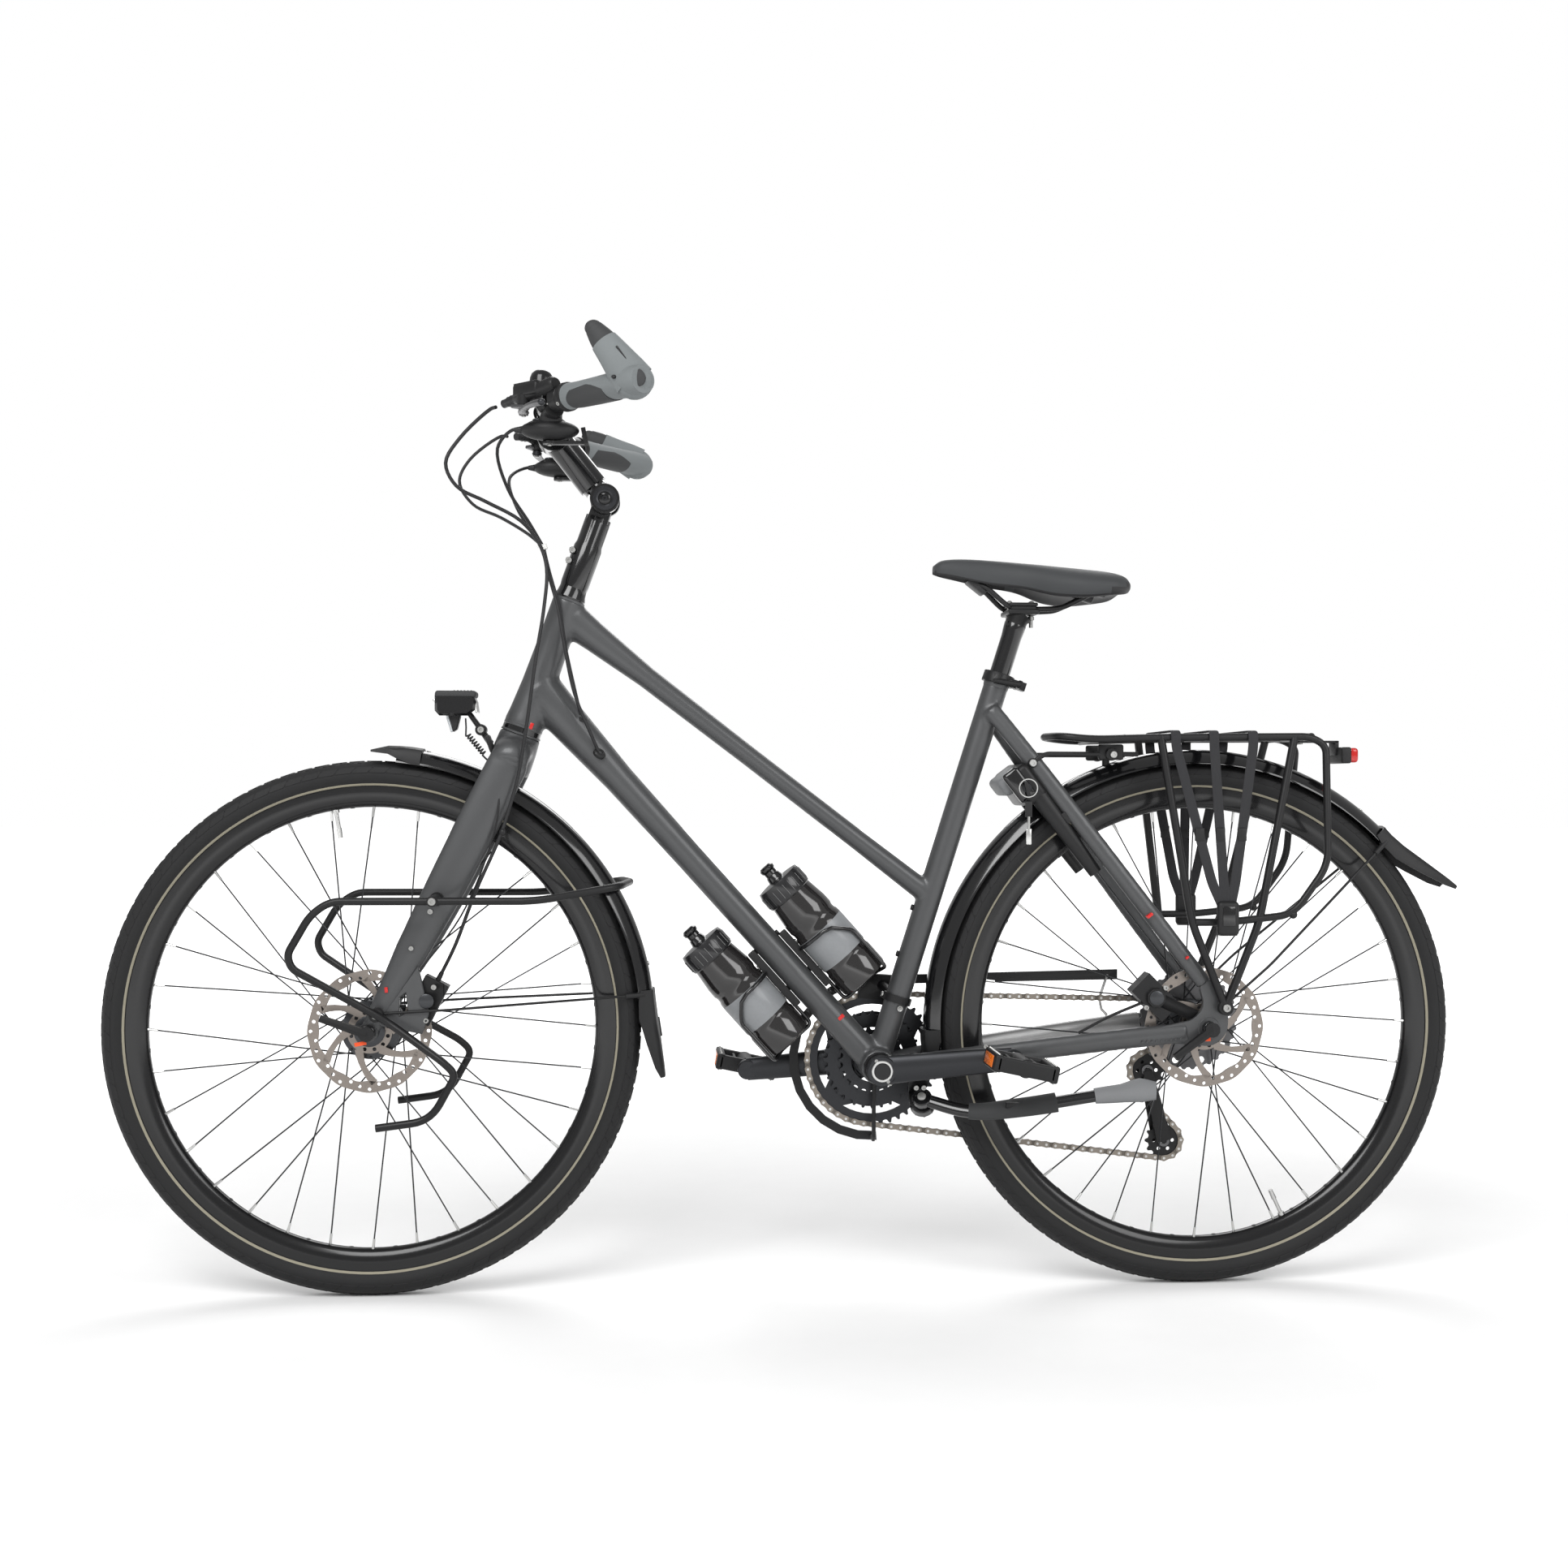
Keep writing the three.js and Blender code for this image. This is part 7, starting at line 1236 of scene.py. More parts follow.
def build_drive():
    arm = Shape()
    crank_arm(arm, -1, "drive dark")
    for k in (-1, 1):
        arm.bolt(BRACKET + V(11, -58, k * 17.5), V(0, 0, k), 3, 2.5)
    arm.done("left_crank_arm_shape", "crank", ["left_crank_arm"])

    ring = Shape()
    crank_arm(ring, 1, "drive dark")
    ring.add(pin(set_y(BRACKET, -60), set_y(BRACKET, 58), 12, sides=32), "bolt steel")
    ring.add(disc(BRACKET, 27, 43.5, 56, 48, 2), "drive dark")
    reach, tooth = pitch_radius(44), bpy.context.scene.bicycle_sizes.tooth * 1000
    windows = []
    for i in range(4):
        a = 90 * (i + 1)
        rim = [(BRACKET.x + r * cos(t), BRACKET.z + r * sin(t))
               for r, angles in ((reach - 14, range(-32, 33, 8)), (reach - 24, range(26, -27, -8)))
               for t in (radians(a + g) for g in angles)]
        windows.append(rim)
    ring.add(gear(BRACKET, CHAIN_PLANE, 44, 2.6, 56, tooth, windows), "drive dark")
    ring.add(gear(BRACKET, CHAIN_PLANE - 7, 32, 2.4, 44, tooth), "drive dark")
    ring.add(gear(BRACKET, CHAIN_PLANE - 12.6, 22, 2.4, 30, tooth), "drive dark")
    for i in range(4):
        spoke = line_from(BRACKET, 90 * (i + 0.5))
        ring.add(
            sweep(
                [spoke(12, 49), spoke(30, 50), spoke(58, 52), spoke(66, 52)],
                [(4, 12), (3.6, 9), (3, 7.5), (2.6, 8.5)], 16, across=ACROSS),
            "drive dark")
        ring.add(disc(spoke(58), 8, 46, 55.4, 24, 0.8), "drive dark")
        ring.bolt(spoke(58, 55.4), ACROSS, 5, 1.6)
        ring.add(disc(spoke(34), 5, 39, 50, 16, 0.5), "drive dark")
    ring.done("crankset_shape", "crank", ["crankset"])

    for side, name in ((-1, "left_pedal"), (1, "right_pedal")):
        eye, mid = pedal_eye(side), side * (88.8 + 12 + 39)
        pedal = Shape()
        for x in (-1, 1):
            pedal.add(box(V(eye.x + x * 36.5, mid, eye.z), (11, 78, 22), bevel=3, segments=3), "black plastic")
            pedal.add(box(V(eye.x + x * 42.2, mid, eye.z), (1.6, 52, 15), bevel=0.6), "reflector")
            for k in range(-4, 5):
                for z in (-1, 1):
                    pedal.add(
                        pin(
                            V(eye.x + x * 37, mid + k * 8.4, eye.z + z * 10.6),
                            V(eye.x + x * 37, mid + k * 8.4, eye.z + z * 12.4), 1.6, 1.0, sides=8),
                        "bolt steel")
        for y in (-1, 1):
            pedal.add(box(V(eye.x, mid + y * 33.5, eye.z), (78, 11, 20), bevel=3, segments=3), "black plastic")
        pedal.add(disc(eye, 12, mid - 34, mid + 34, 28, 1.5), "black plastic")
        for x in (-1, 1):
            pedal.add(box(V(eye.x + x * 17, mid, eye.z), (4, 60, 15), bevel=1), "black plastic")
        bmesh.ops.rotate(pedal.bm, verts=pedal.bm.verts[:], cent=eye, matrix=Matrix.Rotation(radians(12), 3, "Y"))
        pedal.add(pin(set_y(eye, side * 77), set_y(eye, side * 104), 6.9, sides=24), "bolt steel")
        pedal.add(disc(eye, 10.4, side * 88.8, side * 92.5, 6, 0.6), "bolt steel")
        pedal.done(name + "_shape", name, [name])

    cogs = Shape()
    for i, teeth in enumerate((12, 13, 15, 17, 19, 21, 24, 28, 34)):
        if i == 0:
            cogs.add(gear(REAR_AXLE, CHAIN_PLANE, teeth, 2.0, 17, 1.6), "drive metal")
            continue
        y = CHAIN_PLANE - 3.62 * i
        wide = pitch_radius(teeth)
        holes = [] if teeth < 19 else [ring_points(REAR_AXLE + heading(t) * (wide - 11), 2.6 + wide * 0.03, 12)
                                      for t in (2 * pi * k / 10 for k in range(10))]
        cogs.add(gear(REAR_AXLE, y, teeth, 1.8, 17, 0.0 if teeth == 34 else 1.4, holes), "drive metal")
    cogs.add(
        lathe([(16.6, 55.6), (22, 55.6), (22.4, 54.6), (22.4, 22), (16.6, 22)], REAR_AXLE, ACROSS, 32, closed=True),
        "drive dark")
    cogs.add(
        lathe([(16.7, 56.4), (20, 56.4), (20, 54.8), (16.7, 54.8)], REAR_AXLE, ACROSS, 32, closed=True),
        "satin black")
    cogs.done("cassette_shape", "cassette", ["cassette"])

    for name, centre in (("guide_pulley", GUIDE_PULLEY), ("tension_pulley", TENSION_PULLEY)):
        wheel = Shape()
        holes = [ring_points(centre + heading(t) * 13, 2.6, 12) for t in (2 * pi * k / 6 for k in range(6))]
        wheel.add(gear(centre, CHAIN_PLANE, 12, 2.2, 4.3, 1.4, holes), "black plastic")
        wheel.add(
            lathe(
                [(4.3, -4.7), (8, -4.7), (8, 4.7), (4.3, 4.7)], set_y(centre, CHAIN_PLANE), ACROSS, 28, closed=True
            ),
            "drive metal")
        wheel.done(name + "_shape", name, [name])

    def changer(shape):
        for place in (GUIDE_PULLEY, TENSION_PULLEY):
            shape.bolt(set_y(place, 60.1), ACROSS, 4.6, 1.6)
        shape.bolt(V(CHANGER_FOOT.x, 90, CHANGER_FOOT.z - 4.2), ACROSS, 6, 2)
        shape.add(
            sweep(
                flowing(
                    [V(1094, 86, 306), V(1122, 88, 300), V(1140, 84, 322), V(1128, 78, 352), V(1090, 75, 350)], 8),
                2.3, 10),
            "cable")

    refined("rear_derailleur", "frame", "satin black", 0.9, 24, changer)

    def cage(shape):
        shape.bolt(SEAT(92, 0, 19.6), SEAT(0, 0, 1) - SEAT(0), 3.6, 3)
        shape.bolt(V(694.6, -19, 373.2), -ACROSS, 4, 3)

    refined("front_derailleur", "frame", "satin black", 0.5, 40, cage)

    def guard(shape):
        for k in range(5):
            spot = line_from(BRACKET, 110 + 38 * k)(107)
            shape.add(disc(spot, 2.6, 62, 64, 12, 0.2), "bolt steel")

    refined(
        "chain_guard", "frame", "black plastic", 0.6, 30, guard,
        [("bright steel", lambda c: c.x > 968 and c.z < 409)])
    refined("bottom_bracket", "frame", "satin black", 0.8, 40)


# Brakes


def build_brakes():
    cover = [(0, 0), (9.5, 0), (9.5, 2), (7, 3), (0, 3)]

    def front(shape):
        along = leg_line(1) - leg_line(0)
        for run in (-20, 20):
            shape.bolt(set_y(FRONT_CALIPER, -54) + along * run, -ACROSS, 3.6, 3)
        shape.add(lathe(cover, set_y(FRONT_CALIPER, -57), -ACROSS, 28), "hub dark")

    def rear(shape):
        shape.add(lathe(cover, set_y(REAR_CALIPER, -68.6), -ACROSS, 28), "hub dark")
        for run in (-13, 13):
            shape.bolt(REAR_CALIPER + V(run, -64, run), -ACROSS, 3.6, 3)

    refined("front_caliper", "steering", "satin black", 1.6, 34, front)
    refined("rear_caliper", "frame", "satin black", 1.0, 34, rear)


# Seat

SADDLE_NOSE, SADDLE_TOP, SADDLE_LENGTH, SADDLE_DEPTH = 741.2, 975, 260, 58
# Stations of the saddle: share of the length, of the half width, and of the depth down to its upper and lower face
SADDLE = (
    (0, 0.12, 0.155, 0.345), (0.04, 0.22, 0.035, 0.4), (0.12, 0.27, 0, 0.475), (0.28, 0.31, 0.025, 0.64),
    (0.44, 0.44, 0.085, 0.73), (0.6, 0.76, 0.165, 0.95), (0.74, 0.97, 0.24, 1), (0.87, 0.96, 0.3, 0.94),
    (0.96, 0.78, 0.38, 0.88), (1, 0.5, 0.5, 0.74))
HALF_SECTION = (
    (0, 0.93), (0.2, 1), (0.5, 0.99), (0.8, 0.86), (0.97, 0.58), (1, 0.34), (0.94, 0.1), (0.84, 0), (0.7, 0.2),
    (0, 0.38))


def build_saddle():
    ring = list(HALF_SECTION) + [(-y, z) for y, z in reversed(HALF_SECTION[1:-1])]
    stations = [V(a, b, 0) for a, b, _, _ in SADDLE]
    drops = [V(c, d, 0) for _, _, c, d in SADDLE]
    bm = bmesh.new()
    rows = []
    finer = list(zip(flowing(stations, 3), flowing(drops, 3)))
    for size, drop in finer:
        high, low = SADDLE_TOP - SADDLE_DEPTH * drop.x, SADDLE_TOP - SADDLE_DEPTH * drop.y
        rows.append(
            [
                bm.verts.new((SADDLE_NOSE + SADDLE_LENGTH * size.x, 78 * size.y * y, low + (high - low) * z))
                for y, z in ring])
    for a, b in zip(rows, rows[1:]):
        for k in range(len(ring)):
            bm.faces.new((a[k - 1], a[k], b[k], b[k - 1]))
    for row in (rows[0], rows[-1]):
        made = bm.faces.new(row)
        bmesh.ops.inset_region(bm, faces=[made], thickness=1.6, depth=0.0)
    outward(bm)
    for face in bm.faces:
        c = face.calc_center_median()
        share = (c.x - SADDLE_NOSE) / SADDLE_LENGTH
        low = SADDLE_TOP - SADDLE_DEPTH * (0.4 + 0.6 * min(share / 0.7, 1) - 0.3 * max(share - 0.8, 0) / 0.2)
        face.material_index = 1 if c.z < low + 6 or face.normal.z < -0.55 else 0
    bmesh.ops.transform(bm, matrix=PLACE, verts=bm.verts[:])
    mesh = bpy.data.meshes.new("saddle_shape")
    bm.to_mesh(mesh)
    bm.free()
    mesh.materials.append(FINISHES.material("saddle"))
    mesh.materials.append(FINISHES.material("saddle base"))
    for face in mesh.polygons:
        face.use_smooth = True
    cover = bpy.data.objects.new("saddle_shape", mesh)
    smooth = cover.modifiers.new("soft", "SUBSURF")
    smooth.levels = smooth.render_levels = 2
    put(cover, "seat", ["saddle"])

    rails = Shape()
    for side in (-1, 1):
        path = [
            V(795, side * 10, 944), V(812, side * 15, 935), V(840, side * 21, 911), V(852, side * 22, 908),
            V(898, side * 22, 908), V(912, side * 23.5, 910), V(938, side * 34, 922), V(958, side * 40, 932)]
        rails.add(sweep(flowing(path, 6), 3.5, 14), "satin black")
        rails.add(box(V(956, side * 38, 930), (24, 16, 12), -18, bevel=3), "saddle base")
    rails.add(box(V(800, 0, 940), (30, 30, 12), -38, bevel=3), "saddle base")
    return rails.done("saddle_rails", "seat")


def build_seat():
    build_saddle()
    post = Shape()
    head = V(859.2, 0, 900)
    post.add(
        lathe(
            [(0, 0), (13.6, 0), (13.6, 196), (14.4, 206), (14.8, 214), (12, 222), (0, 224)], SEAT(406), SEAT_WAY, 40
        ),
        "gloss black")
    post.add(
        sweep([SEAT(618), SEAT(628), head + UP], [(14, 14), (19, 15), (24, 17)], 28, across=ACROSS),
        "satin black")
    post.add(box(head + UP * 3.4, (42, 60, 7), 0, bevel=2.4, segments=3), "satin black")
    post.add(box(head + UP * 13, (38, 60, 5), 0, bevel=2, segments=3), "satin black")
    for side in (-1, 1):
        post.add(pin(V(842, side * 22, 908), V(876, side * 22, 908), 6.4, sides=24, bevel=1), "satin black")
    for x in (-1, 1):
        spot = head + V(x * 15, 0, 0)
        post.add(pin(spot - UP * 16, spot + UP * 17, 2.6, sides=14), "bolt steel")
        post.bolt(spot - UP, -UP, 4.4, 5)
        post.add(pin(spot + V(0, -6, 16), spot + V(0, 6, 16), 4, sides=20, bevel=0.6), "bolt steel")
    post.done("seatpost_shape", "seat", ["seatpost"])

    def ring(shape):
        shape.add(
            lathe(
                [(14.1, 0), (21.2, 0), (21.2, 2), (20.6, 12.6), (19.6, 14), (14.1, 14)], SEAT(536.3), SEAT_WAY, 44,
                closed=True),
            "satin black")

    refined("seat_clamp", "frame", "satin black", 0.8, 34, ring)
    refined("seat_clamp_lever", "seat_clamp_lever", "satin black", 1.2, 30)

    # Ring lock: a body over the tyre with two curved arms beside it
    top, end = set_y(seatstay(1)[0], 0), set_y(seatstay(1)[4], 0)
    angle = degrees(atan2(end.z - top.z, end.x - top.x))
    line = line_from(top.lerp(end, 0.235), angle)
    back = -(10.5 * cos(pi / 8) + 13.3)
    lock = Shape()
    lock.add(box(line(0, 0, back - 4), (52, 104, 33), angle, bevel=7, segments=4), "satin black")
    for side in (-1, 1):
        path = [
            line(-8, side * 34, back), line(14, side * 43, back), line(50, side * 46.5, back),
            line(100, side * 46, back), line(149, side * 43.5, back)]
        lock.add(
            sweep(flowing(path, 6), [(7.4, 13), (7.4, 12.6), (7.2, 11), (6.6, 9)], 20, across=ACROSS), "satin black"
        )
        lock.add(box(line(66, side * 50, back + 12), (16, 5, 8), angle, bevel=1), "black plastic")
    lock.add(box(V(845, 4, 677), (26, 74, 40), -52, bevel=7, segments=4), "stand grey")
    lock.add(box(V(849, -49, 672), (46, 12, 25), -52, bevel=5, segments=3), "gloss black")
    lock.add(disc(V(858.8, 0, 668), 6.4, -50, -57.4, 28, 0.8), "drive dark")
    lock.add(
        lathe(
            [(11.2, -0.7), (12.6, -0.7), (12.6, 0.7), (11.2, 0.7)], V(859.4, -60, 667.6), V(0.3, 1, 0), 40,
            closed=True),
        "bright steel")
    lock.add(box(V(858.6, -59, 664), (5, 3, 24), 12, bevel=1), "black plastic")
    for low, high, wide, look in (
        (629, 650, 4.6, "black plastic"), (612, 632, 1.5, "bolt steel"), (593, 614, 3.6, "bright steel")):
        lock.add(
            box(V(859.8, -60, (low + high) / 2), (wide * 2, 3.4, high - low), bevel=min(wide * 0.4, 1.2)), look)
    lock.done("ring_lock_shape", "frame", ["ring_lock"])


# Bottles


def build_bottles():
    way = DOWN(0) - DOWN(1)
    for name, run, side in (("upper_bottle", 505, 1), ("lower_bottle", 498, -1)):
        foot = DOWN(run + 75, 0, side * 66)
        profile = [
            (0, 0.5), (31, 0), (34.6, 1.4), (35.5, 5), (35.5, 34), (34.2, 37), (34.2, 41), (35.5, 44), (35.5, 92),
            (35.1, 97), (33.4, 101), (33.4, 106), (34.8, 110), (34.6, 122), (32, 142), (31, 150), (32.2, 150.6),
            (33, 152), (33, 172), (31.6, 177), (26, 178), (12, 179), (11, 181), (10.2, 186), (8.6, 188), (8.6, 193),
            (10.4, 195), (10.8, 199), (8, 202), (0, 202)]
        looks = [0] * 7 + [2] + [0] * 8 + [1] * 5 + [3] * (len(profile) - 22)
        shape = Shape().add(
            lathe(profile, foot, way, 56, looks=looks), ["bottle", "bottle cap", "bottle band", "gloss black"])
        square = DOWN(0, 0, 1) - DOWN(0)
        for k in range(24):
            a = 2 * pi * k / 24
            rim = square * cos(a) * 32.8 + ACROSS * sin(a) * 32.8
            shape.add(pin(foot + way * 154 + rim, foot + way * 171 + rim, 0.9, sides=6), "bottle cap")
        shape.done(name + "_shape", name, [name])

        # The cage: a spine on the tube, a wire under the bottle and a hoop of wire on each hand
        inner, floor = 38.4 * 1.03, run + 75 + 3.2
        lift = 66 - 35.5 - 0.3 - 2.6

        def at(a, y, up, side=side):
            return DOWN(a, y, side * up)

        cage = Shape()
        cage.add(
            box(at(run, 0, (19.1 + lift + 2.6) / 2), (94, 18, lift + 2.6 - 19.1), DOWN_ANGLE, bevel=1.6),
            "black plastic")
        cage.add(
            sweep(bent([at(run - 46, 0, lift), at(floor, 0, lift), at(floor, 0, 85)], 8, 5), 2.6, 12), "gloss black"
        )
        for hand in (-1, 1):
            def round_at(turn, a, hand=hand):
                t = radians(turn)
                return at(a, hand * inner * sin(t), 66 - inner * cos(t))
            path = [
                at(run - 12, 0, lift - 0.3),
                *(round_at(t, run - 14 + 26 * max(0, t - 100) / 40) for t in (16, 34, 52, 70, 88, 106, 124, 140)),
                round_at(140, run + 50), round_at(140, floor), at(floor, 0, 81)]
            cage.add(sweep(bent(path, 6, 5), 2.6, 12), "gloss black")
        for a in (-24, 24):
            cage.bolt(at(run + a, 0, lift + 2), square * side, 4.2, 2.2)
        cage.done(name + "_cage_shape", "frame", [name + "_cage"])


# Cockpit

PIVOT = HEAD(758)
ARM = line_from(PIVOT, 128.6)
BAR = ARM(108)
BELL = V(227.61, -104.33, 1142.63)


def bar_at(side, back, out, up):
    return BAR + V(back, side * out, up)


def bar_knee(side):
    return bar_at(side, -10.3, 140.7, 16)


def bar_end(side):
    return bar_at(side, 115, 300, 13.5)


def on_sweep(side, from_end):
    way = (bar_knee(side) - bar_end(side)).normalized()
    return bar_end(side) + way * from_end


def build_bar():
    def lower(shape):
        shape.add(
            lathe(
                [(14.6, 0), (20.6, 0), (20.9, 2), (19, 8), (18, 16), (14.6, 16)], HEAD(618.4), HEAD_WAY, 44,
                closed=True),
            "gloss black")
        shape.add(
            lathe(
                [(14.6, 0), (18.2, 0), (18.8, 6), (18.8, 56), (17.2, 62), (17.2, 92), (15.8, 97), (14.6, 97)],
                HEAD(634), HEAD_WAY, 44, closed=True),
            "gloss black")
        for share in (0.3, 0.75):
            spot = HEAD(690 - 32 * share, 0, 17.6)
            shape.bolt(V(spot.x, -13, spot.z), -ACROSS, 4.2, 3)
            shape.bolt(V(spot.x, 13, spot.z), ACROSS, 4.2, 3)

    refined("stem_lower", "steering", "gloss black", 0.7, 30, lower)

    def upper(shape):
        shape.add(
            sweep(
                [PIVOT.lerp(BAR, t) for t in (0.22, 0.4, 0.7, 0.9)],
                [(17.6, 19.6), (17.6, 19.4), (18.4, 19), (20.4, 19.6)], 36, across=ACROSS),
            "gloss black")
        for side in (-1, 1):
            shape.add(disc(PIVOT, 19.6, side * 12.6, side * 24.4, 48, 1.4), "gloss black")
            shape.add(
                lathe(
                    [(9, 0), (16.4, 0), (16, 1.2), (11, 1.6), (9, 0.6)], set_y(PIVOT, side * 24.2), V(0, side, 0),
                    40, closed=True),
                "drive dark")
            shape.add(ball(set_y(PIVOT, side * 24.2), (8.4, 2.6, 8.4), 24), "rim black")
            shape.bolt(set_y(PIVOT, side * 25.4), V(0, side, 0), 3.6, 1.9, "drive dark")
            for up in (-1, 1):
                spot = BAR + (ARM(1) - ARM(0)) * 15 + (ARM(0, 0, 1) - ARM(0)) * (13.6 * up)
                shape.bolt(set_y(spot, side * 15), ARM(1) - ARM(0), 3.8, 8.6)
        shape.add(
            lathe(
                [(16.3, -22.6), (22.2, -22.6), (22.8, -21.6), (22.8, 21.6), (22.2, 22.6), (16.3, 22.6)], BAR,
                ACROSS, 44, closed=True),
            "gloss black")

    refined("stem_upper", "bar", "gloss black", 0.8, 30, upper)

    bar = Shape()
    path = bent(
        [bar_end(-1), bar_knee(-1), bar_at(-1, 0, 45, 0), bar_at(1, 0, 45, 0), bar_knee(1), bar_end(1)], 60, 12, 4)
    bar.add(sweep(path, 11.1, 28, across=UP), "gloss black")
    bar.add(
        lathe([(0, -45), (11.4, -45), (15.9, -33), (15.9, 33), (11.4, 45), (0, 45)], BAR, ACROSS, 32), "gloss black"
    )
    bar.done("handlebar_shape", "bar", ["handlebar"])

    for side, name, horn in ((-1, "left_grip", 127), (1, "right_grip", 152)):
        grip = Shape()
        run = [on_sweep(side, r) for r in (150, 141, 120, 85, 50, 22, 6, -5)]
        sizes = [(18, 17.6), (16.6, 16.4), (16, 15.6), (18.2, 15.6), (21, 16), (22.4, 17.6), (21.6, 19), (17, 16)]
        grip.add(sweep(run[1:], sizes[1:], 36, across=V(1, 0, 0)), "grip")
        under = [p - UP * 2.6 for p in run[1:5]]
        grip.add(sweep(under, [(13, 12.4), (17, 14), (20, 14.6), (20, 14.8)], 36, across=V(1, 0, 0)), "grip end")
        way = (run[0] - run[-1]).normalized()
        grip.add(
            lathe(
                [(11.4, 0), (17, 0), (18, 1.4), (18, 8.6), (17, 10), (11.4, 10)], on_sweep(side, 140), way, 40,
                closed=True),
            "satin black")
        for turn in (35, 215):
            a = radians(turn)
            away = (UP * sin(a) + way.cross(UP) * cos(a)).normalized()
            grip.bolt(on_sweep(side, 145) + away * 17.2, away, 2.6, 1.8)
        base = on_sweep(side, 11.5)
        tip = line_from(base, horn)(80, -side * 9)
        bowed = flowing(
            [base, base.lerp(tip, 0.22), base.lerp(tip, 0.5) + V(0, side * 2, 0), base.lerp(tip, 0.8), tip], 5)
        grip.add(ball(base, (22.6, 15.4, 22), 28), "grip")
        grip.add(sweep(bowed[:15], [(15.2, 25), (15, 23.4), (14, 20), (12.4, 16.8)], 36, across=ACROSS), "grip")
        grip.add(sweep(bowed[13:], [(12.1, 16.4), (10.6, 14), (8.6, 11)], 36, across=ACROSS), "grip end")
        grip.add(ball(tip, (10.8, 8.3, 10), 24), "grip end")
        cap = base + V(2, side * 13.4, 1)
        grip.add(
            lathe([(0, -4), (11.2, -4), (11.2, 2.6), (9.2, 4.2), (3, 5), (0, 5.1)], cap, V(-0.16, side, 0), 36),
            "grip end")
        # Painted shade: a dark bar where the horn has a slot, and a dark ball where the grip has a hole, stand in
        # for the shade inside them
        grip.add(box(base.lerp(tip, 0.36) + V(5, side * 12, 4), (30, 6, 2.6), horn, bevel=1), "cable")
        grip.add(ball(base + V(-24, side * 8.6, 3), (3.2, 3, 2.4), 12), "cable")
        grip.done(name + "_shape", "bar", [name])


BRAKE_RING, SHIFT_RING = 160, 173


def cylinder_ends(side):
    """Both ends of a brake lever's cylinder: beside the grip, and where the hose leaves."""
    return on_sweep(side, BRAKE_RING) + V(-6.66, side * 5.55, 16.35), bar_at(side, -70.15, 100.5, 17.55)


def shift_pod(side):
    """The middle of a gear lever's housing, which hangs under the bar."""
    return on_sweep(side, SHIFT_RING) + V(-7, -side * 22, -34)


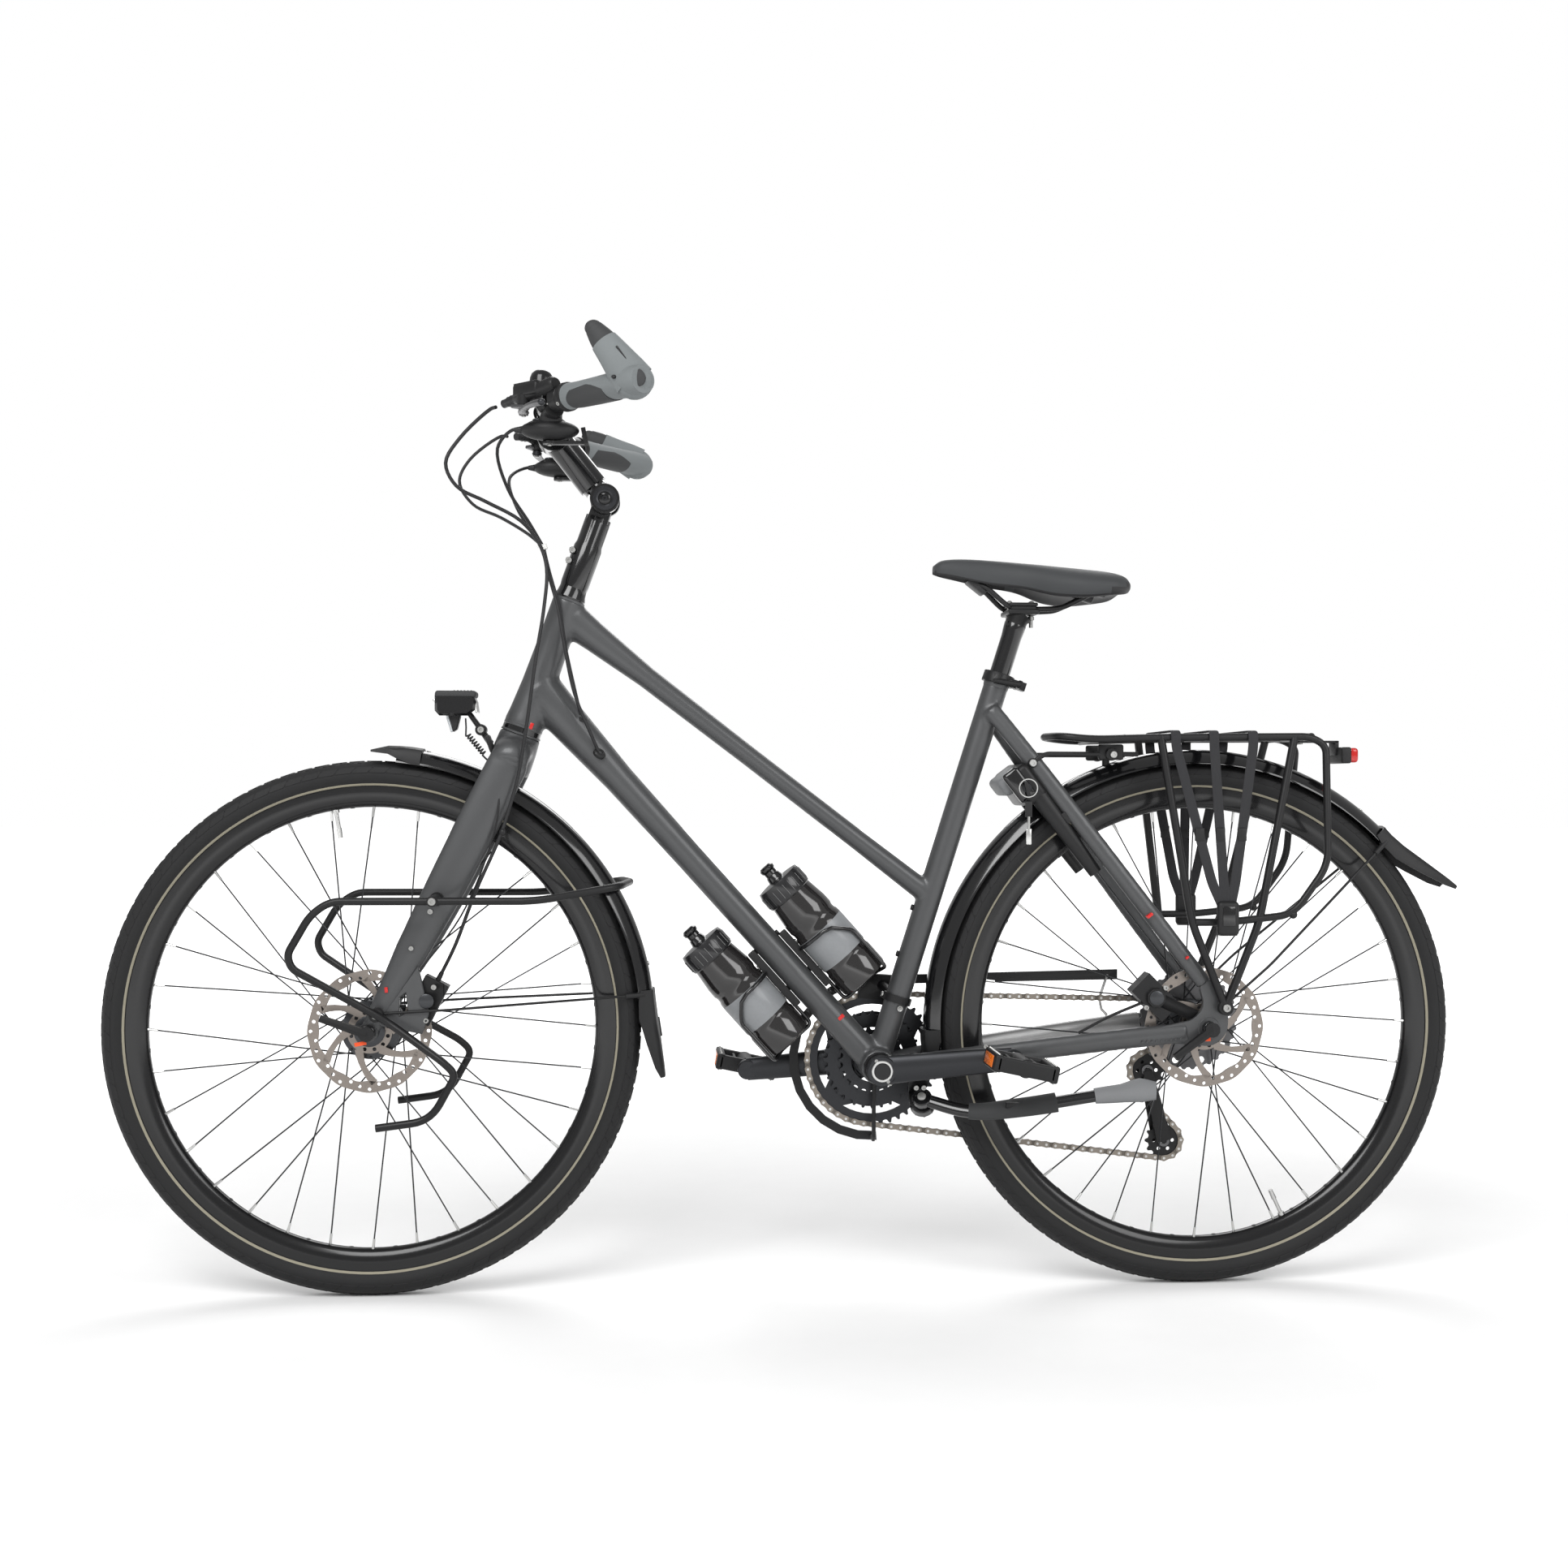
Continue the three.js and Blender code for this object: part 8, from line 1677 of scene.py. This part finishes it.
def build_controls():
    for side, word in ((-1, "left"), (1, "right")):
        way = (bar_end(side) - bar_knee(side)).normalized()
        brake, shift = on_sweep(side, BRAKE_RING), on_sweep(side, SHIFT_RING)
        start, end = cylinder_ends(side)
        pod = shift_pod(side)
        pin_at = bar_at(side, -31, 146, 2.5)
        unit = Shape()
        for spot, half in ((on_sweep(side, 185), 8), (brake, 8)):
            unit.add(
                lathe(
                    [(11.3, -half), (15.4, -half), (16.2, 1 - half), (16.2, half - 1), (15.4, half), (11.3, half)],
                    spot, way, 36, closed=True),
                "satin black")
            unit.bolt(spot + V(-14, 0, -6), V(-0.4, 0, -1), 3, 2.6)
        along = (end - start).normalized()
        unit.add(
            lathe([(0, -2), (8, -2), (10.5, 2), (10.5, 64), (9, 68), (7.4, 72), (0, 72)], start, along, 32),
            "satin black")
        unit.add(
            lathe(
                [(0, 0), (6.6, 0), (7.2, 3), (6.2, 6), (7, 9), (6, 12), (6.6, 15), (5.4, 19), (5.4, 26), (0, 26)],
                start + along * 70, along, 28),
            "cable")
        swing = degrees(atan2(end.y - start.y, end.x - start.x))
        tank = start.lerp(end, 0.4) + V(0, 0, 4.2)
        unit.add(box(tank, (45, 23, 17), 0, swing, 4, 3), "satin black")
        unit.add(box(tank + V(0, 0, 8.2), (42, 20.4, 2), 0, swing, 0.8), "black plastic")
        unit.add(
            lathe(
                [(3, 0), (7.4, 0), (7.4, 3), (6.4, 4), (4.4, 4), (3, 1.4)], tank + V(18, side * 9, 3),
                V(0, side, 0.2), 28, closed=True),
            "drive dark")
        unit.add(box(pin_at + V(-4, side * 2, 7), (24, 12, 5), 8, swing, 1.6), "drive metal")
        for k in (-1, 1):
            unit.bolt(tank + V(along.x * 17 * k, along.y * 17 * k, 9), UP, 2.4, 1)
        unit.add(
            sweep(
                flowing([shift + V(0, 0, -12), shift.lerp(pod, 0.5) + V(0, 0, 2), pod], 5),
                [(12, 9), (13, 10), (16, 12)], 24, across=V(1, 0, 0)),
            "black plastic")
        unit.add(ball(pod, (37, 21, 13), 36), "black plastic")
        unit.add(ball(pod + V(-6, 0, 3.6), (25, 15, 10.6), 28), "satin black")
        unit.add(lathe([(0, 0), (7.4, 0), (7.4, 2), (6, 3), (0, 3)], pod + V(-14, 0, 11.2), UP, 28), "hub dark")
        unit.add(pin(pod, pod - UP * 19, 2.6, sides=16), "bolt steel")
        top = (start.z + end.z) / 2
        unit.add(
            pin(V(pin_at.x, pin_at.y, pin_at.z + 3.9), V(pin_at.x, pin_at.y, top), 7, 9, sides=24, bevel=0.6),
            "satin black")
        unit.add(pin(V(pin_at.x, pin_at.y, pin_at.z - 5), V(pin_at.x, pin_at.y, top), 2.6, sides=16), "bolt steel")
        unit.add(pin(pod + V(-44, 0, 0), pod + V(-30, 0, 0), 3, 6, sides=20), "cable")
        unit.done(word + "_controls_shape", "bar", [word + "_controls"])

        t = radians(74)
        out_way, ahead = V(cos(t), side * sin(t), 0), V(-sin(t), side * cos(t), 0)
        points = [
            pin_at + out_way * run + ahead * lead - UP * (5 * share)
            for run, lead, share in (
                (0, 0, 0), (14, 4, 0.15), (31, 6.4, 0.33), (50, 7.6, 0.5), (66, 7, 0.67), (86, 3.6, 0.86),
                (99, 0, 1))]
        blade = Shape()
        blade.add(
            sweep(
                flowing(points, 4), [(3.2, 7), (3.3, 6), (3.3, 4.6), (3.4, 4.2), (3.6, 4.8), (4, 5.4), (4, 4.6)],
                20, across=UP),
            "drive metal")
        blade.add(pin(pin_at - UP * 3.5, pin_at + UP * 3.5, 6, sides=28, bevel=0.8), "drive dark")
        blade.add(ball(points[-1], (5, 4.6, 4.4), 16), "drive dark")
        blade.done(word + "_brake_lever_shape", word + "_brake_lever", [word + "_brake_lever"])
        refined(word + "_shift_lever", word + "_shift_lever", "satin black", 1.2, 40)

    bell = Shape()
    base = BELL.z + 22.15
    middle = V(BELL.x - 4.35, BELL.y, 0)
    bell.add(
        lathe(
            [(0, 0), (15.5, 0), (16, 1), (16, 15), (15.2, 23), (13, 28.6), (9, 32), (4.6, 33), (0, 33.4)],
            V(middle.x, middle.y, base), UP, 48),
        "rim black")
    bell.add(
        pin(V(middle.x, middle.y, base + 31.5), V(middle.x, middle.y, base + 33), 3.4, sides=20), "satin black")
    bell.add(pin(BELL + UP * 11.6, V(middle.x, middle.y, base + 0.3), 6, sides=24), "satin black")
    ring_way = (bar_knee(-1) - bar_at(-1, 0, 45, 0)).normalized()
    bell.add(
        lathe(
            [(11.5, -6), (14.2, -6), (14.5, -5), (14.5, 5), (14.2, 6), (11.5, 6)], BELL, ring_way, 36, closed=True),
        "satin black")
    bell.done("bell_shape", "bar", ["bell"])
    refined("bell_striker", "bell_striker", "satin black", 0.6, 30)
    refined(
        "headset", "frame", "gloss black", 0.8, 30,
        lambda shape: shape.add(
            lathe([(15.5, 0), (26.2, 0), (26.2, 8.4), (15.5, 8.4)], HEAD(428.3), HEAD_WAY, 44, closed=True),
            "gloss black"))


# Hoses, cables, lamp wire and ties


def build_cables():
    tie = V(221, -14, 984)
    starts = {}
    for side in (-1, 1):
        start, end = cylinder_ends(side)
        way = (end - start).normalized()
        starts["brake", side] = [end - way * 2, end + way * 10]
        pod = shift_pod(side) + V(-37, 0, 0)
        starts["shift", side] = [pod - V(0.3, 0, 0), pod - V(8.8, 0, 0)]
    leg_way = (leg_line(1) - leg_line(0)).normalized()
    top = set_y(FRONT_CALIPER, FRONT_DISC) + leg_way * 29
    route = [
        V(*p)
        for p in (
            (118, -86, 1113), (101, -92, 1080), (114, -88, 1052), (150, -70, 1035), (193, -47, 1014),
            (216, -28, 987), (226, -33, 955), (223, -42, 900), (214, -50, 840), (201, -55, 742), (191, -58, 680),
            (180, -58, 640), (169, -61, 605), (137, -64, 531), (112, -58, 465))]
    hose = Shape()
    line = flowing([*starts["brake", -1], *route, top + leg_way * 12.5, top + leg_way * 0.3], 5)
    hose.add(sweep(line, 2.4, 12), "cable")
    hose.add(pin(top, top + leg_way * 11, 3.6, 3.0, sides=16), "satin black")
    hose.add(ball(V(172, -60.6, 609), (5, 4.4, 5.4), 14), "satin black")
    hose.done("front_brake_hose_shape", "steering", ["front_brake_hose"])

    loom = Shape()
    runs = [
        [
            *starts["brake", 1],
            *(V(*p) for p in ((116, 82, 1115), (102, 78, 1085), (122, 56, 1050), (162, 26, 1028), (200, 2, 1003))),
            tie],
        [*starts["shift", -1], *(V(*p) for p in ((168, -112, 1096), (178, -66, 1052), (203, -30, 1014))), tie],
        [*starts["shift", 1], *(V(*p) for p in ((168, 106, 1094), (182, 52, 1044), (206, 14, 1006))), tie],
        [
            tie,
            *(
                V(*p)
                for p in ((228, -22, 955), (243, -28, 900), (251, -32, 850), (262, -33, 800), (270.5, -24.5, 763)))
        ],
        [
            tie,
            *(
                V(*p)
                for p in (
                    (226, -18, 955), (240, -31, 905), (250, -38, 850), (263, -38, 790), (284, -34, 738),
                    (294, -26.5, 715)))]]
    for run in runs:
        loom.add(sweep(flowing(run, 6), 2.2, 10), "cable")
    loom.add(pin(tie - V(1.2, 0, -3.4), tie + V(1.2, 0, -3.4), 5.2, sides=18, bevel=0.6), "white tie")
    loom.add(box(tie + V(-5, -3, 2), (8, 2, 3), 30, bevel=0.4), "white tie")
    loom.done("cable_loom_shape", "steering", ["cable_loom"])

    # Coiled lamp wire between lamp and hub, and its straight lead
    wire = Shape()
    a, b = V(122, -12, 737), V(144, -14, 711)
    one = (b - a).normalized().orthogonal().normalized() * 3.2
    two = (b - a).normalized().cross(one)
    coil = [a.lerp(b, k / 80) + one * cos(k * pi / 5) + two * sin(k * pi / 5) for k in range(81)]
    wire.add(sweep([V(119, -6, 758), V(120, -10, 746), *coil], 1.1, 6), "cable")
    wire.add(
        sweep(
            flowing(
                [coil[-1], V(160, -36, 690), V(166, -54, 640), V(152, -58, 580), V(118, -60, 500), V(66, -62, 430)],
                6),
            1.2, 8),
        "cable")
    return wire.done("lamp_wire", "steering")


# Stand


def build_stand():
    pivot = V(BRACKET.x + 57, -36, BRACKET.z - 45)
    axis = V(0.1614, 0.768, -0.6198).normalized()
    way = V(0.984, -0.172, 0.043).normalized()
    rise = way.cross(axis)

    def at(run, up):
        return pivot - axis * 7.05 + way * run + rise * up

    leg = Shape()
    leg.add(pin(pivot - axis * 0.3, pivot - axis * 13.8, 13.2, sides=36, bevel=1.4), "gloss black")
    leg.add(pin(pivot - axis * 4.8, pivot + axis * 13, 4.5, sides=20), "bolt steel")
    leg.bolt(pivot - axis * 13.6, -axis, 6, 2.2, "bolt steel")
    upper = flowing([at(0, 0), at(61, -19.8), at(128, -16.2), at(226, -1.8)], 6)
    leg.add(sweep(upper[:8], [(6.3, 9), (6.7, 9.4)], 24, across=axis), "gloss black")
    leg.add(sweep(upper[6:16], [(7.4, 11.4), (8.4, 13.4), (8.8, 14)], 28, across=axis), "grip end")
    leg.add(box(at(122, -16.6) - axis * 7, (26, 3, 8), -3, 10, bevel=1), "satin black")
    leg.add(sweep(upper[14:], [(6.4, 8.4), (6.4, 8.4)], 24, across=axis), "gloss black")
    foot = flowing([at(226, -1.8), at(240, -0.6), at(262, 1.4), at(286, 5), at(306, 3.6)], 4)
    leg.add(sweep(foot, [(6.6, 11), (7.6, 12), (8.2, 13.2), (9.4, 17.4), (8, 12.6)], 28, across=axis), "stand grey")
    leg.done("kickstand_leg_shape", "kickstand", ["kickstand_leg"])

    def housing(shape):
        shape.add(pin(pivot + axis * 0.5, pivot + axis * 12.6, 16.6, sides=40, bevel=1.2), "gloss black")
        for x in (-1, 1):
            shape.bolt(V(pivot.x - 4.5 + x * 5, -46, pivot.z + 20), -ACROSS, 3.4, 2.4)

    refined("kickstand_bracket", "frame", "satin black", 1.0, 30, housing)


# Stage: floor, light and camera


def build_stage():
    bpy.ops.mesh.primitive_plane_add(size=60, location=(0, 0, 0))
    floor = bpy.context.object
    floor.name = "floor"
    paint = FINISHES.material("floor")
    floor.data.materials.append(paint)
    # Far off, the floor glows as white as the backdrop
    nodes, links = paint.node_tree.nodes, paint.node_tree.links
    where, away, fade = (nodes.new("ShaderNode" + kind) for kind in ("TexCoord", "VectorMath", "MapRange"))
    away.operation, fade.interpolation_type = "LENGTH", "SMOOTHSTEP"
    fade.inputs["From Min"].default_value, fade.inputs["From Max"].default_value = 1.1, 3.6
    links.new(where.outputs["Object"], away.inputs[0])
    links.new(away.outputs["Value"], fade.inputs["Value"])
    links.new(fade.outputs["Result"], nodes["Principled BSDF"].inputs["Emission Color"])
    nodes["Principled BSDF"].inputs["Emission Strength"].default_value = 1.0

    # White to the camera, half as bright as a light
    world = bpy.data.worlds.new("Studio")
    bpy.context.scene.world = world
    world.use_nodes = True
    nodes, links = world.node_tree.nodes, world.node_tree.links
    light, seen, mix, ray = nodes["Background"], nodes.new(
        "ShaderNodeBackground"), nodes.new("ShaderNodeMixShader"), nodes.new("ShaderNodeLightPath")
    for node, strength in ((light, 0.5), (seen, 1.0)):
        node.inputs["Color"].default_value = (1, 1, 1, 1)
        node.inputs["Strength"].default_value = strength
    links.new(ray.outputs["Is Camera Ray"], mix.inputs["Fac"])
    links.new(light.outputs["Background"], mix.inputs[1])
    links.new(seen.outputs["Background"], mix.inputs[2])
    links.new(mix.outputs["Shader"], nodes["World Output"].inputs["Surface"])
    for name, place, size, power in (
        ("key", (-1.6, -3.2, 3.6), 2.4, 150), ("fill", (2.6, -2.8, 2.4), 2.0, 60), ("rim", (0.4, 2.8, 3.2), 2.4, 70)
    ):
        data = bpy.data.lights.new(name, "AREA")
        data.energy, data.size = power, size
        lamp = bpy.data.objects.new(name, data)
        lamp.location = place
        lamp.rotation_mode = "QUATERNION"
        lamp.rotation_quaternion = (Vector((0, 0, 0.55)) - Vector(place)).to_track_quat("-Z", "Y")
        bpy.context.scene.collection.objects.link(lamp)

    data = bpy.data.cameras.new("camera")
    data.sensor_width, data.lens = 36, 44.03
    data.clip_start, data.clip_end = 0.05, 100
    camera = bpy.data.objects.new("camera", data)
    yaw, pitch, roll = 0.0713, 0.0027, 0.002
    ahead = Vector((sin(yaw) * cos(pitch), cos(yaw) * cos(pitch), sin(pitch)))
    right = Vector((cos(yaw), -sin(yaw), 0))
    up = right.cross(ahead)
    right, up = right * cos(roll) + up * sin(roll), up * cos(roll) - right * sin(roll)
    turn = Matrix((right, up, -ahead)).transposed().to_4x4()
    turn.translation = PLACE @ Vector((357.8, -2558.3, 665.6))
    camera.matrix_world = turn
    bpy.context.scene.collection.objects.link(camera)
    bpy.context.scene.camera = camera
    bpy.context.scene.view_settings.view_transform = "Standard"


# Tools of the add-on, one for each group of pieces


def tool(word, title, text, build):
    def execute(self, context):
        build()
        return {"FINISHED"}

    return type("BICYCLE_OT_" + word, (bpy.types.Operator,), {
        "__doc__": text, "bl_idname": "bicycle." + word, "bl_label": title, "bl_description": text,
        "bl_options": {"REGISTER", "UNDO"}, "execute": execute})


STEPS = (
    ("frame", "Frame", "Builds the frame's tubes, stays and fittings", build_frame),
    ("fork", "Fork", "Builds the fork with its crown, legs and steerer", build_fork),
    ("wheels", "Wheels", "Builds tyres, rims, spokes, hubs, brake discs and axles", build_wheels),
    ("mudguards", "Mudguards", "Builds both mudguards with stays and flaps", build_mudguards),
    ("racks", "Racks", "Builds the rear rack, its straps and the lowrider rack", build_racks),
    ("lamps", "Lamps", "Builds the head lamp and the tail lamp", build_lamps),
    ("chain", "Chain", "Builds the chain link by link", build_chain),
    ("drive", "Drive", "Builds cranks, rings, pedals, cassette and changers", build_drive),
    ("brakes", "Brakes", "Builds both calipers", build_brakes),
    ("seat", "Seat", "Builds saddle, post, clamp and ring lock", build_seat),
    ("bottles", "Bottles", "Builds both bottles and their cages", build_bottles),
    ("bar", "Bar", "Builds stem, handlebar and grips", build_bar),
    ("controls", "Controls", "Builds brake levers, shifters and bell", build_controls),
    ("cables", "Cables", "Builds hoses, cables and the lamp wire", build_cables),
    ("stand", "Stand", "Builds the side stand", build_stand),
    ("stage", "Stage", "Builds floor, lights and camera", build_stage),
)
TOOLS = [tool(*step) for step in STEPS]


class BICYCLE_PT_panel(bpy.types.Panel):
    """Lists the bicycle's tools and settings."""
    bl_label, bl_idname = "Touring bicycle", "BICYCLE_PT_panel"
    bl_space_type, bl_region_type, bl_category = "VIEW_3D", "UI", "Bicycle"

    def draw(self, context):
        for settings in (context.scene.bicycle_colours, context.scene.bicycle_sizes):
            for name in settings.__annotations__:
                self.layout.prop(settings, name)
        for word, *_ in STEPS:
            self.layout.operator("bicycle." + word)


CLASSES = (BicycleColours, BicycleSizes, *TOOLS, BICYCLE_PT_panel)


def register():
    for made in CLASSES:
        bpy.utils.register_class(made)
    bpy.types.Scene.bicycle_colours = bpy.props.PointerProperty(type=BicycleColours)
    bpy.types.Scene.bicycle_sizes = bpy.props.PointerProperty(type=BicycleSizes)


def unregister():
    del bpy.types.Scene.bicycle_colours, bpy.types.Scene.bicycle_sizes
    for made in reversed(CLASSES):
        bpy.utils.unregister_class(made)


def main():
    register()
    for word, *_ in STEPS:
        getattr(bpy.ops.bicycle, word)()


if __name__ == "__main__":
    main()
